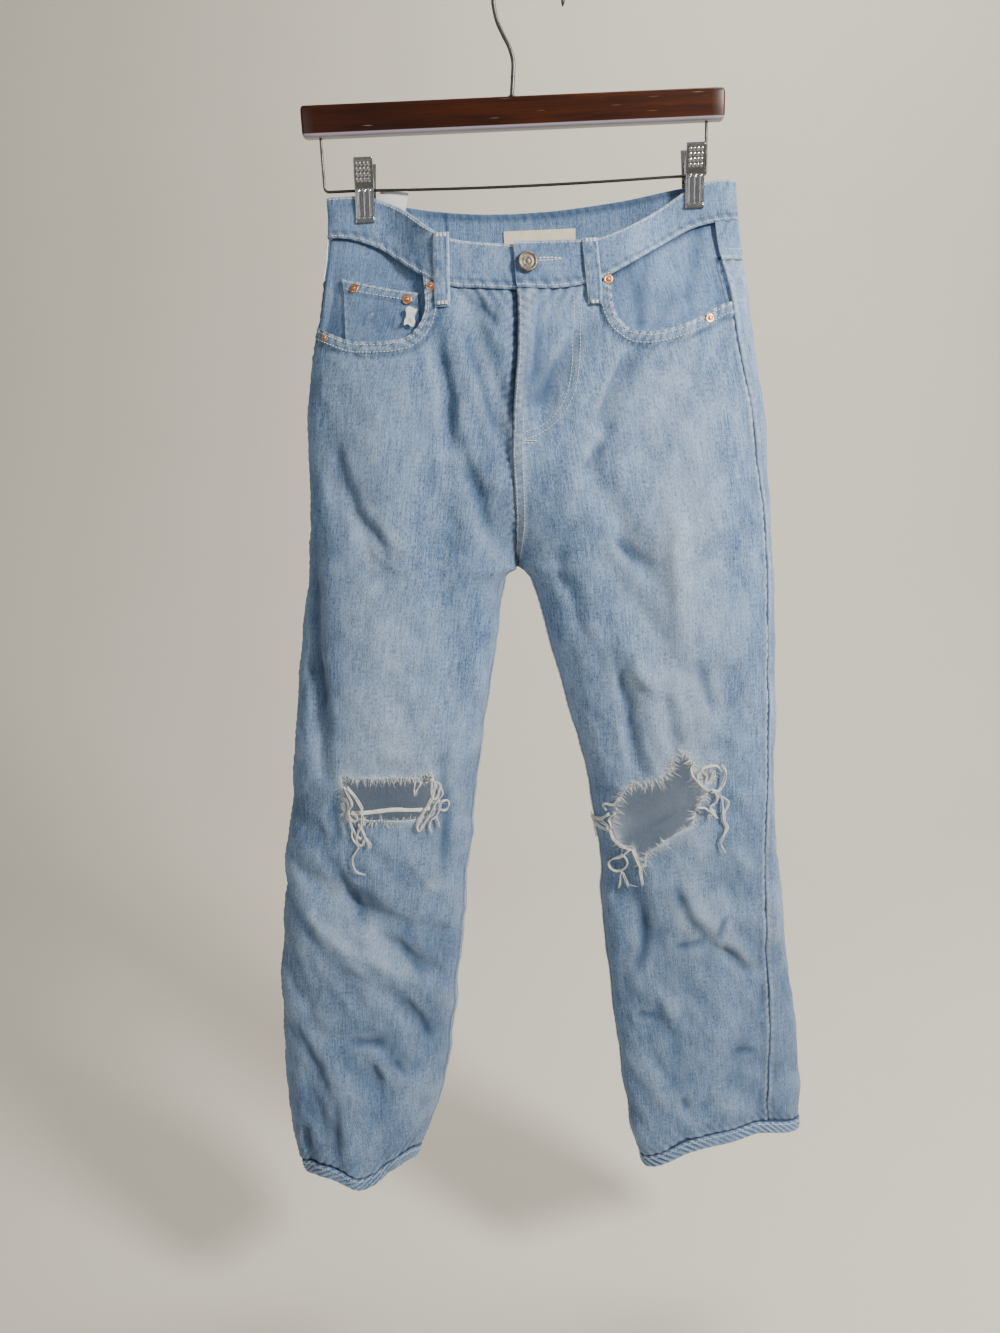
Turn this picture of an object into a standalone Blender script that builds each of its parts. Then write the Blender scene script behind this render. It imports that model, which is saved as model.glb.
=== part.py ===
"""Straight leg jeans with two ripped knees, hung by the waist from a wooden clip hanger.

Lengths in the tables are millimetres and the meshes are made in metres.
+X runs to the viewer's right, +Y towards the wall behind, +Z up.
The origin is where the hanger's hook rests on its peg, inside the hook's crown.
"""
import math

import bmesh
import bpy
import numpy as np

MM = 0.001

# ---- Driving sizes -------------------------------------------------------

DENIM = 1.8             # wall of a single layer of denim
BAND_WALL = 2.6         # waistband, two layers
BAND_LIFT = 0.6         # how far the waistband's face stands proud of the panels
HEM_WALL = 3.2          # turned hem, three layers
HEM_LIFT = 0.8
HEM_HEIGHT = 14.0
SEAM = 0.3              # gap left between pieces at a seam
TOUCH = 0.3             # gap left under a piece that lies on another
PANEL_COLUMNS = 11
CROTCH = -489.0         # height where the legs part
ARCH_HEIGHT = 14.0      # height of the rounded arch between the legs
WAIST_CENTRE = -4.0     # middle of the waist from side to side
PINCH_HALF = 5.4        # half the depth of the waist where the clips close it
SAMPLES = 81            # points round a section, odd

WAIST_LEVEL = -220.0    # where the shares round the waist are measured
CENTRE_BLEND = 45.0     # how near the centre seam both halves take the same depth
FOLD_FADE = 26.0        # depth over which folds fade out towards the sides
PINCH_INNER = 78.0      # how far from the middle the waist begins to close
PINCH_SPREAD = 48.0
PINCH_FOOT = -255.0     # height where the closing begins
PINCH_RISE = 62.0
PINCH_POWER = 20        # how square the closed waist's ends are
FOLDS_TOP = -215.0      # folds fade in below this height
FOLDS_FADE_IN = 40.0
BAND_MARGIN = 6.0       # the waistband's last column before the side

CLIP_LEFT_X = -143.5
CLIP_RIGHT_X = 135.5


def columns(names, rows):
    """A table as a dictionary of named columns."""
    values = np.array(rows, float)
    return {name: values[:, i] for i, name in enumerate(names.split())}


# Sections of the seat. middle is the centre seam, front, side and back are depths.
SEAT = columns("z left right middle front side back power", [
    (-150, -176, 170, -20, -24, 0, 13, 1.9),
    (-200, -178, 174, -20, -35, 0, 20, 1.9),
    (-231, -184, 178, -20, -41, -3, 25, 2.0),
    (-262, -190, 183, -19, -46, -6, 29, 2.2),
    (-304, -200, 188, -21, -51, -9, 33, 2.4),
    (-345, -206, 195, -26, -54, -11, 35, 2.5),
    (-381, -209, 199, -28, -57, -12, 36, 2.5),
    (-413, -211, 201, -28, -59, -12, 36, 2.5),
    (-450, -214, 204, -27, -61, -12, 36, 2.5),
    (-489, -219, 207, -26, -62, -12, 36, 2.5),
])

# Sections of each leg. seam_out and seam_in are how far the side seam and the
# inseam have turned to the front, along the cloth.
LEG_LEFT = columns("z outer inner front side back power turn seam_out seam_in", [
    (-489, -219, -38, -62, -12, 36, 2.5, 0, 3, 0),
    (-527, -227, -45, -63, -13, 36, 2.5, 0, 3, 0),
    (-569, -234, -52, -63, -14, 36, 2.5, 0, 3, 1),
    (-610, -240, -60, -63, -14, 35, 2.5, 0, 3, 2),
    (-652, -247, -68, -63, -15, 35, 2.5, 0, 3, 3),
    (-694, -254, -74, -62, -15, 34, 2.4, 0, 3, 4),
    (-746, -262, -81, -60, -16, 32, 2.4, 0, 3, 4),
    (-787, -268, -89, -58, -16, 30, 2.4, 0, 4, 4),
    (-829, -274, -94, -58, -17, 29, 2.4, 0, 4, 5),
    (-870, -279, -98, -60, -18, 28, 2.4, 1, 4, 6),
    (-922, -283, -107, -63, -19, 28, 2.3, 2, 5, 7),
    (-954, -285, -111, -66, -20, 29, 2.3, 3, 5, 8),
    (-985, -286, -116, -68, -21, 30, 2.3, 5, 5, 9),
    (-1016, -287, -124, -71, -23, 31, 2.3, 6, 5, 10),
    (-1058, -285, -136, -76, -26, 32, 2.2, 8, 5, 10),
    (-1089, -281, -149, -79, -28, 32, 2.2, 9, 5, 10),
    (-1125, -273, -168, -82, -30, 32, 2.2, 10, 5, 10),
    (-1150, -268, -178, -83, -31, 32, 2.2, 10, 5, 10),
])
LEG_RIGHT = columns("z outer inner front side back power turn seam_out seam_in", [
    (-489, 207, -17, -62, -12, 36, 2.5, 0, 30, 0),
    (-527, 209, -6, -62, -13, 36, 2.5, 0, 31, 0),
    (-569, 211, 4, -62, -14, 35, 2.5, 0, 32, -2),
    (-610, 212, 14, -61, -15, 35, 2.5, 0, 32, -4),
    (-652, 213, 25, -61, -16, 34, 2.5, 0, 31, -6),
    (-694, 214, 34, -60, -16, 33, 2.5, 1, 31, -8),
    (-756, 217, 42, -58, -17, 31, 2.4, 2, 34, -9),
    (-787, 220, 44, -56, -18, 29, 2.4, 3, 35, -10),
    (-839, 224, 46, -53, -19, 26, 2.4, 4, 36, -11),
    (-891, 231, 50, -51, -20, 22, 2.4, 5, 38, -12),
    (-943, 241, 54, -49, -21, 18, 2.4, 7, 43, -12),
    (-985, 248, 58, -49, -22, 14, 2.3, 8, 47, -12),
    (-1026, 252, 62, -50, -23, 11, 2.3, 9, 52, -12),
    (-1058, 254, 65, -52, -25, 8, 2.2, 9, 55, -12),
    (-1089, 254, 71, -54, -27, 7, 2.2, 10, 52, -12),
    (-1125, 254, 80, -55, -28, 6, 2.2, 10, 47, -12),
    (-1150, 254, 86, -55, -28, 6, 2.2, 10, 47, -12),
])
# How far the right side seam has turned to the front, over the seat.
SEAT_SEAM = columns("z left right", [
    (-150, 2, 22), (-231, 2, 29), (-304, 2, 30), (-381, 3, 29), (-489, 3, 30),
])

# Edges of the waistband: height against the share of the way from the middle to the side.
FRONT_BAND = columns("share left_top left_seam right_top right_seam", [
    (0.00, -216, -252, -214, -250),
    (0.18, -213, -249, -214, -252),
    (0.34, -207, -245, -214, -246),
    (0.44, -197, -237, -208, -237),
    (0.57, -181, -223, -196, -224),
    (0.66, -174, -213, -186, -215),
    (0.76, -169, -206, -175, -206),
    (0.88, -168, -201, -168, -201),
    (1.00, -168, -200, -168, -200),
])
BACK_BAND = columns("share top seam yoke", [
    (0.00, -184, -222, -292),
    (0.20, -183, -221, -282),
    (0.40, -180, -218, -268),
    (0.60, -176, -213, -254),
    (0.80, -171, -206, -242),
    (1.00, -168, -200, -232),
])

# The largest folds: each a soft trough (depth below 0) or ridge along a line.
FOLDS = columns("front x0 z0 x1 z1 half depth", [
    # left seat and thigh
    (1, -62, -256, -38, -335, 9, -6), (1, -38, -335, -32, -400, 7, -4),
    (1, -92, -285, -83, -345, 8, -4), (1, -83, -345, -85, -400, 7, -4),
    (1, -80, -365, -57, -418, 8, -4), (1, -57, -418, -50, -480, 9, -3),
    (1, -187, -395, -162, -445, 11, -3), (1, -162, -445, -150, -490, 9, -3),
    (1, -88, -425, -96, -530, 16, -5), (1, -140, -330, -135, -470, 22, 3),
    (1, -209, -450, -217, -570, 9, -8), (1, -217, -570, -215, -665, 9, -8),
    (1, -82, -560, -100, -640, 10, -4), (1, -155, -520, -165, -640, 26, 4),
    # right seat and thigh
    (1, 45, -268, 14, -322, 9, -5), (1, 14, -322, -4, -372, 8, -4),
    (1, 77, -302, 50, -368, 7, -5), (1, 50, -368, 38, -405, 7, -4),
    (1, 150, -310, 112, -358, 9, -4), (1, 112, -358, 86, -392, 9, -3),
    (1, 42, -408, 86, -492, 11, -5), (1, 50, -482, 100, -562, 12, -5),
    (1, 8, -478, 28, -545, 7, -4), (1, 119, -455, 116, -565, 11, 4),
    (1, 60, -560, 96, -602, 9, 4), (1, 66, -572, 76, -690, 9, -4),
    (1, 100, -600, 108, -655, 8, -4), (1, 162, -590, 152, -685, 12, -4),
    # left shin
    (1, -240, -770, -200, -800, 11, -6), (1, -200, -800, -168, -850, 11, -7),
    (1, -168, -850, -120, -893, 10, -7), (1, -262, -800, -215, -858, 14, 5),
    (1, -215, -858, -150, -888, 13, 4), (1, -225, -795, -112, -845, 9, -4),
    (1, -275, -870, -240, -942, 11, -4), (1, -240, -942, -190, -952, 9, -3),
    (1, -172, -900, -137, -962, 9, -4), (1, -255, -985, -247, -1065, 11, -5),
    (1, -200, -968, -186, -1012, 7, -3), (1, -268, -1050, -262, -1095, 7, -5),
    (1, -222, -1040, -218, -1100, 9, 4), (1, -190, -1055, -187, -1100, 6, -4),
    # right shin
    (1, 66, -790, 78, -860, 13, -4), (1, 100, -790, 152, -850, 14, 4),
    (1, 150, -868, 200, -906, 10, -5), (1, 62, -880, 60, -955, 9, -3),
    (1, 124, -878, 162, -866, 8, 2), (1, 118, -1040, 128, -1066, 8, -3),
    (1, 100, -920, 112, -955, 8, 3), (1, 150, -940, 168, -1030, 18, 3),
    # left back
    (0, -40, -300, -70, -400, 14, -3), (0, -30, -440, -110, -492, 12, -5),
    (0, -45, -480, -130, -525, 12, -4), (0, -190, -380, -160, -470, 16, -3),
    (0, -90, -560, -120, -650, 14, -4), (0, -210, -560, -205, -660, 14, -4),
    (0, -225, -735, -130, -760, 11, -5), (0, -130, -770, -240, -800, 11, -5),
    (0, -255, -850, -160, -880, 13, -4), (0, -130, -930, -240, -965, 12, -4),
    (0, -235, -1010, -228, -1090, 12, -4),
    # right back
    (0, 10, -310, 40, -400, 14, -3), (0, -20, -445, 70, -497, 12, -5),
    (0, 10, -500, 100, -540, 12, -4), (0, 160, -390, 140, -480, 16, -3),
    (0, 60, -570, 90, -660, 14, -4), (0, 175, -560, 172, -650, 14, -4),
    (0, 190, -735, 80, -765, 11, -5), (0, 70, -790, 180, -815, 11, -5),
    (0, 205, -870, 110, -890, 13, -4), (0, 100, -950, 200, -975, 12, -4),
    (0, 160, -1020, 165, -1090, 12, -3),
])

# Openings of the front pockets and outlines of the rips, as (x, z) seen from the front.
SCOOP_LEFT = [(-97, -232), (-96, -262), (-102, -276), (-115, -286), (-140, -288),
              (-162, -286), (-192, -273), (-215, -262), (-215, -190), (-97, -190)]
SCOOP_RIGHT = [(59, -232), (60, -262), (65, -278), (76, -287), (92, -290), (112, -287),
               (131, -281), (154, -270), (175, -262), (175, -190), (59, -190)]
RIP_LEFT = [(-196, -668), (-186, -671), (-156, -672), (-128, -674), (-116, -671), (-114, -690),
            (-116, -712), (-128, -715), (-160, -715), (-186, -713), (-197, -711), (-198, -690)]
RIP_RIGHT = [(116, -661), (125, -670), (131, -690), (139, -704), (130, -718), (126, -735),
             (113, -741), (95, -755), (84, -763), (81, -778), (76, -767), (73, -758),
             (59, -755), (54, -740), (60, -708), (65, -698), (77, -691), (96, -687),
             (106, -676)]
RIP_SMALL = (140, -685, 7.5)      # round hole beside the right rip: x, z, radius

# Height of each leg's lower edge against the share of a panel, from the inseam to the side seam.
HEMS = columns("share front_left back_left front_right back_right", [
    (0.0, -1112, -1112, -1130, -1130),
    (0.1, -1104, -1108, -1126, -1129),
    (0.2, -1096, -1104, -1120, -1125),
    (0.3, -1098, -1103, -1112, -1121),
    (0.4, -1107, -1104, -1104, -1118),
    (0.5, -1111, -1107, -1100, -1116),
    (0.6, -1104, -1110, -1098, -1115),
    (0.7, -1098, -1113, -1097, -1114),
    (0.8, -1100, -1115, -1095, -1112),
    (0.9, -1105, -1115, -1093, -1106),
    (1.0, -1113, -1113, -1097, -1097),
])

MATERIALS = {
    "denim": ((0.36, 0.46, 0.58, 1), 0.0, 0.9),
    "denim_inside": ((0.50, 0.57, 0.64, 1), 0.0, 0.92),
    "thread": ((0.80, 0.78, 0.72, 1), 0.0, 0.9),
    "label": ((0.82, 0.77, 0.64, 1), 0.0, 0.8),
    "pocketing": ((0.80, 0.79, 0.75, 1), 0.0, 0.9),
    "copper": ((0.62, 0.33, 0.19, 1), 1.0, 0.35),
    "nickel": ((0.42, 0.40, 0.37, 1), 1.0, 0.4),
    "chrome": ((0.70, 0.70, 0.72, 1), 1.0, 0.15),
    "steel": ((0.45, 0.45, 0.46, 1), 1.0, 0.3),
    "wood": ((0.13, 0.035, 0.012, 1), 0.0, 0.3),
}


# ---- The surface of the cloth -------------------------------------------

def eased(share):
    """0 to 1 with flat ends."""
    share = np.clip(share, 0, 1)
    return share * share * (3 - 2 * share)


def smooth(table, name, z):
    """A smooth curve through a table's rows, which run downwards."""
    depth = -table["z"]
    value = table[name]
    slope = np.gradient(value, depth)
    k = np.clip(np.searchsorted(depth, -z) - 1, 0, len(depth) - 2)
    step = depth[k + 1] - depth[k]
    t = np.clip((-z - depth[k]) / step, 0, 1)
    return (value[k] * (2 * t**3 - 3 * t**2 + 1) + value[k + 1] * (3 * t**2 - 2 * t**3)
            + step * (slope[k] * (t**3 - 2 * t**2 + t) + slope[k + 1] * (t**3 - t**2)))


def sizes(half, z):
    """The sizes of one half's section at each height."""
    leg = LEG_LEFT if half < 0 else LEG_RIGHT
    side_name = "left" if half < 0 else "right"
    far_name = "right" if half < 0 else "left"
    above = z > CROTCH
    middle = smooth(SEAT, "middle", z)
    outer = np.where(above, smooth(SEAT, side_name, z), smooth(leg, "outer", z))
    # above the crotch the leg's outline goes on past the centre seam and is cut there
    rise = eased((z - CROTCH) / 160.0) ** 1.3
    past = middle + (smooth(SEAT, far_name, z) - middle) * rise
    drop = np.clip((CROTCH - z) / ARCH_HEIGHT, 0, 1)
    arch = np.sqrt(1 - (1 - drop) ** 2)
    inner = np.where(above, past, middle + (smooth(leg, "inner", z) - middle) * arch)
    found = {"middle": middle, "outer": outer, "inner": inner}
    for name in ("front", "side", "back", "power"):
        found[name] = np.where(above, smooth(SEAT, name, z), smooth(leg, name, z))
    found["turn"] = np.where(above, 0, smooth(leg, "turn", z))
    found["seam_out"] = np.where(above, smooth(SEAT_SEAM, side_name, z), smooth(leg, "seam_out", z))
    found["seam_in"] = np.where(above, 0, smooth(leg, "seam_in", z))
    return found


def section(half, z):
    """Points round one half's section, from its inner edge at the front, by the side, to the back."""
    d = {name: value[:, None] for name, value in sizes(half, z).items()}
    centre = (d["outer"] + d["inner"]) / 2
    wide = np.abs(d["outer"] - d["inner"]) / 2
    reach = np.clip(half * (centre - d["middle"]) / wide, -1, 1)
    reach = np.where(z[:, None] > CROTCH, reach, 1.0)
    last = np.arccos(-np.sign(reach) * np.abs(reach) ** (d["power"] / 2))
    angle = last * np.linspace(1, -1, SAMPLES)[None, :]
    along = np.sign(np.cos(angle)) * np.abs(np.cos(angle)) ** (2 / d["power"])
    across = np.abs(np.sin(angle)) ** (2 / d["power"])
    x = half * wide * along
    y = np.where(angle > 0, (d["front"] - d["side"]) * across, (d["back"] - d["side"]) * across)
    turn = np.radians(d["turn"])
    points = np.stack([centre + x * np.cos(turn) - y * np.sin(turn),
                       d["side"] + x * np.sin(turn) + y * np.cos(turn)], axis=-1)
    steps = np.linalg.norm(np.diff(points, axis=1), axis=-1)
    length = np.concatenate([np.zeros((len(z), 1)), np.cumsum(steps, axis=1)], axis=1)
    return points, length


def marks(half, z):
    """Along the section: the inseam, the side seam, the outermost point and the whole length."""
    length = section(half, z)[1]
    d = sizes(half, z)
    side = length[:, SAMPLES // 2]
    return d["seam_in"], side - d["seam_out"], side, length[:, -1]


def folds(x, z, front):
    """How far the folds move the cloth out, at places on the front or the back."""
    total = np.zeros_like(x)
    for i in range(len(FOLDS["x0"])):
        if bool(FOLDS["front"][i]) != front:
            continue
        x0, z0 = FOLDS["x0"][i], FOLDS["z0"][i]
        dx, dz = FOLDS["x1"][i] - x0, FOLDS["z1"][i] - z0
        t = np.clip(((x - x0) * dx + (z - z0) * dz) / (dx * dx + dz * dz), 0, 1)
        away = np.hypot(x - x0 - t * dx, z - z0 - t * dz)
        tall = FOLDS["depth"][i] * (0.7 + 0.3 * np.sin(math.pi * t))
        total += tall * np.exp(-(away / FOLDS["half"][i]) ** 2)
    return total


def fly_lap(half, x, z, middle):
    """The right front laps over the left: its edge stands proud along the fly."""
    along = eased((z + 372) / 30) * eased((-198 - z) / 12)
    near = np.exp(-((x - middle) / 13.0) ** 2)
    return np.where(half > 0, 2.6, -0.6) * along * near


def centre_depths(half, z):
    """Depths of one half's section where the centre seam cuts it, at the front and the back."""
    d = sizes(half, z)
    wide = np.abs(d["outer"] - d["inner"]) / 2
    reach = np.clip(np.abs((d["outer"] + d["inner"]) / 2 - d["middle"]) / wide, 0, 1)
    share = (1 - reach ** d["power"]) ** (1 / d["power"])
    return d["side"] + (d["front"] - d["side"]) * share, d["side"] + (d["back"] - d["side"]) * share


def base_skin(half, s, z):
    """The cloth's outer face at distance s round the section, at height z."""
    points, length = section(half, z)
    whole = length[:, -1]
    s = np.where(z > CROTCH, np.clip(s, 0, whole), np.mod(s, whole + 1e-9))
    k = np.clip((length < s[:, None]).sum(axis=1) - 1, 0, SAMPLES - 2)
    row = np.arange(len(z))
    t = (s - length[row, k]) / np.maximum(length[row, k + 1] - length[row, k], 1e-9)
    place = points[row, k] * (1 - t[:, None]) + points[row, k + 1] * t[:, None]
    x, y = place[:, 0], place[:, 1]
    middle = smooth(SEAT, "middle", z)
    found = sizes(half, z)
    side, outer = found["side"], found["outer"]
    front = y < side
    # both halves meet at the same depth on the centre seam
    mine, other = centre_depths(half, z), centre_depths(-half, z)
    near = np.exp(-((x - middle) / CENTRE_BLEND) ** 2) * (z > CROTCH)
    y = y + near * np.where(front, other[0] - mine[0], other[1] - mine[1]) / 2
    weight = eased(np.abs(y - side) / FOLD_FADE)
    move = weight * np.where(front, folds(x, z, True), folds(x, z, False))
    move = move * eased((FOLDS_TOP - z) / FOLDS_FADE_IN)
    move = move + fly_lap(half, x, z, middle) * front * weight
    y = y + np.where(front, -move, move)
    # the clips close the waist near its sides
    shut = eased((np.abs(x - WAIST_CENTRE) - PINCH_INNER) / PINCH_SPREAD)
    shut = shut * eased((z - PINCH_FOOT) / PINCH_RISE)
    share = np.clip((x - WAIST_CENTRE) / (outer - WAIST_CENTRE), 0, 1)
    flat = PINCH_HALF * (1 - share ** PINCH_POWER) ** 0.5
    y = y * (1 - shut) + np.where(front, -flat, flat) * shut
    return np.stack([x, y, z], axis=1)


def skin(half, s, z, lift=0.0):
    """The cloth's outer face moved out by lift along its own normal."""
    shape = np.broadcast(s, z).shape
    s = np.broadcast_to(s, shape).ravel().astype(float)
    z = np.broadcast_to(z, shape).ravel().astype(float)
    place = base_skin(half, s, z)
    round_it = base_skin(half, s + 1.0, z) - base_skin(half, s - 1.0, z)
    up_it = base_skin(half, s, z + 1.0) - base_skin(half, s, z - 1.0)
    out = np.cross(round_it, up_it) * half
    out /= np.maximum(np.linalg.norm(out, axis=1), 1e-9)[:, None]
    lift = np.broadcast_to(lift, shape).ravel()
    return (place + out * lift[:, None]).reshape(shape + (3,))


def arc_at(half, front, x, z):
    """Distance round the section of the place on the front or back with this x."""
    shape = np.broadcast(x, z).shape
    x = np.broadcast_to(x, shape).ravel().astype(float)
    z = np.broadcast_to(z, shape).ravel().astype(float)
    points, length = section(half, z)
    centre = SAMPLES // 2
    if front:
        points, length = points[:, :centre + 1], length[:, :centre + 1]
    else:
        points, length = points[:, :centre - 1:-1], length[:, :centre - 1:-1]
    outwards = half * points[:, :, 0]
    row = np.arange(len(z))
    k = np.clip((outwards < (half * x)[:, None]).sum(axis=1) - 1, 0, centre - 1)
    step = outwards[row, k + 1] - outwards[row, k]
    t = np.clip((half * x - outwards[row, k]) / np.maximum(step, 1e-6), 0, 1)
    return (length[row, k] * (1 - t) + length[row, k + 1] * t).reshape(shape)


def on(half, front, x, z, lift=0.0):
    """A place on the cloth's front or back, given x and z, moved out by lift."""
    return skin(half, arc_at(half, front, x, z), z, lift)


# ---- Seam lines -----------------------------------------------------------

def waist_height(half, edge, s):
    """Height of the top, seam or yoke line at distance s round the waist from the front middle."""
    side, whole = (float(mark[0]) for mark in marks(half, np.array([WAIST_LEVEL]))[2:])
    back = np.interp((whole - s) / (whole - side), BACK_BAND["share"], BACK_BAND[edge])
    if edge == "yoke":
        return back
    name = ("left_" if half < 0 else "right_") + edge
    return np.where(s <= side, np.interp(s / side, FRONT_BAND["share"], FRONT_BAND[name]), back)


def panel_arc(half, front, u, z):
    """Distance round the section for share u of a panel: 0 at its inner edge, 1 at the side seam."""
    flat_z = np.ravel(z)
    seam_in, seam_out, _, whole = marks(half, flat_z)
    u = np.ravel(u)
    inner_edge = seam_in if front else whole + seam_in
    gap = SEAM / 2 * (1 if front else -1)
    first = inner_edge + gap
    last = seam_out - gap
    return (first + (last - first) * u).reshape(np.shape(z))


def hem_heights(half, front, u):
    """Height of the leg's lower edge for shares u of a panel."""
    name = ("front_" if front else "back_") + ("left" if half < 0 else "right")
    return np.interp(u, HEMS["share"], HEMS[name])


# ---- Making meshes --------------------------------------------------------

def material(name):
    """One Principled material for each kind of stuff."""
    if name in bpy.data.materials:
        return bpy.data.materials[name]
    colour, metallic, roughness = MATERIALS[name]
    made = bpy.data.materials.new(name)
    made.use_nodes = True
    shader = made.node_tree.nodes["Principled BSDF"]
    shader.inputs["Base Color"].default_value = colour
    shader.inputs["Metallic"].default_value = metallic
    shader.inputs["Roughness"].default_value = roughness
    made.diffuse_color = colour
    return made


def add_mesh(name, points, faces, stuff):
    """A named object from points in millimetres, with its faces turned outwards."""
    mesh = bpy.data.meshes.new(name)
    mesh.from_pydata([tuple(float(c) * MM for c in p) for p in points], [], faces)
    shape = bmesh.new()
    shape.from_mesh(mesh)
    bmesh.ops.recalc_face_normals(shape, faces=shape.faces)
    shape.to_mesh(mesh)
    shape.free()
    mesh.shade_smooth()
    mesh.set_sharp_from_angle(angle=math.radians(40))
    mesh.materials.append(material(stuff))
    made = bpy.data.objects.new(name, mesh)
    bpy.context.scene.collection.objects.link(made)
    return made


def wall(name, outer, inner, stuff):
    """A closed sheet between an outer and an inner grid of the same rows and columns."""
    rows, cols = outer.shape[:2]
    points = np.concatenate([outer.reshape(-1, 3), inner.reshape(-1, 3)])
    back = rows * cols
    faces = []
    for r in range(rows - 1):
        for c in range(cols - 1):
            a, b = r * cols + c, r * cols + c + 1
            d, e = a + cols, b + cols
            faces += [(a, b, e), (a, e, d), (a + back, e + back, b + back), (a + back, d + back, e + back)]
    rim = [c for c in range(cols)]
    rim += [r * cols + cols - 1 for r in range(1, rows)]
    rim += [(rows - 1) * cols + c for c in range(cols - 2, -1, -1)]
    rim += [r * cols for r in range(rows - 2, 0, -1)]
    for i, a in enumerate(rim):
        b = rim[(i + 1) % len(rim)]
        faces += [(a, a + back, b + back), (a, b + back, b)]
    return add_mesh(name, points, faces, stuff)


def tube(path, radius, sides, tip=1.0):
    """Points and faces of a round bar along a path; tip is the last radius as a share."""
    path = np.asarray(path, float)
    ahead = np.gradient(path, axis=0)
    ahead /= np.maximum(np.linalg.norm(ahead, axis=1), 1e-9)[:, None]
    start = np.array([0.0, 1.0, 0.0]) if abs(ahead[0][1]) < 0.9 else np.array([1.0, 0.0, 0.0])
    points = []
    for i, (place, way) in enumerate(zip(path, ahead)):
        start = start - way * np.dot(start, way)
        start /= np.linalg.norm(start)
        other = np.cross(way, start)
        size = radius * (1 + (tip - 1) * i / (len(path) - 1))
        for k in range(sides):
            turn = 2 * math.pi * k / sides
            points.append(place + size * (math.cos(turn) * start + math.sin(turn) * other))
    faces = []
    for i in range(len(path) - 1):
        for k in range(sides):
            a, b = i * sides + k, i * sides + (k + 1) % sides
            faces.append((a, b, b + sides, a + sides))
    faces.append(tuple(range(sides - 1, -1, -1)))
    faces.append(tuple((len(path) - 1) * sides + k for k in range(sides)))
    return points, faces


def merged(shapes):
    """Several point and face lists as one."""
    points, faces = [], []
    for more_points, more_faces in shapes:
        faces += [tuple(i + len(points) for i in face) for face in more_faces]
        points += list(more_points)
    return points, faces


def box(low, high):
    """Points and faces of a box."""
    corners = [(x, y, z) for x in (low[0], high[0]) for y in (low[1], high[1]) for z in (low[2], high[2])]
    return corners, [(0, 1, 3, 2), (4, 6, 7, 5), (0, 4, 5, 1), (2, 3, 7, 6), (0, 2, 6, 4), (1, 5, 7, 3)]


def spun(outline, place, way, sides):
    """A turned shape: outline is (radius, height) from base to tip, along way from place."""
    way = np.asarray(way, float) / np.linalg.norm(way)
    first = np.cross(way, (0.0, 0.0, 1.0))
    first /= np.linalg.norm(first)
    second = np.cross(way, first)
    points = []
    for radius, height in outline:
        for k in range(sides):
            turn = 2 * math.pi * k / sides
            out = math.cos(turn) * first + math.sin(turn) * second
            points.append(place + way * height + radius * out)
    faces = []
    for i in range(len(outline) - 1):
        for k in range(sides):
            a, b = i * sides + k, i * sides + (k + 1) % sides
            faces.append((a, b, b + sides, a + sides))
    faces.append(tuple(range(sides - 1, -1, -1)))
    faces.append(tuple((len(outline) - 1) * sides + k for k in range(sides)))
    return points, faces


def prism(name, outline, near, far):
    """A cutter: an outline in x and z run along y."""
    count = len(outline)
    points = [(x, near, z) for x, z in outline] + [(x, far, z) for x, z in outline]
    faces = [tuple(range(count)), tuple(range(2 * count - 1, count - 1, -1))]
    faces += [(i, (i + 1) % count, (i + 1) % count + count, i + count) for i in range(count)]
    return as_cutter(add_mesh(name, points, faces, "steel"))


def as_cutter(made):
    made.hide_render = True
    made.display_type = "WIRE"
    return made


def combine(made, other, operation):
    """Adds an exact Boolean with another object."""
    change = made.modifiers.new(operation.lower(), "BOOLEAN")
    change.operation = operation
    change.solver = "EXACT"
    change.use_self = operation == "UNION"
    change.object = other


# ---- The denim ------------------------------------------------------------

HALVES = {"left": -1, "right": 1}
SHARES = np.linspace(0, 1, PANEL_COLUMNS)
LEG_ROWS = [-355, -380, -405, -428, -448, -463, -475, -483, -487.5, -489.5, -492, -497, -505,
            -517, -533, -554, -578, -604, -630, -656, -682, -708, -734, -760, -784, -808,
            -832, -856, -880, -904, -928, -952, -978, -1004, -1030, -1056]


def waist_line(half, front, edge):
    """Height of a waist edge at each column of a panel."""
    level = np.full_like(SHARES, WAIST_LEVEL)
    return waist_height(half, edge, panel_arc(half, front, SHARES, level))


def leg_grid(half, front):
    """Distances round the section and heights of a leg panel's rows and columns."""
    upper = waist_line(half, front, "seam" if front else "yoke") - SEAM / 2
    lower = hem_heights(half, front, SHARES) + HEM_HEIGHT + 2 * SEAM
    first, last = LEG_ROWS[0], LEG_ROWS[-1]
    count = 6 if front else 4
    heights = [upper + (first - upper) * k / count for k in range(count)]
    heights += [np.full_like(SHARES, z) for z in LEG_ROWS]
    heights += [last + (lower - last) * k / 2 for k in (1, 2)]
    z = np.stack(heights)
    return panel_arc(half, front, np.broadcast_to(SHARES, z.shape), z), z


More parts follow.
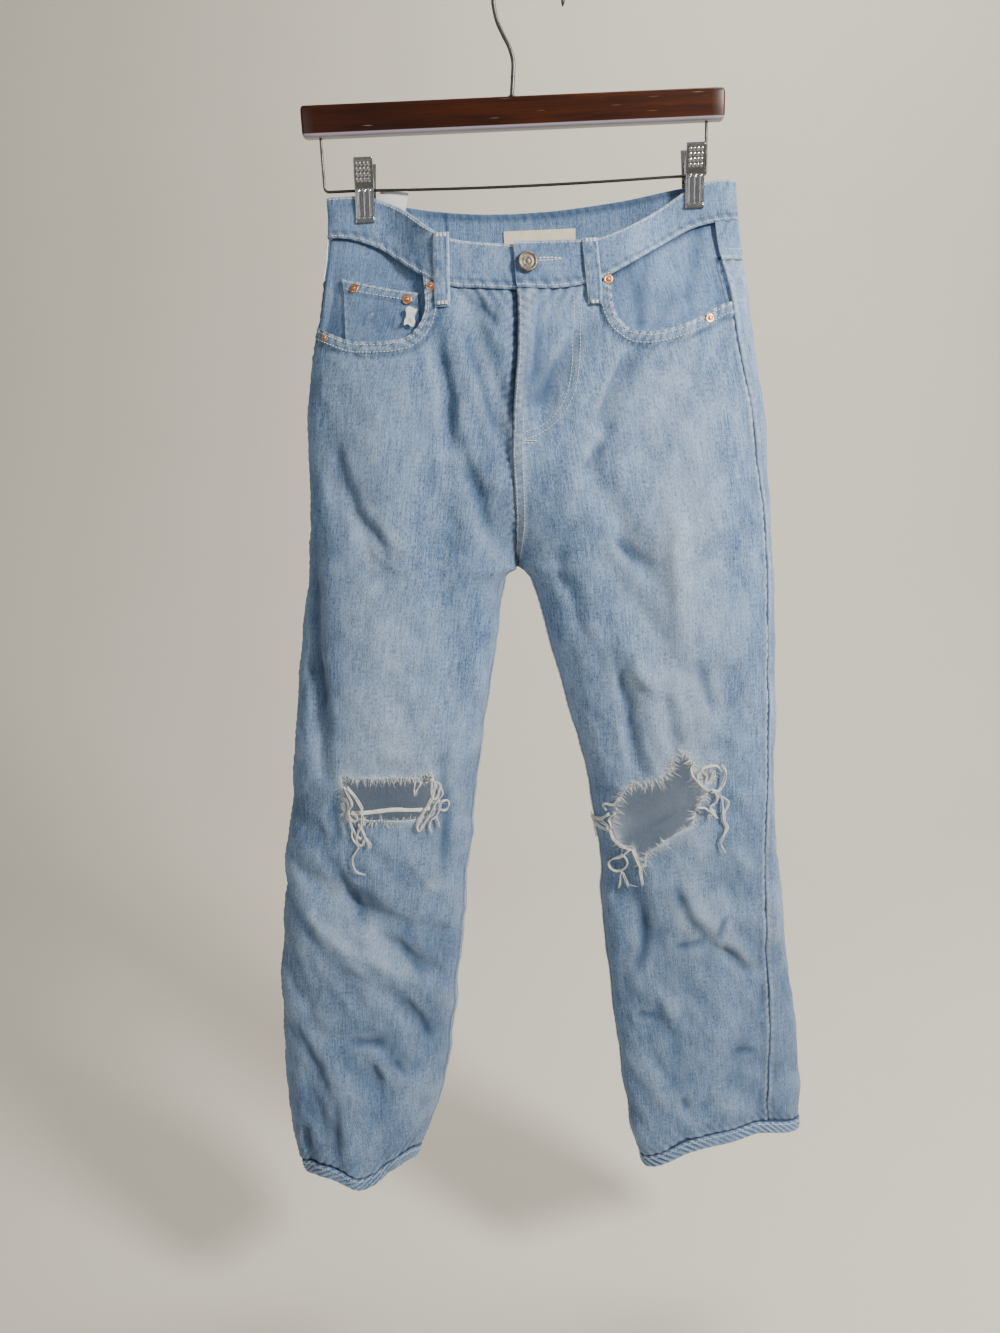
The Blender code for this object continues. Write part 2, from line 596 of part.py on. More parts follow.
def make_legs():
    for name, half in HALVES.items():
        for face, front in (("front_", True), ("back_", False)):
            s, z = leg_grid(half, front)
            wall(face + name, skin(half, s, z), skin(half, s, z, -DENIM), "denim")
        front = bpy.data.objects["front_" + name]
        scoop = SCOOP_LEFT if half < 0 else SCOOP_RIGHT
        combine(front, prism("cut_pocket_" + name, scoop, -90, 10), "DIFFERENCE")
        rip = RIP_LEFT if half < 0 else RIP_RIGHT
        combine(front, prism("cut_rip_" + name, rip, -100, -20), "DIFFERENCE")
        if half > 0:
            x, z, radius = RIP_SMALL
            ring = [(x + radius * math.cos(a), z + radius * math.sin(a))
                    for a in np.linspace(0, 2 * math.pi, 10, endpoint=False)]
            combine(front, prism("cut_rip_small", ring, -100, -20), "DIFFERENCE")


def make_yokes():
    for name, half in HALVES.items():
        upper = waist_line(half, False, "seam") - 2 * SEAM
        lower = waist_line(half, False, "yoke") + SEAM / 2
        z = np.stack([upper + (lower - upper) * k / 3 for k in range(4)])
        s = panel_arc(half, False, np.broadcast_to(SHARES, z.shape), z)
        wall("yoke_" + name, skin(half, s, z), skin(half, s, z, -DENIM), "denim")


def band_sheet(half, front):
    """Outer and inner grids of one half's stretch of the waistband, from the middle to the side."""
    level = np.array([WAIST_LEVEL])
    _, seam_out, side, whole = (float(mark[0]) for mark in marks(half, level))
    shares = panel_arc(half, front, SHARES, np.full_like(SHARES, WAIST_LEVEL))
    beside = side - BAND_MARGIN if front else side + BAND_MARGIN
    kept = shares[shares < beside] if front else shares[shares > beside]
    if abs(side - kept[-1]) > 1.5 * BAND_MARGIN:
        kept = np.append(kept, beside)
    end = side - SEAM / 2 if front else side + SEAM / 2
    at = np.append(kept, end)
    top = waist_height(half, "top", at)
    seam = waist_height(half, "seam", at) + SEAM / 2
    z = np.stack([top + (seam - top) * k / 2 for k in range(3)])
    # columns keep to the panels' columns at every height
    _, seam_z, side_z, whole_z = (mark.reshape(z.shape) for mark in marks(half, z.ravel()))
    if front:
        s = np.where(at <= seam_out, at * seam_z / seam_out,
                     seam_z + (at - seam_out) * (side_z - seam_z) / (side - seam_out))
    else:
        s = whole_z - (whole - at) * (whole_z - side_z) / (whole - side)
    return skin(half, s, z, BAND_LIFT), skin(half, s, z, BAND_LIFT - BAND_WALL)


def make_waistband():
    for name, half in HALVES.items():
        wall("waistband_" + name, *band_sheet(half, True), "denim")
    left, right = band_sheet(-1, False), band_sheet(1, False)
    sheets = [np.concatenate([a[:, ::-1], b[:, 1:]], axis=1) for a, b in zip(left, right)]
    wall("waistband_back", sheets[0], sheets[1], "denim")


def make_hems():
    for name, half in HALVES.items():
        for face, front in (("front", True), ("back", False)):
            low = hem_heights(half, front, SHARES)
            z = np.stack([low + (HEM_HEIGHT - SEAM / 2) * k / 3 for k in (3, 2, 1, 0)])
            s = panel_arc(half, front, np.broadcast_to(SHARES, z.shape), z)
            outer = skin(half, s, z, np.array([0.3, 1.0, 1.0, 0.4])[:, None] * HEM_LIFT)
            wall(f"hem_{face}_{name}", outer, skin(half, s, z, HEM_LIFT - HEM_WALL), "denim")


def patch(name, half, front, x, z, lift, thick, stuff):
    """A sheet that lies on the cloth over grids of x and z, its inner face at lift."""
    s = arc_at(half, front, x, z)
    return wall(name, skin(half, s, z, lift + thick), skin(half, s, z, lift), stuff)


def cut_out(made, outline):
    """Keeps what of a sheet lies within an outline in x and z."""
    combine(made, prism("guide_" + made.name, outline, -120, 80), "INTERSECT")


def strip(low_x, high_x, low_z, high_z, cols, rows, lean=0.0):
    """Grids of x and z over an upright rectangle; lean moves the foot sideways."""
    down = np.linspace(0, 1, rows)[:, None]
    x = np.linspace(low_x, high_x, cols)[None, :] + lean * down
    return np.broadcast_to(x, (rows, cols)), np.broadcast_to(high_z + (low_z - high_z) * down, (rows, cols))


FACING_DEEP = -7.2      # inner face of the pocket facings, well below the waist
FACING_HIGH = -3.2      # and where they are sewn into the waistband
FACING_THICK = 1.2
COIN_THICK = 1.2
FACING_FOOT = -303.0


def facing_lift(z):
    """How deep behind the cloth's face the inner side of a facing lies."""
    return FACING_HIGH + (FACING_DEEP - FACING_HIGH) * eased((-212 - z) / 34)


def facing_grid(half, inner_x, rows=7, cols=10):
    """Distances and heights over the denim behind a front pocket's opening."""
    level = np.array([WAIST_LEVEL])
    side = float(marks(half, level)[2][0])
    outer = side - (17 if half < 0 else 32)
    inner = float(arc_at(half, True, np.array([float(inner_x)]), level)[0])
    s = np.linspace(inner, outer, cols)
    upper = waist_height(half, "seam", s) - 2 * SEAM
    z = np.stack([upper + (FACING_FOOT - upper) * k / (rows - 1) for k in range(rows)])
    return np.broadcast_to(s, z.shape), z


PATCH_THICK = 1.5
COIN_POCKET = [(-104, -249), (-168, -233), (-170, -302), (-102, -302)]
BACK_POCKET = [(-70, 6), (70, 0), (64, -128), (0, -152), (-64, -128)]


def make_pockets():
    for name, half, inner_x in (("left", -1, -88), ("right", 1, 50)):
        s, z = facing_grid(half, inner_x)
        lift = facing_lift(z)
        wall("facing_" + name, skin(half, s, z, lift + FACING_THICK), skin(half, s, z, lift), "denim")
        if half < 0:
            low = lift + FACING_THICK + TOUCH
            coin = wall("coin_pocket", skin(half, s, z, low + COIN_THICK), skin(half, s, z, low), "denim")
            cut_out(coin, COIN_POCKET)
    x, z = strip(-112, -104, -276, -262, 4, 5, lean=-3)
    patch("pocket_bag", -1, True, x, z, -DENIM + 0.2, 1.0, "pocketing")
    for name, half, centre, top in (("left", -1, -117, -312), ("right", 1, 80, -312)):
        s, z = leg_grid(half, False)
        s, z = s[1:14], z[1:14]
        outer = skin(half, s, z, TOUCH + PATCH_THICK)
        pocket = wall("back_pocket_" + name, outer, skin(half, s, z, TOUCH), "denim")
        cut_out(pocket, [(centre - half * dx, top + dz) for dx, dz in BACK_POCKET])


FLY_SHIELD_LIFT = -4.2


def make_fly():
    z = np.linspace(-254, -352, 9)[:, None]
    middle = smooth(SEAT, "middle", z)
    sheets = []
    for lift in (FLY_SHIELD_LIFT, FLY_SHIELD_LIFT - 1.2):
        left = on(-1, True, middle + np.array([-9.0, -1.0]), z, lift)
        right = on(1, True, middle + np.array([10.0, 20.0]), z, lift - 2.0)
        sheets.append(np.concatenate([left, right], axis=1))
    wall("fly_shield", sheets[0], sheets[1], "denim")


LOOP_LIFT = 2.1         # underside of the belt loops, clear of the waistband's seam
BELT_LOOPS = [
    # name, half, on the front, x, top height, foot height, lean of the foot, width
    ("loop_front_left", -1, True, -79.5, -203, -262, -2, 12.5),
    ("loop_front_right", 1, True, 42.5, -213, -265, 3.5, 12.5),
    ("loop_back_left", -1, False, -108, -177, -238, 0, 13),
    ("loop_back_right", 1, False, 88, -177, -238, 0, 13),
    ("loop_back_middle", 1, False, -19, -185, -246, 0, 13),
]


def make_loops():
    for name, half, front, x, top, foot, lean, width in BELT_LOOPS:
        rows = np.linspace(0, 1, 6)[:, None]
        cols = np.linspace(-0.5, 0.5, 3)[None, :]
        grid_x = x + width * cols + lean * rows
        grid_z = np.broadcast_to(top - 1 + (foot - top) * rows, grid_x.shape)
        lifts = []
        for lift in (LOOP_LIFT + 1.6, LOOP_LIFT):
            if name == "loop_back_middle":
                left = on(-1, front, grid_x[:, :1], grid_z[:, :1], lift)
                right = on(1, front, grid_x[:, 1:], grid_z[:, 1:], lift)
                lifts.append(np.concatenate([left, right], axis=1))
            else:
                lifts.append(on(half, front, grid_x, grid_z, lift))
        wall(name, lifts[0], lifts[1], "denim")


# ---- Labels, button and rivets --------------------------------------------

def make_labels():
    """Both labels lie on the inside of the back waistband."""
    inside = BAND_LIFT - BAND_WALL - TOUCH
    cols = np.linspace(-28, 37, 7)
    z = np.stack([np.full_like(cols, -197 - 9 * k) for k in range(3)])
    sheets = []
    for lift in (inside, inside - 0.6):
        left = on(-1, False, np.broadcast_to(cols[:1], (3, 1)), z[:, :1], lift)
        right = on(1, False, np.broadcast_to(cols[1:], (3, 6)), z[:, 1:], lift)
        sheets.append(np.concatenate([left, right], axis=1))
    wall("waist_label", sheets[0], sheets[1], "label")
    rows = np.linspace(0, 1, 5)[:, None]
    cols = np.linspace(0, 1, 3)[None, :]
    x = -131 + 24 * cols - 5 * rows
    z = -163 - 20 * rows + 2 * cols
    patch("care_label", -1, False, x, z, inside - 0.5, 0.5, "label")


BUTTON = [(3.2, 0.0), (3.2, 2.0), (7.6, 2.2), (8.3, 2.9), (8.0, 3.8), (6.6, 4.2), (5.6, 3.6), (0.8, 3.9)]
RIVET = [(4.3, 0.0), (4.1, 0.7), (3.0, 1.3), (1.7, 1.0), (1.5, 1.9), (0.5, 2.2)]
RIVETS = [
    # name, half, x, height, whether it stands on the coin pocket
    ("rivet_coin_left", -1, -158, -241, True),
    ("rivet_coin_right", -1, -112, -254, True),
    ("rivet_left_inner", -1, -91, -246, False),
    ("rivet_left_outer", -1, -184, -282, False),
    ("rivet_right_inner", 1, 57, -247, False),
    ("rivet_right_outer", 1, 143, -281, False),
]


def make_fasteners():
    place = on(1, True, np.array([-10.0]), np.array([-231.0]), np.array([BAND_LIFT + TOUCH]))[0]
    higher = on(1, True, np.array([-10.0]), np.array([-231.0]), np.array([BAND_LIFT + TOUCH + 5]))[0]
    points, faces = spun(BUTTON, place, higher - place, 24)
    add_mesh("waist_button", points, faces, "nickel")
    for name, half, x, z, on_coin in RIVETS:
        z = np.array([float(z)])
        face = facing_lift(z) + FACING_THICK + TOUCH + COIN_THICK if on_coin else np.zeros(1)
        at = [on(half, True, np.array([float(x)]), z, face + more)[0] for more in (2 * TOUCH, 5.0)]
        points, faces = spun(RIVET, at[0], at[1] - at[0], 12)
        add_mesh(name, points, faces, "copper")


# ---- Threads at the rips ---------------------------------------------------

THREAD = 0.45
THREAD_STAND = 3.2      # how far the first thread of a group stands out from the cloth
THREAD_LAYER = 1.0      # and how much farther each next one does, so that none cross
# Each group hangs from a strip just inside a rip's edge: half, the strip's two ends (x, z),
# which way its threads first lean, and for each thread its share along the strip, its run
# sideways and its drop.
THREAD_GROUPS = {
    "rip_left_outer_threads": (-1, (-194.5, -675), (-194.5, -706), 1, [
        (0.95, 2, 56), (0.80, 6, 50), (0.66, 0, 62), (0.52, 5, 48), (0.38, 1, 40),
        (0.22, 6, 44), (0.05, 2, 66)]),
    "rip_left_inner_threads": (-1, (-117.5, -676), (-118.5, -706), 1, [
        (0.92, 0, 26), (0.72, 4, 34), (0.55, 1, 42), (0.40, 5, 30), (0.22, 2, 36), (0.05, 4, 24)]),
    "rip_right_inner_threads": (1, (61.5, -712), (57, -738), -1, [
        (0.92, -3, 30), (0.72, -9, 24), (0.55, -30, 40), (0.40, -6, 32), (0.22, -12, 34), (0.05, -5, 40)]),
    "rip_right_lower_threads": (1, (62, -753.5), (72, -755.5), 0, [
        (0.10, -6, 26), (0.40, -4, 42), (0.65, 2, 38), (0.90, 5, 44)]),
    "rip_right_outer_threads": (1, (134.5, -700), (129, -714), 1, [
        (0.88, 14, 48), (0.60, 12, 40), (0.35, 16, 50), (0.10, 12, 34)]),
}


def thread_path(half, start, way, run, drop, stand):
    """Up out of the rip's edge, over the cloth and down, with a slight curl."""
    t = np.array([0, 0, 0.10, 0.30, 0.54, 0.77, 1.0])
    lean = 3.5 * way * np.minimum(1, t / 0.1)
    x = start[0] + lean + run * np.sin(t * 2.0) + 1.8 * (np.sin(5 * t + drop) - math.sin(drop)) * (t > 0.1)
    z = start[1] - 1.5 * np.minimum(1, t / 0.1) - drop * t ** 1.6
    lift = np.full(7, stand)
    lift[:2] = -0.8, stand - 0.8
    return on(half, True, x, z, lift)


def make_threads():
    for name, (half, top, foot, way, strands) in THREAD_GROUPS.items():
        share = np.linspace(0, 1, 5)
        x = top[0] + (foot[0] - top[0]) * share
        z = top[1] + (foot[1] - top[1]) * share
        strip_path = on(half, True, x, z, np.full_like(x, -0.9))
        made = add_mesh(name, *tube(strip_path, 0.8, 6), "thread")
        shapes = []
        for i, (share, run, drop) in enumerate(strands):
            start = (top[0] + (foot[0] - top[0]) * (0.08 + 0.84 * share),
                     top[1] + (foot[1] - top[1]) * (0.08 + 0.84 * share))
            path = thread_path(half, start, way, run, drop, THREAD_STAND + THREAD_LAYER * i)
            shapes.append(tube(path, THREAD, 3, tip=0.7))
        points, faces = merged(shapes)
        combine(made, as_cutter(add_mesh("guide_" + name, points, faces, "thread")), "UNION")
    x = np.linspace(-191, -121, 12)
    z = -705 + 1.0 * np.sin(x / 9.0)
    bar = on(-1, True, x, z, np.full_like(x, -0.4))
    points, faces = tube(bar, 1.0, 8)
    stretched = []
    for i, p in enumerate(points):
        middle = bar[i // 8]
        stretched.append(middle + (p - middle) * np.array([1.0, 1.0, 2.0]))
    add_mesh("rip_left_bar", stretched, faces, "thread")


# ---- The hanger -----------------------------------------------------------

BAR = (-192.5, 161.0, -7.0, 7.0, -121.5, -97.0)      # low and high x, y, z
HOOK_RADIUS = 1.8
HOOK_BEND = 28.5
WIRE_RADIUS = 1.2
WIRE_LEFT, WIRE_RIGHT, WIRE_FOOT, WIRE_CORNER = -178.0, 146.5, -163.0, 3.5
BORE_DEPTH = 15.0


def bored(name, x, z0, z1, radius):
    """A round cutter standing in the bar."""
    path = [(x, 0, z0), (x, 0, z1)]
    return as_cutter(add_mesh(name, *tube(path, radius, 16), "steel"))


def make_hanger():
    x0, x1, y0, y1, z0, z1 = BAR
    bar = add_mesh("hanger_bar", *box((x0, y0, z0), (x1, y1, z1)), "wood")
    rounding = bar.modifiers.new("rounding", "BEVEL")
    rounding.width = 3.0 * MM
    rounding.segments = 3
    shank_x = -16.0
    combine(bar, bored("cut_hook", shank_x, z1 - BORE_DEPTH, z1 + 5, HOOK_RADIUS + SEAM), "DIFFERENCE")
    for name, x in (("left", WIRE_LEFT), ("right", WIRE_RIGHT)):
        cutter = bored("cut_wire_" + name, x, z0 - 5, z0 + BORE_DEPTH, WIRE_RADIUS + SEAM)
        combine(bar, cutter, "DIFFERENCE")
    centre_z = HOOK_RADIUS - HOOK_BEND
    path = [(shank_x, 0, z1 - BORE_DEPTH + SEAM), (shank_x, 0, z1), (-14.5, 0, -80), (-14.0, 0, -70),
            (-16.5, 0, -60), (-21.5, 0, -50), (-26.0, 0, -40)]
    for turn in np.radians(np.arange(180, -20, -10)):
        path.append((HOOK_BEND * math.cos(turn), 0, centre_z + HOOK_BEND * math.sin(turn)))
    add_mesh("hanger_hook", *tube(path, HOOK_RADIUS, 10), "steel")
    path = [(WIRE_LEFT, 0, z0 + BORE_DEPTH - SEAM), (WIRE_LEFT, 0, z0 - 2)]
    for turn in np.radians(np.arange(180, 271, 18)):
        path.append((WIRE_LEFT + WIRE_CORNER * (1 + math.cos(turn)), 0,
                     WIRE_FOOT + WIRE_CORNER * (1 + math.sin(turn))))
    for x in np.linspace(-150, 118, 7):
        path.append((x, 0, WIRE_FOOT - 2.0 * math.cos((x + 16) / 134 * math.pi / 2)))
    for turn in np.radians(np.arange(270, 361, 18)):
        path.append((WIRE_RIGHT + WIRE_CORNER * (math.cos(turn) - 1), 0,
                     WIRE_FOOT + WIRE_CORNER * (1 + math.sin(turn))))
    path += [(WIRE_RIGHT, 0, z0 - 2), (WIRE_RIGHT, 0, z0 + BORE_DEPTH - SEAM)]
    add_mesh("hanger_wire", *tube(path, WIRE_RADIUS, 8), "steel")


CLIP_WIDTH = 16.0
JAW_FACE = PINCH_HALF + BAND_LIFT + TOUCH      # the jaws' grip, from the wire's plane
# A jaw seen from the side: (depth out from the grip, height); the outer line then the inner.
JAW_OUTER = [(8.2, -140), (8.6, -142), (3.6, -163), (2.2, -180), (1.9, -189.5)]
JAW_INNER = [(0.2, -189.5), (0.0, -180), (1.8, -163), (7.0, -140)]
EAR_TOP, EAR_FOOT = -155.0, -170.0


def jaw(name, x, lean, side):
    """One jaw of a clip; side is -1 in front and 1 behind. Its ears reach in beside the wire."""
    profile = JAW_OUTER + JAW_INNER
    ridges = [(x - CLIP_WIDTH / 2 + CLIP_WIDTH * k / 8, 0.7 * (k % 2)) for k in range(9)]
    points, faces = [], []
    for ridge_x, out in ridges:
        for i, (depth, z) in enumerate(profile):
            more = out if 1 < i < len(JAW_OUTER) else 0
            points.append((ridge_x + lean * (z + 163), side * (JAW_FACE + depth + more), z))
    count = len(profile)
    for i in range(len(ridges) - 1):
        for k in range(count):
            a, b = i * count + k, i * count + (k + 1) % count
            faces.append((a, b, b + count, a + count))
    faces.append(tuple(range(count - 1, -1, -1)))
    faces.append(tuple((len(ridges) - 1) * count + k for k in range(count)))
    made = add_mesh(name, points, faces, "chrome")
    inset = 0.0 if side < 0 else 1.8
    ears = []
    for way in (-1, 1):
        edge = x + way * (CLIP_WIDTH / 2 - inset)
        low_x, high_x = sorted((edge, edge - way * 1.4))
        reach = side * (JAW_FACE + 2.6)
        low_y, high_y = sorted((reach, side * -3.2))
        ears.append(box((low_x, low_y, EAR_FOOT + 8), (high_x, high_y, EAR_TOP)))
    points, faces = merged(ears)
    combine(made, as_cutter(add_mesh("guide_" + name, points, faces, "chrome")), "UNION")
    hole = tube([(x - 20, 0, WIRE_FOOT - 1.2), (x + 20, 0, WIRE_FOOT - 1.2)], WIRE_RADIUS + 1.6, 12)
    combine(made, as_cutter(add_mesh("cut_" + name, *hole, "chrome")), "DIFFERENCE")
    return made


def make_clips():
    for name, x, lean in (("left", CLIP_LEFT_X, 0.05), ("right", CLIP_RIGHT_X, 0.0)):
        jaw(f"clip_{name}_front", x, lean, -1)
        jaw(f"clip_{name}_back", x, lean, 1)


def main():
    for old in list(bpy.data.objects):
        bpy.data.objects.remove(old, do_unlink=True)
    make_legs()
    make_yokes()
    make_waistband()
    make_hems()
    make_pockets()
    make_fly()
    make_loops()
    make_labels()
    make_fasteners()
    make_threads()
    make_hanger()
    make_clips()


main()
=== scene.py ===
"""Straight leg jeans with two ripped knees, hung by the waist from a wooden clip hanger.

An add-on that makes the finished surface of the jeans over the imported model: the cloth in its
folds, the seams and their stitches, the rips with their loose threads, the metal and the hanger.
Lengths in the tables are millimetres. +X runs to the viewer's right, +Y towards the wall behind
and +Z up. s is the distance along the cloth round a leg, from its inner edge at the front, by the
side seam, to the back; z is the height; half is -1 for the left leg and 1 for the right one.
"""

import math

import bmesh
import bpy
import numpy as np
from mathutils import Matrix, Vector


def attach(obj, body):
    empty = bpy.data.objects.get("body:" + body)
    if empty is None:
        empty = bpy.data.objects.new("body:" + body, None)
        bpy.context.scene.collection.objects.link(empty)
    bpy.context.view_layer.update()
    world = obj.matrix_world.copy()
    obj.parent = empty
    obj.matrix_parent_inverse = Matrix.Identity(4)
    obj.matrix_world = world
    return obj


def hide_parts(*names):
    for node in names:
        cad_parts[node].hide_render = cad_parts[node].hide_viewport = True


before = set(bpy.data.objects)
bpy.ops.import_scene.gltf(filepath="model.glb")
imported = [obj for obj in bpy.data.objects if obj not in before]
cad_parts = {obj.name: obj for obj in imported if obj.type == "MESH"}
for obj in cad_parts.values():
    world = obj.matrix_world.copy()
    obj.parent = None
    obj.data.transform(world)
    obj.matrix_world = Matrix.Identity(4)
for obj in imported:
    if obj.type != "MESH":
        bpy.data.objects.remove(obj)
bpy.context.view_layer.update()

bl_info = {
    "name": "Straight leg jeans",
    "version": (1, 0, 0),
    "blender": (4, 5, 0),
    "location": "3D View > Sidebar > Jeans",
    "description": "Ripped straight leg jeans on a wooden clip hanger",
    "category": "Add Mesh",
}

MM = 0.001

# ---- Sizes of the garment ----------------------------------------------------

DENIM = 1.8             # wall of a single layer of denim
BAND_WALL = 2.6         # waistband, two layers
BAND_LIFT = 0.6         # how far the waistband's face stands proud of the panels
HEM_HEIGHT = 14.0
SEAM = 0.3              # gap left between pieces at a seam
TOUCH = 0.3             # gap left under a piece that lies on another
CROTCH = -489.0         # height where the legs part
ARCH_HEIGHT = 14.0      # height of the rounded arch between the legs
WAIST_CENTRE = -4.0     # middle of the waist from side to side
PINCH_HALF = 5.4        # half the depth of the waist where the clips close it
SAMPLES = 121           # points round a section, odd

WAIST_LEVEL = -220.0    # where the shares round the waist are measured
CENTRE_BLEND = 45.0     # how near the centre seam both halves take the same depth
FOLD_FADE = 26.0        # depth over which folds fade out towards the sides
PINCH_INNER = 78.0      # how far from the middle the waist begins to close
PINCH_SPREAD = 48.0
PINCH_FOOT = -255.0     # height where the closing begins
PINCH_RISE = 62.0
PINCH_POWER = 20        # how square the closed waist's ends are
FOLDS_TOP = -215.0      # folds fade in below this height
FOLDS_FADE_IN = 40.0

CLIP_LEFT_X = -143.5
CLIP_RIGHT_X = 135.5


def rows_of(text):
    """A table's numbers: a row ends with its line or at a semicolon."""
    return [[float(word) for word in row.split()] for row in text.replace(";", "\n").strip().splitlines()]


def columns(names, text):
    """A table as a dictionary of named columns."""
    return dict(zip(names.split(), np.array(rows_of(text)).T))


def pairs(text):
    """The places or steps of an outline, two numbers each."""
    numbers = [float(word) for word in text.split()]
    return list(zip(numbers[::2], numbers[1::2]))


def lines_of(lead, text):
    """Rows with lead numbers first and then the (x, z) places of a line."""
    return [(*row[:lead], list(zip(row[lead::2], row[lead + 1::2]))) for row in rows_of(text)]


# Sections of the seat. middle is the centre seam, front, side and back are depths.
SEAT = columns("z left right middle front side back power", """
-150 -176 170 -20 -24 0 13 1.9
-200 -178 174 -20 -35 0 20 1.9
-231 -184 178 -20 -41 -3 25 2
-262 -190 183 -19 -46 -6 29 2.2
-304 -200 188 -21 -51 -9 33 2.4
-345 -206 195 -26 -54 -11 35 2.5
-381 -209 199 -28 -57 -12 36 2.5
-413 -211 201 -28 -59 -12 36 2.5
-450 -214 204 -27 -61 -12 36 2.5
-489 -219 207 -26 -62 -12 36 2.5
""")

# Sections of each leg. seam_out and seam_in are how far the side seam and the
# inseam have turned to the front, along the cloth.
LEG_LEFT = columns("z outer inner front side back power turn seam_out seam_in", """
-489 -219 -38 -62 -12 36 2.5 0 3 0
-527 -227 -45 -63 -13 36 2.5 0 3 0
-569 -234 -52 -63 -14 36 2.5 0 3 1
-610 -240 -60 -63 -14 35 2.5 0 3 2
-652 -247 -68 -63 -15 35 2.5 0 3 3
-694 -254 -74 -62 -15 34 2.4 0 3 4
-746 -262 -81 -60 -16 32 2.4 0 3 4
-787 -268 -89 -58 -16 30 2.4 0 4 4
-829 -274 -94 -58 -17 29 2.4 0 4 5
-870 -279 -98 -60 -18 28 2.4 1 4 6
-922 -283 -107 -63 -19 28 2.3 2 5 7
-954 -285 -111 -66 -20 29 2.3 3 5 8
-985 -286 -116 -68 -21 30 2.3 5 5 9
-1016 -287 -124 -71 -23 31 2.3 6 5 10
-1058 -285 -136 -76 -26 32 2.2 8 5 10
-1089 -281 -149 -79 -28 32 2.2 9 5 10
-1125 -273 -168 -82 -30 32 2.2 10 5 10
-1150 -268 -178 -83 -31 32 2.2 10 5 10
""")
LEG_RIGHT = columns("z outer inner front side back power turn seam_out seam_in", """
-489 207 -17 -62 -12 36 2.5 0 30 0
-527 209 -6 -62 -13 36 2.5 0 31 0
-569 211 4 -62 -14 35 2.5 0 32 -2
-610 212 14 -61 -15 35 2.5 0 32 -4
-652 213 25 -61 -16 34 2.5 0 31 -6
-694 214 34 -60 -16 33 2.5 1 31 -8
-756 217 42 -58 -17 31 2.4 2 34 -9
-787 220 44 -56 -18 29 2.4 3 35 -10
-839 224 46 -53 -19 26 2.4 4 36 -11
-891 231 50 -51 -20 22 2.4 5 38 -12
-943 241 54 -49 -21 18 2.4 7 43 -12
-985 248 58 -49 -22 14 2.3 8 47 -12
-1026 252 62 -50 -23 11 2.3 9 52 -12
-1058 254 65 -52 -25 8 2.2 9 55 -12
-1089 254 71 -54 -27 7 2.2 10 52 -12
-1125 254 80 -55 -28 6 2.2 10 47 -12
-1150 254 86 -55 -28 6 2.2 10 47 -12
""")
# How far the right side seam has turned to the front, over the seat.
SEAT_SEAM = columns("z left right", """
-150 2 22; -231 2 29; -304 2 30; -381 3 29; -489 3 30
""")

# Edges of the waistband: height against the share of the way from the middle to the side.
FRONT_BAND = columns("share left_top left_seam right_top right_seam", """
0 -216 -252 -214 -250
0.18 -213 -249 -214 -252
0.34 -207 -245 -214 -246
0.44 -197 -237 -208 -237
0.57 -181 -223 -196 -224
0.66 -174 -213 -186 -215
0.76 -169 -206 -175 -206
0.88 -168 -201 -168 -201
1 -168 -200 -168 -200
""")
BACK_BAND = columns("share top seam yoke", """
0 -184 -222 -292
0.2 -183 -221 -282
0.4 -180 -218 -268
0.6 -176 -213 -254
0.8 -171 -206 -242
1 -168 -200 -232
""")

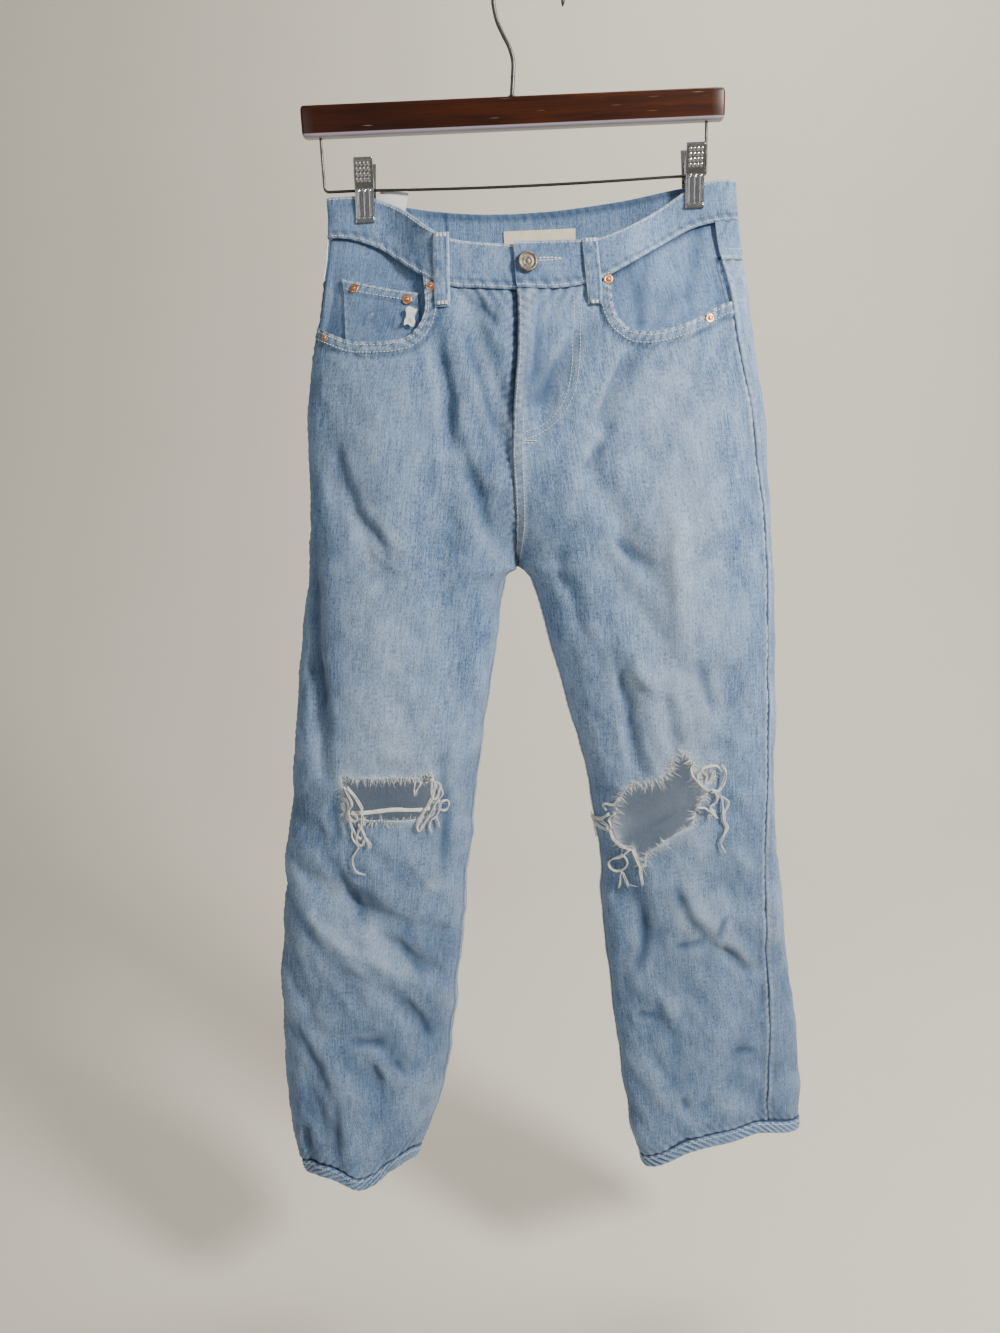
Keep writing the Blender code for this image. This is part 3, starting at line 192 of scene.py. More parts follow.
# The largest folds of the front (True) and the back: x, z at both ends of a line, half width and
# depth, a soft trough below 0 or else a ridge.
FOLDS = {True: rows_of("""
-62 -256 -38 -335 9 -6; -38 -335 -32 -400 7 -4; -92 -285 -83 -345 8 -4; -83 -345 -85 -400 7 -4
-80 -365 -57 -418 8 -4; -57 -418 -50 -480 9 -3; -187 -395 -162 -445 11 -3; -162 -445 -150 -490 9 -3
-88 -425 -96 -530 16 -5; -140 -330 -135 -470 22 3; -209 -450 -217 -570 9 -8; -217 -570 -215 -665 9 -8
-82 -560 -100 -640 10 -4; -155 -520 -165 -640 26 4; 45 -268 14 -322 9 -5; 14 -322 -4 -372 8 -4
77 -302 50 -368 7 -5; 50 -368 38 -405 7 -4; 150 -310 112 -358 9 -4; 112 -358 86 -392 9 -3
42 -408 86 -492 11 -5; 50 -482 100 -562 12 -5; 8 -478 28 -545 7 -4; 119 -455 116 -565 11 4
60 -560 96 -602 9 4; 66 -572 76 -690 9 -4; 100 -600 108 -655 8 -4; 162 -590 152 -685 12 -4
-240 -770 -200 -800 11 -6; -200 -800 -168 -850 11 -7; -168 -850 -120 -893 10 -7; -262 -800 -215 -858 14 5
-215 -858 -150 -888 13 4; -225 -795 -112 -845 9 -4; -275 -870 -240 -942 11 -4; -240 -942 -190 -952 9 -3
-172 -900 -137 -962 9 -4; -255 -985 -247 -1065 11 -5; -200 -968 -186 -1012 7 -3; -268 -1050 -262 -1095 7 -5
-222 -1040 -218 -1100 9 4; -190 -1055 -187 -1100 6 -4; 66 -790 78 -860 13 -4; 100 -790 152 -850 14 4
150 -868 200 -906 10 -5; 62 -880 60 -955 9 -3; 124 -878 162 -866 8 2; 118 -1040 128 -1066 8 -3
100 -920 112 -955 8 3; 150 -940 168 -1030 18 3
"""), False: rows_of("""
-40 -300 -70 -400 14 -3; -30 -440 -110 -492 12 -5; -45 -480 -130 -525 12 -4; -190 -380 -160 -470 16 -3
-90 -560 -120 -650 14 -4; -210 -560 -205 -660 14 -4; -225 -735 -130 -760 11 -5; -130 -770 -240 -800 11 -5
-255 -850 -160 -880 13 -4; -130 -930 -240 -965 12 -4; -235 -1010 -228 -1090 12 -4; 10 -310 40 -400 14 -3
-20 -445 70 -497 12 -5; 10 -500 100 -540 12 -4; 160 -390 140 -480 16 -3; 60 -570 90 -660 14 -4
175 -560 172 -650 14 -4; 190 -735 80 -765 11 -5; 70 -790 180 -815 11 -5; 205 -870 110 -890 13 -4
100 -950 200 -975 12 -4; 160 -1020 165 -1090 12 -3
""")}

# Openings of the front pockets and outlines of the rips, as (x, z) seen from the front.
SCOOP_LEFT = pairs("""
-97 -232  -96 -262  -102 -276  -115 -286  -140 -288  -162 -286  -192 -273  -215 -262  -215 -190  -97 -190
""")
SCOOP_RIGHT = pairs("""
59 -232  60 -262  65 -278  76 -287  92 -290  112 -287  131 -281  154 -270  175 -262  175 -190  59 -190
""")
RIP_LEFT = pairs("""
-196 -668  -186 -671  -156 -672  -128 -674  -116 -671  -114 -690  -116 -712  -128 -715  -160 -715  -186 -713
-197 -711  -198 -690
""")
RIP_RIGHT = pairs("""
116 -661  125 -670  131 -690  139 -704  130 -718  126 -735  113 -741  95 -755  84 -763  81 -778  76 -767
73 -758  59 -755  54 -740  60 -708  65 -698  77 -691  96 -687  106 -676
""")
RIP_SMALL = (140, -685, 7.5)      # round hole beside the right rip: x, z, radius

# Height of each leg's lower edge against the share of a panel, from the inseam to the side seam.
HEMS = columns("share front_left back_left front_right back_right", """
0 -1112 -1112 -1130 -1130
0.1 -1104 -1108 -1126 -1129
0.2 -1096 -1104 -1120 -1125
0.3 -1098 -1103 -1112 -1121
0.4 -1107 -1104 -1104 -1118
0.5 -1111 -1107 -1100 -1116
0.6 -1104 -1110 -1098 -1115
0.7 -1098 -1113 -1097 -1114
0.8 -1100 -1115 -1095 -1112
0.9 -1105 -1115 -1093 -1106
1 -1113 -1113 -1097 -1097
""")
# Finer creases of each half's front (True) and back: depth (below 0 a trough), half width, line.
CREASES = {
    (-1, True): lines_of(2, """
-2 4 -218 -763 -203 -788 -186 -834; 1.6 4.5 -254 -798 -214 -844 -160 -877 -130 -894
-1.8 3.5 -166 -839 -138 -881 -128 -891; -1.6 3.5 -158 -903 -141 -934 -130 -969
-1.8 4 -271 -928 -248 -977 -233 -1018; -1.4 3.2 -216 -949 -177 -954
-1.4 3 -193 -972 -183 -999; -1.2 2.8 -170 -973 -159 -995
-2.6 3 -268 -1044 -266 -1078; -1.6 3.6 -230 -1005 -236 -1082
1.1 3.2 -128 -781 -116 -799; -2.2 4.5 -90 -278 -85 -307 -81 -335 -82 -387
-2.4 4 -72 -265 -62 -293 -53 -322 -39 -373 -32 -396; -1.5 3.5 -58 -256 -35 -281
-1.8 4.5 -190 -346 -167 -426 -143 -460 -144 -494; -1.8 3.8 -74 -384 -59 -418 -51 -457
-1.6 4 -209 -440 -213 -560 -208 -660; -1.4 4 -210 -690 -207 -740
-1.6 4.5 -106 -640 -104 -720 -112 -800
"""),
    (-1, False): lines_of(2, """
-1.8 4.5 -48 -330 -66 -398 -70 -440; -2 4.5 -34 -452 -80 -486 -128 -500
-1.6 4 -52 -492 -96 -522 -140 -530; -1.5 5 -200 -400 -176 -470
-1.6 4.5 -100 -590 -122 -668; -2 4 -228 -742 -180 -752 -136 -770
-1.8 4 -136 -778 -188 -790 -238 -806; -1.6 4 -250 -858 -200 -872 -166 -890
-1.6 4 -138 -936 -190 -950 -236 -972; -1.5 4 -232 -1016 -226 -1084
1.2 4 -190 -1004 -180 -1060
"""),
    (1, True): lines_of(2, """
-1.8 4.5 107 -787 125 -834 144 -860; -1.8 4 156 -865 175 -889 195 -911
-1.4 3.5 108 -868 144 -862; -1.4 3.5 152 -862 163 -834
-1.6 4 79 -815 83 -859 73 -905; -1.2 3 73 -941 94 -944
1.4 3.5 94 -926 106 -922 115 -933 116 -948; -1.4 3 174 -991 200 -997
-1.2 3.2 119 -1039 126 -1056; -2 4 39 -280 21 -304 7 -325 -2 -353
-2.6 3.2 72 -306 56 -341 43 -369; -1.8 3.2 49 -375 41 -392 31 -406
-1.8 4 58 -454 78 -488; -1.8 4 56 -459 94 -494
1.4 5 65 -573 94 -601; -1.6 4 49 -540 67 -611 75 -685
1.5 6 112 -429 110 -482 112 -545; -1.4 4.5 130 -570 147 -629
"""),
    (1, False): lines_of(2, """
-1.8 4.5 20 -336 38 -400 34 -446; -2 4.5 -12 -458 36 -484 84 -502
-1.6 4 22 -512 66 -530 108 -546; -1.5 5 156 -404 140 -470
-1.6 4.5 70 -600 88 -676; -2 4 184 -742 130 -752 84 -772
-1.8 4 80 -796 128 -806 180 -822; -1.6 4 200 -878 154 -886 116 -898
-1.6 4 106 -956 150 -964 196 -984; -1.5 4 164 -1024 168 -1086
1.2 4 204 -1010 212 -1060
"""),
}

# The wash of the front (True) and the back, partly the denim's own fading and partly painted light and
# shade: middle (x, z), reach (x, z) and how much paler (above 0) or darker.
FADES_AND_PAINTED_LIGHT = {True: rows_of("""
-150 -540 46 160 0.26; 116 -520 42 160 0.3; -160 -650 56 46 0.18; 112 -650 52 50 0.2
-190 -850 46 70 0.16; 128 -830 44 70 0.2; -30 -455 46 50 -0.22; -92 -470 24 90 -0.14
170 -560 22 200 -0.1; -212 -560 18 150 -0.26; 110 -350 50 40 0.12; -140 -360 46 40 0.1
"""), False: rows_of("""
-118 -560 62 150 0.2; 96 -560 60 150 0.2; -118 -390 62 60 0.16; 80 -390 62 60 0.16
-180 -780 60 60 0.12; 136 -790 56 60 0.12
""")}

# Folds in the cloth behind the front pockets: depth, half width, line.
FACING_FOLDS = {-1: lines_of(2, """
-1 4 -98 -215 -97 -250 -100 -275
"""), 1: lines_of(2, """
-1.6 6 140 -206 132 -234 125 -262; 0.8 5 95 -216 90 -250 88 -280
-0.9 4 74 -226 79 -254 84 -284; -0.8 3.5 112 -262 104 -276 98 -286
""")}
COIN_FOLDS = lines_of(2, """
-1.5 3.2 -162 -286 -152 -268 -136 -259 -115 -258; -1 2.6 -150 -263 -140 -275 -133 -287
-1 2.6 -137 -261 -128 -273 -121 -284
""")

FACING_DEEP = -7.2      # inner face of the pocket facings, well below the waist
FACING_HIGH = -3.2      # and where they are sewn into the waistband
FACING_THICK = 1.2
FACING_FOOT = -303.0
FACING_BEND = -212.0, 34.0      # height where a facing begins to sink, and over what drop
FLY_SHIELD_LIFT = -4.2
LOOP_LIFT = 2.1         # underside of the belt loops, clear of the waistband's seam
BELT_LOOPS = [
    # name, half, on the front, x, top height, foot height, lean of the foot, width
    ("loop_front_left", -1, True, -79.5, -203, -262, -2, 12.5),
    ("loop_front_right", 1, True, 42.5, -213, -265, 3.5, 12.5),
    ("loop_back_left", -1, False, -108, -177, -238, 0, 13),
    ("loop_back_right", 1, False, 88, -177, -238, 0, 13),
    ("loop_back_middle", 1, False, -19, -185, -246, 0, 13),
]
RIVETS = [
    # name, half, x, height, whether it stands on the coin pocket
    ("rivet_coin_left", -1, -158, -241, True),
    ("rivet_coin_right", -1, -112, -254, True),
    ("rivet_left_inner", -1, -91, -246, False),
    ("rivet_left_outer", -1, -184, -282, False),
    ("rivet_right_inner", 1, 57, -247, False),
    ("rivet_right_outer", 1, 143, -281, False),
]

# Loose threads: node, half, then for each its copies, radius, height over the cloth and line.
RIP_THREADS = [
    ("rip_left_outer_threads", -1, lines_of(3, """
3 0.55 2.2 -192.5 -679 -186.3 -687.7 -182.7 -695.5 -180.9 -705.3 -181.8 -716.1 -186.3 -723 -187.2 -728.9 \
-183.6 -730.8
2 0.42 3 -195.2 -677.9 -191.6 -687.7 -189 -696.5 -193.4 -703.3 -192.5 -709.2 -188.1 -713.1 -185.4 -709.2 -189 \
-705.3 -192.5 -705.3
2 0.42 2.4 -192.5 -711.2 -191.6 -721 -192.5 -726.9 -189.9 -733.8 -183.6 -737.7 -180.9 -731.8 -177.4 -740.6
2 0.34 1.6 -187.6 -739.6 -190.8 -745.5 -193.9 -752.4 -194.3 -760.2 -190.8 -766.1 -183.6 -769
3 0.4 1.8 -185.4 -716 -182 -724 -180 -730.8 -176.5 -736.7 -177.4 -741.6
2 0.45 1.4 -195.5 -690 -193 -700 -194.5 -712 -190 -724 -188 -739.6
""")),
    ("rip_left_inner_threads", -1, lines_of(3, """
2 0.45 3 -114 -671 -115.8 -679.8 -116.6 -687.7 -114 -695.5 -109.5 -687.7 -107.7 -681.8 -111.3 -677.9
3 0.5 2 -112.2 -679.8 -116.6 -693.6 -122 -703.4 -129.1 -713.2 -131.8 -721 -130 -726 -126.4 -721
2 0.45 2.6 -108.6 -683.8 -106.8 -691.6 -113.1 -700.4 -119.3 -711.2 -124.7 -721 -128.3 -725.9
2 0.42 2.2 -111.3 -696.5 -109.5 -705.3 -114 -714.1 -118.4 -718 -120.2 -724.9 -118.4 -730.8
2 0.36 1.6 -114 -715.1 -112.2 -721 -111.3 -725.9
2 0.42 2.8 -109.5 -699.5 -104.1 -698.5 -102.4 -703.4 -105.9 -708.3 -110.4 -706.3
2 0.34 0.6 -124.7 -677.9 -129.1 -684.8 -131.8 -691.6
2 0.34 0.8 -130 -675.9 -131.8 -683.8 -131.8 -690.6
""")),
    ("rip_right_inner_threads", 1, lines_of(3, """
3 0.5 2.2 60.8 -705.8 55.9 -713.3 47.3 -714.5 49.7 -720.8
3 0.46 2.6 52.2 -723.3 46.1 -730.7 39.9 -735.7 46.1 -740.7 52.2 -738.2 46.1 -733.2
2 0.38 1.8 46 -733 38.7 -738.2 38.7 -745.7 30.1 -754.4 17.8 -759.4
3 0.4 1.6 52.2 -740.7 55.9 -750.7 63.2 -756.9 70.6 -759.4
2 0.44 2 57 -722 52 -730 54 -738 50 -744
""")),
    ("rip_right_lower_threads", 1, lines_of(3, """
3 0.48 2.6 69.4 -758.1 62 -766.9 54.7 -771.8 52.2 -780.6 58.3 -784.3 65.7 -778.1 66.9 -769.3 62 -764.4
2 0.38 1.8 62 -784.3 60.8 -793 59.6 -803
2 0.36 1.6 63.2 -785.5 66.9 -794.2 68.1 -800.5
1 0.3 1.4 68.1 -799.3 76.7 -799.3
4 0.3 1.2 71.8 -758.1 75.5 -768.1 79.2 -778.1 80.4 -788 81.6 -795.5
""")),
    ("rip_right_outer_threads", 1, lines_of(3, """
3 0.58 2.4 127 -669.7 124.6 -678.4 129.5 -688.4 136.9 -695.9 141.8 -699.6
3 0.46 2.8 154 -674.7 157.7 -683.4 156.5 -690.9 151.6 -698.4 143 -701
2 0.42 3.2 133 -692 131 -684 134 -677 141 -674 149 -675.5 154 -681
2 0.38 1.2 136 -680 140 -686 138 -692 143 -690 145 -683
3 0.46 2 144.2 -698.4 149.1 -702.1 149.1 -710.8 143 -715.8 146.7 -720.8 141.8 -724.5 144.2 -728.2
3 0.48 2.4 130.7 -715.8 136.9 -715.8 144.2 -720.8 150.4 -727
2 0.44 1.8 151.6 -704.6 157.7 -709.6 160.2 -714.5 156.5 -723.3 156.5 -730.7 160.2 -738.2 155.3 -748.2 154 \
-754.4 159 -765.6
2 0.42 2.2 154 -705.8 155.3 -715.8 156.5 -728.2 159 -735.7 156.5 -745.7 155.3 -753.2
""")),
]

# Cut sizes of the cloth in metres: width, length, area, and what it hangs from.
CUTS = {name: (float(wide), float(long), float(area), rests) for name, wide, long, area, *rests in map(str.split, """\
front_left 0.245 0.91 0.177 waistband
front_right 0.235 0.91 0.166 waistband
back_left 0.265 0.86 0.203 yoke_left
back_right 0.31 0.86 0.232 yoke_right
yoke_left 0.2 0.075 0.01 waistband
yoke_right 0.22 0.075 0.012 waistband
waistband 0.76 0.038 0.0285 clip_left_front clip_right_front
hem_left 0.44 0.016 0.0068 front_left
hem_right 0.44 0.016 0.0068 front_right
facing_left 0.115 0.1 0.0095 waistband
facing_right 0.12 0.1 0.0105 waistband
coin_pocket 0.068 0.07 0.0042 facing_left
pocket_bag 0.01 0.015 0.00013 front_left
back_pocket_left 0.142 0.158 0.02 back_left
back_pocket_right 0.142 0.158 0.02 back_right
fly_shield 0.032 0.1 0.003 waistband
loop 0.014 0.062 0.0008 waistband
waist_label 0.064 0.018 0.0011 waistband
care_label 0.026 0.021 0.0005 waistband""".splitlines())}

# ---- The surface of the cloth --------------------------------------------------

def eased(share):
    """0 to 1 with flat ends."""
    share = bound(share)
    return share * share * (3 - 2 * share)


def bound(share):
    """Kept from 0 to 1."""
    return np.clip(share, 0, 1)


def facing_lift(z):
    """How deep behind the cloth's face the inner side of a facing lies."""
    return FACING_HIGH + (FACING_DEEP - FACING_HIGH) * eased((FACING_BEND[0] - z) / FACING_BEND[1])


def curve(at, known, values):
    """A smooth curve through known places, which run upwards."""
    slope = np.gradient(values, known)
    k = np.clip(np.searchsorted(known, at) - 1, 0, len(known) - 2)
    step = known[k + 1] - known[k]
    t = np.clip((at - known[k]) / step, 0, 1)
    return (values[k] * (2 * t**3 - 3 * t**2 + 1) + values[k + 1] * (3 * t**2 - 2 * t**3)
            + step * (slope[k] * (t**3 - 2 * t**2 + t) + slope[k + 1] * (t**3 - t**2)))


def smooth(table, name, z):
    """A smooth curve through a table's rows, which run downwards."""
    return curve(-z, -table["z"], table[name])


def remembered(maker):
    """Keeps a function's last results, as neighbouring steps ask for the same heights."""
    recent = {}

    def again(half, z):
        key = half, z.tobytes()
        if key not in recent:
            if len(recent) > 5:
                recent.pop(next(iter(recent)))
            recent[key] = maker(half, z)
        return recent[key]
    return again


@remembered
def sizes(half, z):
    """The sizes of one half's section at each height."""
    leg = LEG_LEFT if half < 0 else LEG_RIGHT
    side_name = "left" if half < 0 else "right"
    far_name = "right" if half < 0 else "left"
    above = z > CROTCH
    middle = smooth(SEAT, "middle", z)
    outer = np.where(above, smooth(SEAT, side_name, z), smooth(leg, "outer", z))
    # above the crotch the leg's outline goes on past the centre seam and is cut there
    rise = eased((z - CROTCH) / 160.0) ** 1.3
    past = middle + (smooth(SEAT, far_name, z) - middle) * rise
    drop = np.clip((CROTCH - z) / ARCH_HEIGHT, 0, 1)
    arch = np.sqrt(1 - (1 - drop) ** 2)
    inner = np.where(above, past, middle + (smooth(leg, "inner", z) - middle) * arch)
    found = {"middle": middle, "outer": outer, "inner": inner}
    for name in ("front", "side", "back", "power"):
        found[name] = np.where(above, smooth(SEAT, name, z), smooth(leg, name, z))
    found["turn"] = np.where(above, 0, smooth(leg, "turn", z))
    found["seam_out"] = np.where(above, smooth(SEAT_SEAM, side_name, z), smooth(leg, "seam_out", z))
    found["seam_in"] = np.where(above, 0, smooth(leg, "seam_in", z))
    return found


@remembered
def section(half, z):
    """Points round one half's section, from its inner edge at the front, by the side, to the back."""
    d = {name: value[:, None] for name, value in sizes(half, z).items()}
    centre = (d["outer"] + d["inner"]) / 2
    wide = np.abs(d["outer"] - d["inner"]) / 2
    reach = np.clip(half * (centre - d["middle"]) / wide, -1, 1)
    reach = np.where(z[:, None] > CROTCH, reach, 1.0)
    last = np.arccos(-np.sign(reach) * np.abs(reach) ** (d["power"] / 2))
    angle = last * np.linspace(1, -1, SAMPLES)[None, :]
    along = np.sign(np.cos(angle)) * np.abs(np.cos(angle)) ** (2 / d["power"])
    across = np.abs(np.sin(angle)) ** (2 / d["power"])
    x = half * wide * along
    y = np.where(angle > 0, (d["front"] - d["side"]) * across, (d["back"] - d["side"]) * across)
    turn = np.radians(d["turn"])
    points = np.stack([centre + x * np.cos(turn) - y * np.sin(turn),
                       d["side"] + x * np.sin(turn) + y * np.cos(turn)], axis=-1)
    steps = np.linalg.norm(np.diff(points, axis=1), axis=-1)
    length = np.concatenate([np.zeros((len(z), 1)), np.cumsum(steps, axis=1)], axis=1)
    return points, length


MARKS = {}


def marks(half, z):
    """Along the section: the inseam, the side seam, the outermost point and the whole length."""
    if half not in MARKS:
        levels = np.unique(np.concatenate([np.arange(-1180.0, -130.0), CROTCH - np.geomspace(0.001, 30, 120),
                                           [CROTCH, CROTCH + 1e-6]]))
        length, found = section(half, levels)[1], sizes(half, levels)
        side = length[:, SAMPLES // 2]
        MARKS[half] = levels, (found["seam_in"], side - found["seam_out"], side, length[:, -1])
    levels, values = MARKS[half]
    return tuple(np.interp(z, levels, value) for value in values)


def folds(x, z, front):
    """How far the folds move the cloth out, at places on the front or the back."""
    total = np.zeros_like(x)
    for x0, z0, x1, z1, half, depth in FOLDS[front]:
        near = np.flatnonzero((x > min(x0, x1) - 3.3 * half) & (x < max(x0, x1) + 3.3 * half)
                              & (z > min(z0, z1) - 3.3 * half) & (z < max(z0, z1) + 3.3 * half))
        here_x, here_z, dx, dz = x[near] - x0, z[near] - z0, x1 - x0, z1 - z0
        t = np.clip((here_x * dx + here_z * dz) / (dx * dx + dz * dz), 0, 1)
        away = np.hypot(here_x - t * dx, here_z - t * dz)
        tall = depth * (0.7 + 0.3 * np.sin(math.pi * t))
        total[near] += tall * bump(away, 0, half)
    return total


def fly_lap(half, x, z, middle):
    """The right front laps over the left: its edge stands proud along the fly."""
    along = eased((z + 372) / 30) * eased((-198 - z) / 12)
    near = bump(x, middle, 13.0)
    return np.where(half > 0, 2.6, -0.6) * along * near


@remembered
def centre_depths(half, z):
    """Depths of one half's section where the centre seam cuts it, at the front and the back."""
    d = sizes(half, z)
    wide = np.abs(d["outer"] - d["inner"]) / 2
    reach = np.clip(np.abs((d["outer"] + d["inner"]) / 2 - d["middle"]) / wide, 0, 1)
    share = (1 - reach ** d["power"]) ** (1 / d["power"])
    return d["side"] + (d["front"] - d["side"]) * share, d["side"] + (d["back"] - d["side"]) * share


def base_skin(half, s, z):
    """The cloth's outer face at distance s round the section, at height z."""
    points, length = section(half, z)
    whole = length[:, -1]
    s = np.where(z > CROTCH, np.clip(s, 0, whole), np.mod(s, whole + 1e-9))
    k = np.clip((length < s[:, None]).sum(axis=1) - 1, 0, SAMPLES - 2)
    row = np.arange(len(z))
    t = (s - length[row, k]) / np.maximum(length[row, k + 1] - length[row, k], 1e-9)
    place = points[row, k] * (1 - t[:, None]) + points[row, k + 1] * t[:, None]
    x, y = place[:, 0], place[:, 1]
    middle = smooth(SEAT, "middle", z)
    found = sizes(half, z)
    side, outer = found["side"], found["outer"]
    front = y < side
    # both halves meet at the same depth on the centre seam
    mine, other = centre_depths(half, z), centre_depths(-half, z)
    near = bump(x, middle, CENTRE_BLEND) * (z > CROTCH)
    y = y + near * np.where(front, other[0] - mine[0], other[1] - mine[1]) / 2
    weight = eased(np.abs(y - side) / FOLD_FADE)
    move = np.zeros_like(x)
    for face in (True, False):
        move[front == face] = folds(x[front == face], z[front == face], face)
    move = weight * move
    move = move * eased((FOLDS_TOP - z) / FOLDS_FADE_IN)
    move = move + fly_lap(half, x, z, middle) * front * weight
    y = y + np.where(front, -move, move)
    # the clips close the waist near its sides
    shut = eased((np.abs(x - WAIST_CENTRE) - PINCH_INNER) / PINCH_SPREAD)
    shut = shut * eased((z - PINCH_FOOT) / PINCH_RISE)
    share = np.clip((x - WAIST_CENTRE) / (outer - WAIST_CENTRE), 0, 1)
    flat = PINCH_HALF * (1 - share ** PINCH_POWER) ** 0.5
    y = y * (1 - shut) + np.where(front, -flat, flat) * shut
    return np.stack([x, y, z], axis=1)


def unit(ways):
    """Directions of length 1."""
    return ways / np.maximum(np.linalg.norm(ways, axis=1), 1e-9)[:, None]


def laid_out(s, z):
    """The common shape of two arrays, and both laid out in one row."""
    shape = np.broadcast(s, z).shape
    return shape, *(np.broadcast_to(v, shape).ravel().astype(float) for v in (s, z))


def face_at(half, s, z):
    """The cloth's outer face and the direction out of it."""
    round_it = base_skin(half, s + 1.0, z) - base_skin(half, s - 1.0, z)
    up_it = base_skin(half, s, z + 1.0) - base_skin(half, s, z - 1.0)
    return base_skin(half, s, z), unit(np.cross(round_it, up_it) * half)


def skin(half, s, z, lift=0.0):
    """The cloth's outer face moved out by lift along its own normal."""
    shape, s, z = laid_out(s, z)
    place, out = face_at(half, s, z)
    return (place + out * np.broadcast_to(lift, shape).ravel()[:, None]).reshape(shape + (3,))


def arc_at(half, front, x, z):
    """Distance round the section of the place on the front or back with this x."""
    shape, x, z = laid_out(x, z)
    points, length = section(half, z)
    centre = SAMPLES // 2
    if front:
        points, length = points[:, :centre + 1], length[:, :centre + 1]
    else:
        points, length = points[:, :centre - 1:-1], length[:, :centre - 1:-1]
    outwards = half * points[:, :, 0]
    row = np.arange(len(z))
    k = np.clip((outwards < (half * x)[:, None]).sum(axis=1) - 1, 0, centre - 1)
    step = outwards[row, k + 1] - outwards[row, k]
    t = np.clip((half * x - outwards[row, k]) / np.maximum(step, 1e-6), 0, 1)
    return (length[row, k] * (1 - t) + length[row, k + 1] * t).reshape(shape)


def on(half, front, x, z, lift=0.0):
    """A place on the cloth's front or back, given x and z, moved out by lift."""
    return skin(half, arc_at(half, front, x, z), z, lift)


def across_centre(front, x, z, lift):
    """Places across the centre seam, where one half's face passes into the other's."""
    middle = smooth(SEAT, "middle", z.ravel()).reshape(z.shape)
    share = eased((x - middle + 2.5) / 5.0)[..., None]
    return on(-1, front, x, z, lift) * (1 - share) + on(1, front, x, z, lift) * share


# ---- Seam lines -----------------------------------------------------------------

def waist_height(half, edge, s):
    """Height of the top, seam or yoke line at distance s round the waist from the front middle."""
    side, whole = (float(mark[0]) for mark in marks(half, np.array([WAIST_LEVEL]))[2:])
    back = curve((whole - s) / (whole - side), BACK_BAND["share"], BACK_BAND[edge])
    if edge == "yoke":
        return back
    name = ("left_" if half < 0 else "right_") + edge
    return np.where(s <= side, curve(s / side, FRONT_BAND["share"], FRONT_BAND[name]), back)


def panel_arc(half, front, u, z):
    """Distance round the section for share u of a panel: 0 at its inner edge, 1 at the side seam."""
    flat_z = np.ravel(z)
    seam_in, seam_out, _, whole = marks(half, flat_z)
    u = np.ravel(u)
    inner_edge = seam_in if front else whole + seam_in
    gap = SEAM / 2 * (1 if front else -1)
    first = inner_edge + gap
    last = seam_out - gap
    return (first + (last - first) * u).reshape(np.shape(z))


# ---- Curves, noise and ripples ----------------------------------------------

def lattice(i, j, seed):
    """A fixed random number from -1 to 1 at each whole place."""
    mixed = (i * 374761393 + j * 668265263 + seed * 1274126177) & 0xFFFFFFFF
    mixed = ((mixed ^ (mixed >> 13)) * 1103515245) & 0xFFFFFFFF
    mixed = (mixed ^ (mixed >> 16)) & 0xFFFF
    return mixed / 32767.5 - 1


def noise(x, y, seed):
    """Smooth noise from -1 to 1, with waves one unit long."""
    x, y = np.broadcast_arrays(np.asarray(x, float), np.asarray(y, float))
    i, j = np.floor(x).astype(np.int64), np.floor(y).astype(np.int64)
    u, v = eased(x - i), eased(y - j)
    low = lattice(i, j, seed) * (1 - u) + lattice(i + 1, j, seed) * u
    high = lattice(i, j + 1, seed) * (1 - u) + lattice(i + 1, j + 1, seed) * u
    return low * (1 - v) + high * v


def puckers(along, away, wave, reach, seed):
    """Ripples from -1 to 1 that lean away from a seam and die out with the distance."""
    away = np.maximum(away, 0)
    swing = 2.4 * noise(along / 31.0, 0.3, seed)
    ripple = np.sin(2 * math.pi * (along + 0.6 * away) / wave + swing)
    strength = 0.65 + 0.35 * noise(along / 19.0, 7.5, seed + 1)
    return ripple * strength * bump(away, 0, reach)


def bump(away, middle, half):
    """A soft ridge of height 1 at a distance from a seam."""
    return np.exp(-((away - middle) / half) ** 2)


def nearest(x, z, line):
    """Distance to a line, the distance along it, and its nearest point."""
    best = np.full(np.shape(x), 1e9)
    along = np.zeros(np.shape(x))
    to_x, to_z = np.zeros(np.shape(x)), np.zeros(np.shape(x))
    done = 0.0
    for (x0, z0), (x1, z1) in zip(line[:-1], line[1:]):
        dx, dz = x1 - x0, z1 - z0
        size = math.hypot(dx, dz)
        if size < 1e-6:
            continue
        t = np.clip(((x - x0) * dx + (z - z0) * dz) / size**2, 0, 1)
        near_x, near_z = x0 + t * dx, z0 + t * dz
        away = np.hypot(x - near_x, z - near_z)
        closer = away < best
        best = np.where(closer, away, best)
        along = np.where(closer, done + t * size, along)
        to_x, to_z = np.where(closer, near_x, to_x), np.where(closer, near_z, to_z)
        done += size
    return best, along, to_x, to_z


def tapered(along, line, share):
    """1 along a line, falling to 0 over a share of its length at both ends."""
    size = sum(math.dist(a, b) for a, b in zip(line[:-1], line[1:]))
    return eased(along / (share * size)) * eased((size - along) / (share * size))


def within(x, z, line):
    """Whether places lie inside a closed line."""
    inside = np.zeros(np.shape(x), bool)
    for (x0, z0), (x1, z1) in zip(line, np.roll(line, -1, axis=0)):
        if z0 == z1:
            continue
        crosses = (z0 > z) != (z1 > z)
        inside ^= crosses & (x < (x1 - x0) * (z - z0) / (z1 - z0) + x0)
    return inside


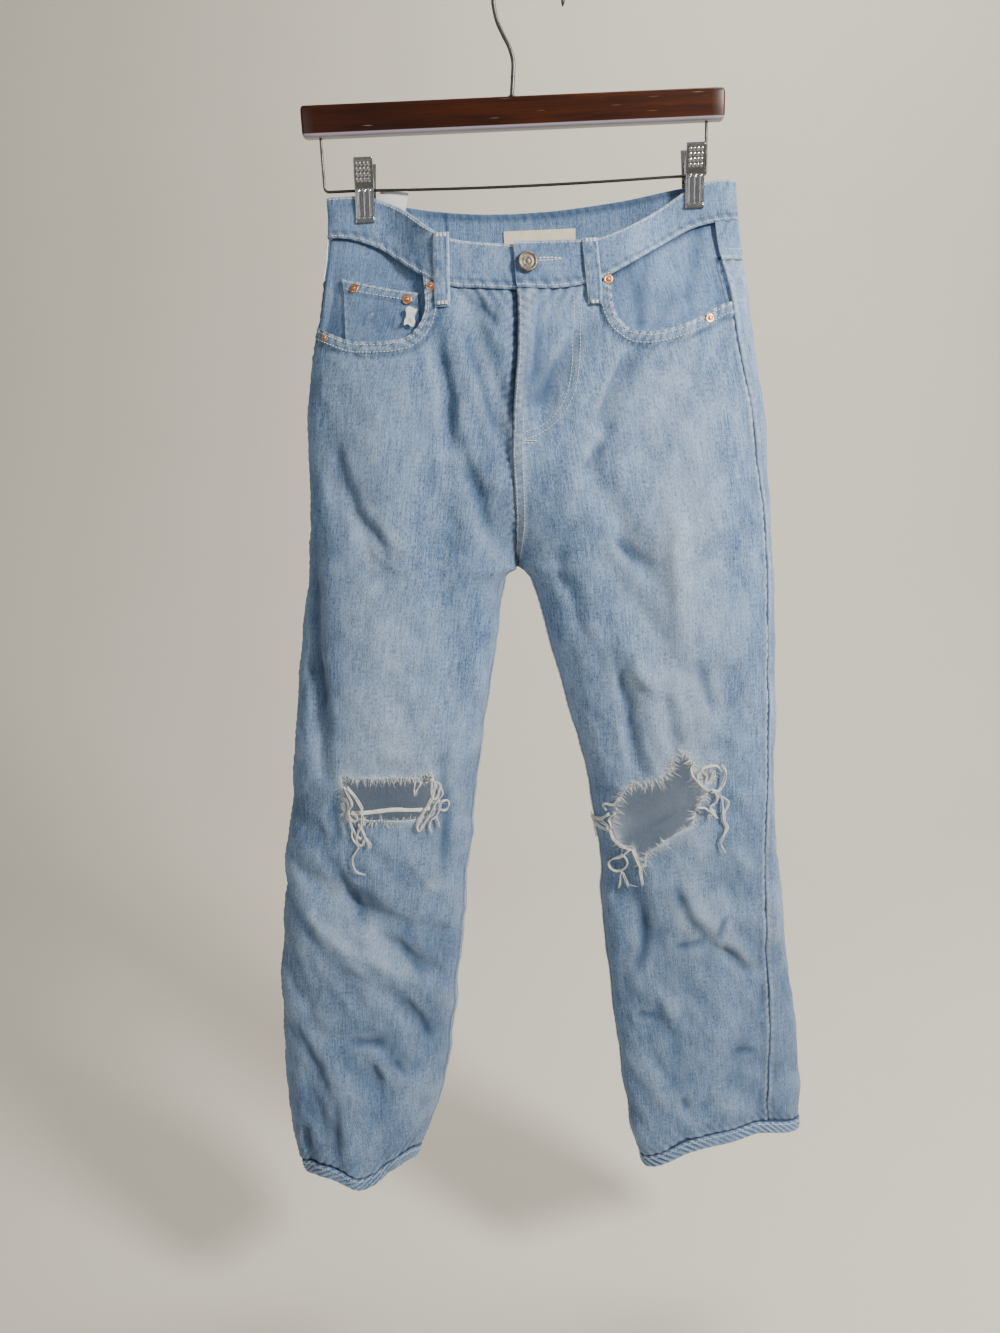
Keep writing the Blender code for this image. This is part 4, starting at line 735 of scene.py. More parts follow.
def rounded(points, step, closed=False, bend=0.5):
    """A smooth line through points, with a place about every step."""
    points = np.asarray(points, float)
    if closed:
        points = np.concatenate([points[-1:], points, points[:2]])
    else:
        points = np.concatenate([[2 * points[0] - points[1]], points, [2 * points[-1] - points[-2]]])
    made = []
    for a, b, c, d in zip(points[:-3], points[1:-2], points[2:-1], points[3:]):
        count = max(1, int(round(np.linalg.norm(c - b) / step)))
        t = (np.arange(count) / count)[:, None]
        size = 2 * bend * np.linalg.norm(c - b)
        first = size * (c - a) / max(np.linalg.norm(c - a), 1e-9)
        last = size * (d - b) / max(np.linalg.norm(d - b), 1e-9)
        made.append(b * (2 * t**3 - 3 * t**2 + 1) + c * (3 * t**2 - 2 * t**3)
                    + first * (t**3 - 2 * t**2 + t) + last * (t**3 - t**2))
    if not closed:
        made.append(points[-2:-1])
    return np.concatenate(made)


def frayed(outline, seed, jitter=0.7):
    """A rip's outline with an uneven, thready edge."""
    line = rounded(outline, 1.6, closed=True, bend=0.35)
    turn = np.arange(len(line))
    ahead = np.roll(line, -1, axis=0) - np.roll(line, 1, axis=0)
    out = unit(np.stack([ahead[:, 1], -ahead[:, 0]], axis=1))
    amount = jitter * (0.6 * noise(turn / 1.7, 0.0, seed) + 0.6 * noise(turn / 5.0, 9.0, seed))
    return line + out * amount[:, None]


def edge_of(outline, low):
    """The part of a closed outline that lies below a height, as one open line."""
    line = rounded(outline, 1.5, closed=True, bend=0.42)
    below = line[:, 1] < low
    first = int(np.argmax(below & ~np.roll(below, 1)))
    return np.roll(line, -first, axis=0)[:int(below.sum())]


SCOOPS = {-1: SCOOP_LEFT, 1: SCOOP_RIGHT}
SCOOP_LINES = {half: rounded(outline, 1.5, closed=True, bend=0.42) for half, outline in SCOOPS.items()}
SCOOP_EDGE = {half: edge_of(outline, -205.0) for half, outline in SCOOPS.items()}
SMALL_RING = [(RIP_SMALL[0] + (RIP_SMALL[2] + 0.4) * math.cos(a), RIP_SMALL[1] + (RIP_SMALL[2] + 0.4) * math.sin(a))
              for a in np.linspace(0, 2 * math.pi, 12, endpoint=False)]
RIP_LINES = {-1: [frayed(RIP_LEFT, 51)], 1: [frayed(RIP_RIGHT, 52), frayed(SMALL_RING, 53, 0.5)]}


# ---- The cloth's surface, finely ---------------------------------------------

def at(half, s, z):
    """Places on the cloth and the directions out of it; beyond the centre seam it runs on."""
    shape, s, z = laid_out(s, z)
    place, out = np.empty((len(s), 3)), np.empty((len(s), 3))
    whole = marks(half, z)[3]
    other = (z > CROTCH) & ((s < 0) | (s > whole))
    for side, chosen in ((half, ~other), (-half, other)):
        index = np.nonzero(chosen)[0]
        for k in range(0, len(index), 6000):
            part = index[k:k + 6000]
            level, arc = z[part], s[part]
            if side != half:
                far = marks(side, level)[3]
                arc = np.where(arc < 0, -arc, far - (arc - whole[part]))
            place[part], out[part] = face_at(side, arc, level)
    return place.reshape(shape + (3,)), out.reshape(shape + (3,))


def spread(count, ends):
    """Shares from 0 to 1 that lie closer together near both ends."""
    v = np.linspace(0, 1, count)
    return (1 - ends) * v + ends * eased(v)


def upper_line(half, front, u):
    """Height of a leg panel's upper edge at shares u."""
    level = np.full(np.shape(u), WAIST_LEVEL)
    round_it = panel_arc(half, front, u, level)
    return waist_height(half, "seam" if front else "yoke", round_it)


def fades_and_painted_light(half, front, x, z):
    """How much paler (above 0) or darker each place is: the wash's own fading and painted light and shade."""
    total = np.zeros(np.shape(x))
    for fx, fz, rx, rz, amount in FADES_AND_PAINTED_LIGHT[front]:
        total += amount * np.exp(-((x - fx) / rx) ** 2 - ((z - fz) / rz) ** 2)
    return total


def panel_relief(half, front, s, z, x, look):
    """Fine shape of a leg panel: lift, and for each place its wear and painted highlight, its painted shade and
    darker wash, and how blue it is.
    """
    seed = 11 + 7 * (half > 0) + 3 * front
    seam_in, seam_out, _, whole = (m.reshape(np.shape(z)) for m in marks(half, np.ravel(z)))
    first = seam_in if front else whole + seam_in
    from_in = np.abs(s - first)
    from_out = np.abs(seam_out - s)
    inside = np.where(front, (s >= first) & (s <= seam_out), (s <= first) & (s >= seam_out))
    from_in = np.where(inside | (from_in > from_out), from_in, -from_in)
    from_out = np.where(inside | (from_out > from_in), from_out, -from_out)
    u = np.clip((s - first) / (seam_out - first), 0, 1)
    from_top = upper_line(half, front, u) - z
    from_low = z - fine_hem(half, front, u) - HEM_HEIGHT - 2 * SEAM
    below = eased((CROTCH - 6 - z) / 10)
    above = 1 - below

    wrinkle = (0.50 * noise(s / 12, z / 27, seed) + 0.40 * noise((s + 0.5 * z) / 19, (z - 0.5 * s) / 13, seed + 1)
               + 0.28 * noise(s / 5.0, z / 11.0, seed + 2) + 0.14 * noise(s / 2.6, z / 5.5, seed + 3))
    wrinkle = wrinkle * look.wrinkle_depth * 1000
    relief = wrinkle.copy()
    # wear and painted highlight on the wrinkles' crests, painted shade in their troughs
    wear_and_highlight = 0.22 * bound(wrinkle)
    shade = 0.20 * bound(-wrinkle)
    tint = np.zeros(np.shape(z))
    for depth, wide, line in CREASES[half, front]:
        away, along = nearest(x, z, line)[:2]
        taper = tapered(along, line, 0.3)
        core = bump(away, 0, wide) * taper
        broad = bump(away, 0, 3.4 * wide) * np.sqrt(taper)
        rim = bump(away, 2.3 * wide, wide) * taper
        relief += look.crease_depth * depth * (0.9 * core + 0.7 * broad - 0.25 * rim)
        # a trough gets painted shade along it and painted highlight on its rims; a ridge gets wear and painted
        # highlight
        if depth < 0:
            shade += 0.34 * core + 0.10 * broad
            wear_and_highlight += 0.16 * rim
        else:
            wear_and_highlight += 0.20 * core + 0.14 * broad
    # slanting folds, strongest below the knee, the same on both sides of a side seam, with painted shade in
    # their troughs and painted highlight on their crests; the legs darken towards the hem, partly the wash and partly
    # painted shade
    both = 31 + 7 * (half > 0)
    lower = 0.35 * eased((-290 - z) / 70) + 0.65 * eased((-620 - z) / 140)
    slant = (noise((x + 0.75 * z) / 27, (z - 0.75 * x) / 84, both)
             + 0.5 * noise((x + 0.6 * z) / 12, (z - 0.6 * x) / 46, both + 1))
    relief += 1.9 * look.crease_depth * lower * slant
    shade += lower * 0.24 * bound(-slant - 0.05) + 0.26 * eased((-560 - z) / 420)
    wear_and_highlight += lower * 0.26 * bound(slant - 0.1)

    pull = look.pucker_depth * 1000
    # side seam: painted shade in its groove, between two pale, worn, puckered edges; wear and painted highlight on
    # the puckers' crests, painted shade in their troughs
    rough = puckers(z, from_out, 8.5, 7.0, seed + 4)
    relief += pull * (0.7 * rough + 0.5 * bump(from_out, 3.2, 2.2) - 0.8 * np.exp(-np.abs(from_out) / 0.9))
    wear_and_highlight += 0.40 * bump(from_out, 2.4, 1.8) + 0.30 * bound(rough)
    shade += 0.75 * bump(from_out, 0, 0.8) + 0.30 * bound(-rough) + 0.12 * bump(from_out, 7.5, 3)
    # inseam, felled flat with two rows of stitches, and above the crotch the rise; wear and painted highlight on the
    # band and the puckers' crests, painted shade in the grooves and troughs
    felled = eased(from_in / 1.2) * eased((8.6 - from_in) / 1.2)
    rough = puckers(z, np.abs(from_in - 4.5), 6.5, 5.5, seed + 6)
    on_band = felled * (1.0 if front else 0.0)
    relief += pull * below * (1.1 * on_band + 0.5 * rough * (on_band + 0.3) - 0.6 * bump(from_in, 0, 0.9))
    wear_and_highlight += below * (0.30 * on_band + 0.35 * bound(rough) * on_band + 0.25 * bump(from_in, 1.2, 1.2))
    shade += below * (0.5 * bump(from_in, 0, 0.8) + 0.30 * bump(from_in, 9.4, 1.2) * front
                      + 0.3 * bound(-rough) * on_band)
    rough = puckers(z, from_in, 7.5, 11.0, seed + 8)
    rise_band = eased(from_in / 1.0) * eased((11 - from_in) / 1.5) * (half > 0)
    relief += pull * above * (0.7 * rise_band + 0.75 * rough - 0.5 * bump(from_in, 0, 0.9))
    wear_and_highlight += above * (0.22 * rise_band + 0.5 * bound(rough) + 0.45 * bump(from_in, 1.0, 1.3))
    shade += above * (0.45 * bump(from_in, 0, 0.9) + 0.40 * bound(-rough))
    tint += above * 0.5 * bump(from_in, 0, 14)
    # under the waistband or the yoke, and over the hem: wear and painted highlight on the puckers' crests, painted
    # shade in their troughs and along both seam lines
    rough = puckers(s, from_top, 10.5, 17.0, seed + 9)
    relief += pull * (0.8 * rough - 0.8 * bump(from_top, 0, 1.2))
    wear_and_highlight += 0.28 * bound(rough)
    shade += 0.30 * bound(-rough) + 0.6 * bump(from_top, 0, 1.4)
    rough = puckers(s, from_low, 9.0, 13.0, seed + 10)
    relief += pull * (0.9 * rough - 0.9 * bump(from_low, 0, 1.0))
    wear_and_highlight += 0.25 * bound(rough) + 0.2 * bump(from_low, 3, 2)
    shade += 0.25 * bound(-rough) + 0.6 * bump(from_low, 0, 1.2)
    tint += 0.35 * bump(from_low, 0, 9)

    if front:
        # the pocket's opening: a pale, worn edge, wear and painted highlight on the puckers' crests, painted shade in
        # their troughs and in the groove behind the stitched band
        scoop = SCOOP_EDGE[half]
        near, along = nearest(x, z, scoop)[:2]
        near = np.where(z > upper_line(half, front, u) + 4, 99.0, near)
        rough = puckers(along, near, 6.8, 8.5, seed + 12)
        edge = eased((10.5 - near) / 1.6)
        relief += pull * (1.2 * edge + 0.9 * rough - 0.5 * bump(near, 0, 1.0) - 0.5 * bump(near, 11.5, 1.6))
        wear_and_highlight += 0.60 * bump(near, 0.8, 1.6) + 0.60 * bound(rough) * edge
        shade += 0.90 * bound(-rough) * edge + 0.6 * bump(near, 11.5, 1.6)
        for line in RIP_LINES[half]:
            near, along = nearest(x, z, np.concatenate([line, line[:1]]))[:2]
            curl = 0.6 + 0.5 * noise(along / 9.0, 3.0, seed + 13)
            relief += 1.1 * curl * bump(near, 0, 3.0) + 0.35 * puckers(along, near, 5.0, 9.0, seed + 14)
            wear_and_highlight += 0.75 * bump(near, 0, 2.2) + 0.25 * bump(near, 0, 8.0)
        if half > 0:
            # the fly's stitched lap: wear and painted highlight on its ribs, painted shade between them
            lap = eased((z + 352) / 12) * eased((-214 - z) / 10)
            ribs = noise((x - 0.12 * z) / 3.4, z / 34.0, seed + 15) * bump(x, -4, 15.0)
            relief += lap * 0.7 * ribs
            wear_and_highlight += lap * 0.55 * bound(ribs)
            shade += lap * 0.5 * bound(-ribs)
            tint += lap * 0.6 * bump(x, -4, 16.0)
        else:
            # the left front sinks under the fly's lap, with painted shade in the gap
            gap = eased((z + 362) / 16) * eased((-208 - z) / 10)
            relief -= 3.0 * gap * bump(np.maximum(from_in, 0), 0, 4.5)
            shade += 0.7 * gap * bump(np.maximum(from_in, 0), 0, 4.5)
    # the wash: the denim's own fading, and painted light and shade
    wash_and_painted_light = fades_and_painted_light(half, front, x, z)
    wear_and_highlight += bound(wash_and_painted_light)
    shade += bound(-wash_and_painted_light)
    # beyond a seam the cloth goes on under its neighbour, painted darker there as shade
    under = np.maximum(eased(-from_in / 1.2), eased(-from_out / 1.2))
    under = np.maximum(under, np.maximum(eased(-from_top / 1.2), eased(-from_low / 1.2)))
    deeper = 2.6 + (4.2 * gap * (from_in < 0) if front and half < 0 else 0)
    relief = relief * (1 - under) - under * look.cloth_thickness * 1000 * deeper
    return relief, wear_and_highlight, shade + 0.4 * under, tint


def fine_hem(half, front, u):
    """Height of the leg's lower edge, as a smooth line."""
    name = ("front_" if front else "back_") + ("left" if half < 0 else "right")
    return curve(bound(u), HEMS["share"], HEMS[name])


# ---- Meshes ------------------------------------------------------------------

ENDINGS = {"wood": "_wood", "thread": "_yarn", "copper": "_metal", "nickel": "_metal", "chrome": "_metal",
           "steel": "_metal"}


def add_piece(name, points, faces, stuffs, slot, nodes=(), which=None, cloth=None, tones=None, angle=55):
    """A named piece from points in millimetres, which stands for CAD nodes and rides with them."""
    if name in bpy.data.objects:
        name += ENDINGS.get(slot, "_cloth")
    mesh = bpy.data.meshes.new(name)
    mesh.from_pydata((np.asarray(points) * MM).tolist(), [], [list(map(int, f)) for f in faces])
    mesh.shade_smooth()
    if angle:
        mesh.set_sharp_from_angle(angle=math.radians(angle))
    for stuff in stuffs:
        mesh.materials.append(material_of(stuff))
    if which is not None:
        mesh.polygons.foreach_set("material_index", np.asarray(which, np.int32))
    if cloth is not None:
        kept = mesh.attributes.new("cloth", "FLOAT_VECTOR", "POINT")
        kept.data.foreach_set("vector", np.asarray(cloth, np.float32).ravel())
    if tones is not None:
        kept = mesh.attributes.new("marks", "FLOAT_COLOR", "POINT")
        kept.data.foreach_set("color", np.asarray(tones, np.float32).ravel())
    made = bpy.data.objects.new(name, mesh)
    bpy.context.scene.collection.objects.link(made)
    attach(made, "root")
    if nodes:
        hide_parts(*nodes)
    return made


def clipped(cells, layers, value):
    """Cells of a grid where value is above 0, cut along the line where it is 0."""
    corner = value[cells]
    whole = cells[(corner >= 0).all(axis=1) & (corner > 0).any(axis=1)]
    mixed = cells[(corner < 0).any(axis=1) & (corner > 0).any(axis=1)]
    new, pieces, count = {}, [], len(value)
    for cell in mixed.tolist():
        loop = []
        for a, b in zip(cell, cell[1:] + cell[:1]):
            if value[a] >= 0:
                loop.append(a)
            if value[a] * value[b] < 0:
                loop.append(new.setdefault((min(a, b), max(a, b)), count + len(new)))
        if len(loop) > 2:
            pieces.append(loop)
    ends = np.array(list(new), int).reshape(-1, 2)
    share = (value[ends[:, 0]] / (value[ends[:, 0]] - value[ends[:, 1]]))[:, None]
    layers = [layer if layer is None else np.concatenate(
        [layer, layer[ends[:, 0]] * (1 - share) + layer[ends[:, 1]] * share]) for layer in layers]
    return whole, pieces, layers


def shell(name, outer, inner, stuffs, slot, nodes=(), field=None, cloth=None, tones=None, angle=55):
    """A closed sheet between two grids; it is cut away where field is below 0."""
    rows, cols = outer.shape[:2]
    index = np.arange(rows * cols).reshape(rows, cols)
    cells = np.stack([index[:-1, :-1], index[:-1, 1:], index[1:, 1:], index[1:, :-1]], axis=-1).reshape(-1, 4)
    layers = [outer.reshape(-1, 3), inner.reshape(-1, 3), cloth if cloth is None else cloth.reshape(-1, 3),
              tones if tones is None else tones.reshape(-1, 4)]
    pieces = []
    if field is not None:
        cells, pieces, layers = clipped(cells, layers, field.ravel())
    outer, inner, cloth, tones = layers
    sample = cells[::7]
    a, b, c = (outer[sample[:, k]] for k in (0, 1, 2))
    facing = np.einsum("ij,ij->i", np.cross(b - a, c - a), a - inner[sample[:, 0]])
    front = cells.tolist() + pieces
    if np.median(facing) < 0:
        front = [face[::-1] for face in front]
    back = len(outer)
    start = np.concatenate([np.array(face) for face in front])
    end = np.concatenate([np.array(face[1:] + face[:1]) for face in front])
    lone = ~np.isin(end * back + start, start * back + end)
    start, end = start[lone], end[lone]
    rim = np.stack([end, start, start + back, end + back], axis=1).tolist()
    faces = front + [[i + back for i in face[::-1]] for face in front] + rim
    which = [0] * len(front) + [len(stuffs) - 1] * (len(front) + len(rim))
    used = np.unique(np.concatenate([start, end, np.concatenate([np.array(face) for face in front])]))
    used = np.concatenate([used, used + back])
    place = np.zeros(2 * back, int)
    place[used] = np.arange(len(used))
    faces = [[int(place[i]) for i in face] for face in faces]
    points = np.concatenate([outer, inner])[used]
    cloth = cloth if cloth is None else np.concatenate([cloth, cloth])[used]
    tones = tones if tones is None else np.concatenate([tones, tones])[used]
    return add_piece(name, points, faces, stuffs, slot, nodes, which, cloth, tones, angle)


def as_marks(wear_and_highlight, shade, tint):
    """Wear and painted highlight, painted shade and how blue each place is, as a colour."""
    wear_and_highlight, shade, tint = (bound(v) for v in np.broadcast_arrays(wear_and_highlight, shade, tint))
    return np.stack([wear_and_highlight, shade, tint, np.ones_like(wear_and_highlight)], axis=-1)


def cloth_sheet(name, half, s, z, relief, tones, look, seed, stuffs=("denim", "denim inside"), slot="denim",
                thick=None, field=None):
    """A cloth piece over distances and heights, with its relief; it stands for the node of its name."""
    place, out = at(half, s, z)
    thick = look.cloth_thickness * 1000 if thick is None else thick
    outer = place + out * np.broadcast_to(relief, z.shape)[..., None]
    cloth = np.stack([s - marks(half, z)[2] + 300 * seed, z, np.full(z.shape, float(seed))], axis=-1)
    shell(name, outer, outer - out * thick, stuffs, slot, (name,), field, cloth, tones)


def round_bars(paths, radii, sides):
    """Points and faces of round strands; each path is an array of places."""
    points, faces, count = [], [], 0
    ring = np.linspace(0, 2 * math.pi, sides, endpoint=False)
    for path, radius in zip(paths, radii):
        path = np.asarray(path, float)
        ahead = unit(np.gradient(path, axis=0))
        start = np.array([0.0, 1.0, 0.0]) if abs(ahead[0][1]) < 0.9 else np.array([1.0, 0.0, 0.0])
        radius = np.broadcast_to(radius, (len(path),))
        for place, way, size in zip(path, ahead, radius):
            start = start - way * np.dot(start, way)
            start /= max(np.linalg.norm(start), 1e-9)
            side = np.cross(way, start)
            points.append(place + size * (np.cos(ring)[:, None] * start + np.sin(ring)[:, None] * side))
        for i in range(len(path) - 1):
            for k in range(sides):
                a, b = count + i * sides + k, count + i * sides + (k + 1) % sides
                faces.append((a, b, b + sides, a + sides))
        faces.append(tuple(count + k for k in range(sides - 1, -1, -1)))
        faces.append(tuple(count + (len(path) - 1) * sides + k for k in range(sides)))
        count += len(path) * sides
    return np.concatenate(points), faces


def spun(outline, place, way, sides):
    """Points and faces of a turned shape; outline is (radius, height) from base to tip."""
    way = np.asarray(way, float) / np.linalg.norm(way)
    first = np.cross(way, (0.0, 0.0, 1.0))
    first /= np.linalg.norm(first)
    second = np.cross(way, first)
    ring = np.linspace(0, 2 * math.pi, sides, endpoint=False)
    turned = np.cos(ring)[:, None] * first + np.sin(ring)[:, None] * second
    points = np.concatenate([place + way * height + radius * turned for radius, height in outline])
    faces = []
    for i in range(len(outline) - 1):
        for k in range(sides):
            a, b = i * sides + k, i * sides + (k + 1) % sides
            faces.append((a, b, b + sides, a + sides))
    faces.append(tuple(range(sides - 1, -1, -1)))
    faces.append(tuple((len(outline) - 1) * sides + k for k in range(sides)))
    return points, faces


def ring_index(rows, cols):
    """Numbers of a grid's points, with the first column again after the last."""
    index = np.arange(rows * cols).reshape(rows, cols)
    return np.concatenate([index, index[:, :1]], axis=1)


def cells_of(index):
    """Faces between neighbouring rows and columns."""
    return np.stack([index[:-1, :-1], index[1:, :-1], index[1:, 1:], index[:-1, 1:]], axis=-1).reshape(-1, 4)


def capped(index):
    """Faces of a tube with a flat cap at each end."""
    return [tuple(c) for c in cells_of(index)] + [tuple(index[0, :-1]), tuple(index[-1, :-1][::-1])]


def joined(shapes):
    """Several shapes as one."""
    points, faces, count = [], [], 0
    for more_points, more_faces in shapes:
        faces += [tuple(i + count for i in face) for face in more_faces]
        points.append(np.asarray(more_points))
        count += len(more_points)
    return np.concatenate(points), faces


SEWING = {}


def sew(group, places, outs, look, thick=0.36, gap=0.28):
    """Adds a row of stitches along places that already lie on the cloth."""
    steps = np.linalg.norm(np.diff(places, axis=0), axis=1)
    length = np.concatenate([[0], np.cumsum(steps)])
    pitch = look.stitch_length * 1000
    starts = np.arange(0.2 * pitch, length[-1] - pitch, pitch)
    if not len(starts):
        return
    def along(d, values):
        return np.stack([np.interp(d, length, values[:, k]) for k in range(3)], axis=1)
    stations = []
    for share, sink, wide in ((0.0, -0.25, 0.35), (0.16, 0.10, 0.9), (0.5, 0.26, 1.0), (0.84, 0.10, 0.9),
                              (1.0, -0.25, 0.35)):
        d = starts + share * pitch * (1 - gap)
        stations.append((along(d, places) + along(d, outs) * sink, wide * thick))
    way = unit(stations[-1][0] - stations[0][0])
    out = along(starts, outs)
    side = np.cross(way, out)
    rings = []
    for centre, size in stations:
        rings += [centre + out * size * 0.8, centre + side * size, centre - out * size * 0.8, centre - side * size]
    points = np.stack(rings, axis=1).reshape(-1, 3)
    base = np.arange(len(starts))[:, None] * 20
    faces = []
    for i in range(4):
        for k in range(4):
            a, b = i * 4 + k, i * 4 + (k + 1) % 4
            faces.append(base + np.array([[a, b, b + 4, a + 4]]))
    faces += [base + np.array([[3, 2, 1, 0]]), base + np.array([[16, 17, 18, 19]])]
    SEWING.setdefault(group, []).append((points, [tuple(f) for f in np.concatenate(faces)]))


def sew_cloth(group, half, s, z, lift, look, **more):
    """A row of stitches at a lift over the cloth's plain face."""
    place, out = at(half, s, z)
    sew(group, place + out * np.broadcast_to(lift, np.shape(z))[:, None], out, look, **more)


def sew_panel(group, half, front, s, z, look, lift=0.1, **more):
    """A row of stitches on a leg panel."""
    relief = panel_relief(half, front, s, z, at(half, s, z)[0][:, 0], look)[0]
    sew_cloth(group, half, s, z, relief + lift, look, **more)


def finish_sewing():
    """Makes one piece of each group of stitches."""
    for group in list(SEWING):
        points, faces = joined(SEWING.pop(group))
        add_piece(group, points, faces, ["sewing thread"], "denim", angle=0)


# ---- Materials ---------------------------------------------------------------

KINDS = {"value": "NodeSocketFloat", "colour": "NodeSocketColor", "vector": "NodeSocketVector"}


def new_group(name, inputs, outputs):
    tree = bpy.data.node_groups.new(name, "ShaderNodeTree")
    for label, kind in inputs:
        tree.interface.new_socket(label, in_out="INPUT", socket_type=KINDS[kind])
    for label, kind in outputs:
        tree.interface.new_socket(label, in_out="OUTPUT", socket_type=KINDS[kind])
    return tree, tree.nodes.new("NodeGroupInput").outputs, tree.nodes.new("NodeGroupOutput").inputs


def put(tree, socket, value):
    """Feeds a socket from another one or sets its own value."""
    if isinstance(value, bpy.types.NodeSocket):
        tree.links.new(value, socket)
    else:
        socket.default_value = value


def sum_of(tree, operation, *values, clamp=False):
    made = tree.nodes.new("ShaderNodeMath")
    made.operation = operation
    made.use_clamp = clamp
    for socket, value in zip(made.inputs, values):
        put(tree, socket, value)
    return made.outputs[0]


def blend_of(tree, share, first, second):
    made = tree.nodes.new("ShaderNodeMix")
    made.data_type = "RGBA"
    put(tree, made.inputs[0], share)
    put(tree, made.inputs[6], first)
    put(tree, made.inputs[7], second)
    return made.outputs[2]


def scaled(tree, vector, x, y, z):
    made = tree.nodes.new("ShaderNodeVectorMath")
    made.operation = "MULTIPLY"
    put(tree, made.inputs[0], vector)
    made.inputs[1].default_value = (x, y, z)
    return made.outputs[0]


def noise_of(tree, vector, scale=1.0, detail=2.0, rough=0.5, twist=0.0):
    made = tree.nodes.new("ShaderNodeTexNoise")
    put(tree, made.inputs["Vector"], vector)
    made.inputs["Scale"].default_value = scale
    made.inputs["Detail"].default_value = detail
    made.inputs["Roughness"].default_value = rough
    made.inputs["Distortion"].default_value = twist
    return made.outputs[0]


def remap(tree, value, low, high, to_low=0.0, to_high=1.0):
    made = tree.nodes.new("ShaderNodeMapRange")
    put(tree, made.inputs[0], value)
    for socket, number in zip(list(made.inputs)[1:5], (low, high, to_low, to_high)):
        socket.default_value = number
    return made.outputs[0]


def object_place(tree):
    return tree.nodes.new("ShaderNodeTexCoord").outputs["Object"]


def denim_wash_and_painted_light():
    """The colour and the surface of washed denim: slubs, twill, fading, wear with painted highlight, and painted
    shade.
    """
    if "Denim wash" in bpy.data.node_groups:
        return bpy.data.node_groups["Denim wash"]
    tree, given, found = new_group(
        "Denim wash",
        [("Cloth", "vector"), ("Marks", "colour"), ("Light", "colour"), ("Deep", "colour"), ("Pale", "colour"),
         ("Blue", "colour"), ("Streak", "value"), ("Mottle", "value"), ("Wear", "value"), ("Shade", "value")],
        [("Color", "colour"), ("Height", "value")])
    cloth = given["Cloth"]
    slub = noise_of(tree, scaled(tree, cloth, 0.62, 0.050, 1), detail=3.0, rough=0.6)
    grain = noise_of(tree, scaled(tree, cloth, 1.05, 0.34, 1), detail=2.0, rough=0.6)
    weft = noise_of(tree, scaled(tree, cloth, 0.10, 0.85, 1), detail=2.0)
    broad = noise_of(tree, scaled(tree, cloth, 0.030, 0.016, 1), detail=2.0)
    patchy = noise_of(tree, scaled(tree, cloth, 0.16, 0.085, 1), detail=3.0, rough=0.6, twist=0.4)
    twill = tree.nodes.new("ShaderNodeTexWave")
    twill.wave_type, twill.bands_direction = "BANDS", "DIAGONAL"
    put(tree, twill.inputs["Vector"], scaled(tree, cloth, 1.0, 0.6, 0))
    twill.inputs["Scale"].default_value = 0.30
    twill.inputs["Distortion"].default_value = 0.6
    fine = sum_of(tree, "ADD", sum_of(tree, "MULTIPLY", sum_of(tree, "SUBTRACT", slub, 0.5), 1.3),
                  sum_of(tree, "MULTIPLY", sum_of(tree, "SUBTRACT", grain, 0.5), 1.5))
    fine = sum_of(tree, "ADD", fine, sum_of(tree, "MULTIPLY", sum_of(tree, "SUBTRACT", weft, 0.5), 0.5))
    fine = sum_of(tree, "MULTIPLY", fine, given["Streak"])
    wide = sum_of(tree, "ADD", sum_of(tree, "MULTIPLY", sum_of(tree, "SUBTRACT", broad, 0.5), 1.3),
                  sum_of(tree, "SUBTRACT", patchy, 0.5))
    wide = sum_of(tree, "MULTIPLY", wide, given["Mottle"])
    share = sum_of(tree, "ADD", sum_of(tree, "ADD", fine, wide), 0.52, clamp=True)
    share = sum_of(tree, "ADD", share, sum_of(tree, "MULTIPLY", twill.outputs[1], 0.06))
    base = blend_of(tree, share, given["Deep"], given["Light"])
    split = tree.nodes.new("ShaderNodeSeparateColor")
    put(tree, split.inputs[0], given["Marks"])
    # the marks: wear with painted highlight, painted shade, and bluer dye
    worn, shaded, blue = split.outputs[0], split.outputs[1], split.outputs[2]
    crisp = sum_of(tree, "MULTIPLY", worn, remap(tree, grain, 0.35, 0.65, 0.55, 1.15))
    base = blend_of(tree, sum_of(tree, "MULTIPLY", blue, 0.6, clamp=True), base, given["Blue"])
    base = blend_of(tree, sum_of(tree, "MULTIPLY", crisp, given["Wear"], clamp=True), base, given["Pale"])
    # painted shade: towards a near-black blue
    dark = blend_of(tree, 0.5, given["Deep"], (0.01, 0.02, 0.04, 1))
    base = blend_of(tree, sum_of(tree, "MULTIPLY", shaded, given["Shade"], clamp=True), base, dark)
    put(tree, found["Color"], base)
    height = sum_of(tree, "ADD", sum_of(tree, "MULTIPLY", slub, 0.35), sum_of(tree, "MULTIPLY", grain, 0.45))
    height = sum_of(tree, "ADD", height, sum_of(tree, "MULTIPLY", twill.outputs[1], 0.25))
    put(tree, found["Height"], height)
    return tree


def new_material(name, colour=(0.5, 0.5, 0.5), metallic=0.0, roughness=0.6):
    made = bpy.data.materials.new(name)
    made.use_nodes = True
    made.diffuse_color = (*colour, 1)
    shader = made.node_tree.nodes["Principled BSDF"]
    shader.inputs["Base Color"].default_value = (*colour, 1)
    shader.inputs["Metallic"].default_value = metallic
    shader.inputs["Roughness"].default_value = roughness
    return made, made.node_tree, shader


def bumped(tree, shader, height, distance, strength=1.0):
    made = tree.nodes.new("ShaderNodeBump")
    made.inputs["Strength"].default_value = strength
    made.inputs["Distance"].default_value = distance
    put(tree, made.inputs["Height"], height)
    put(tree, shader.inputs["Normal"], made.outputs[0])


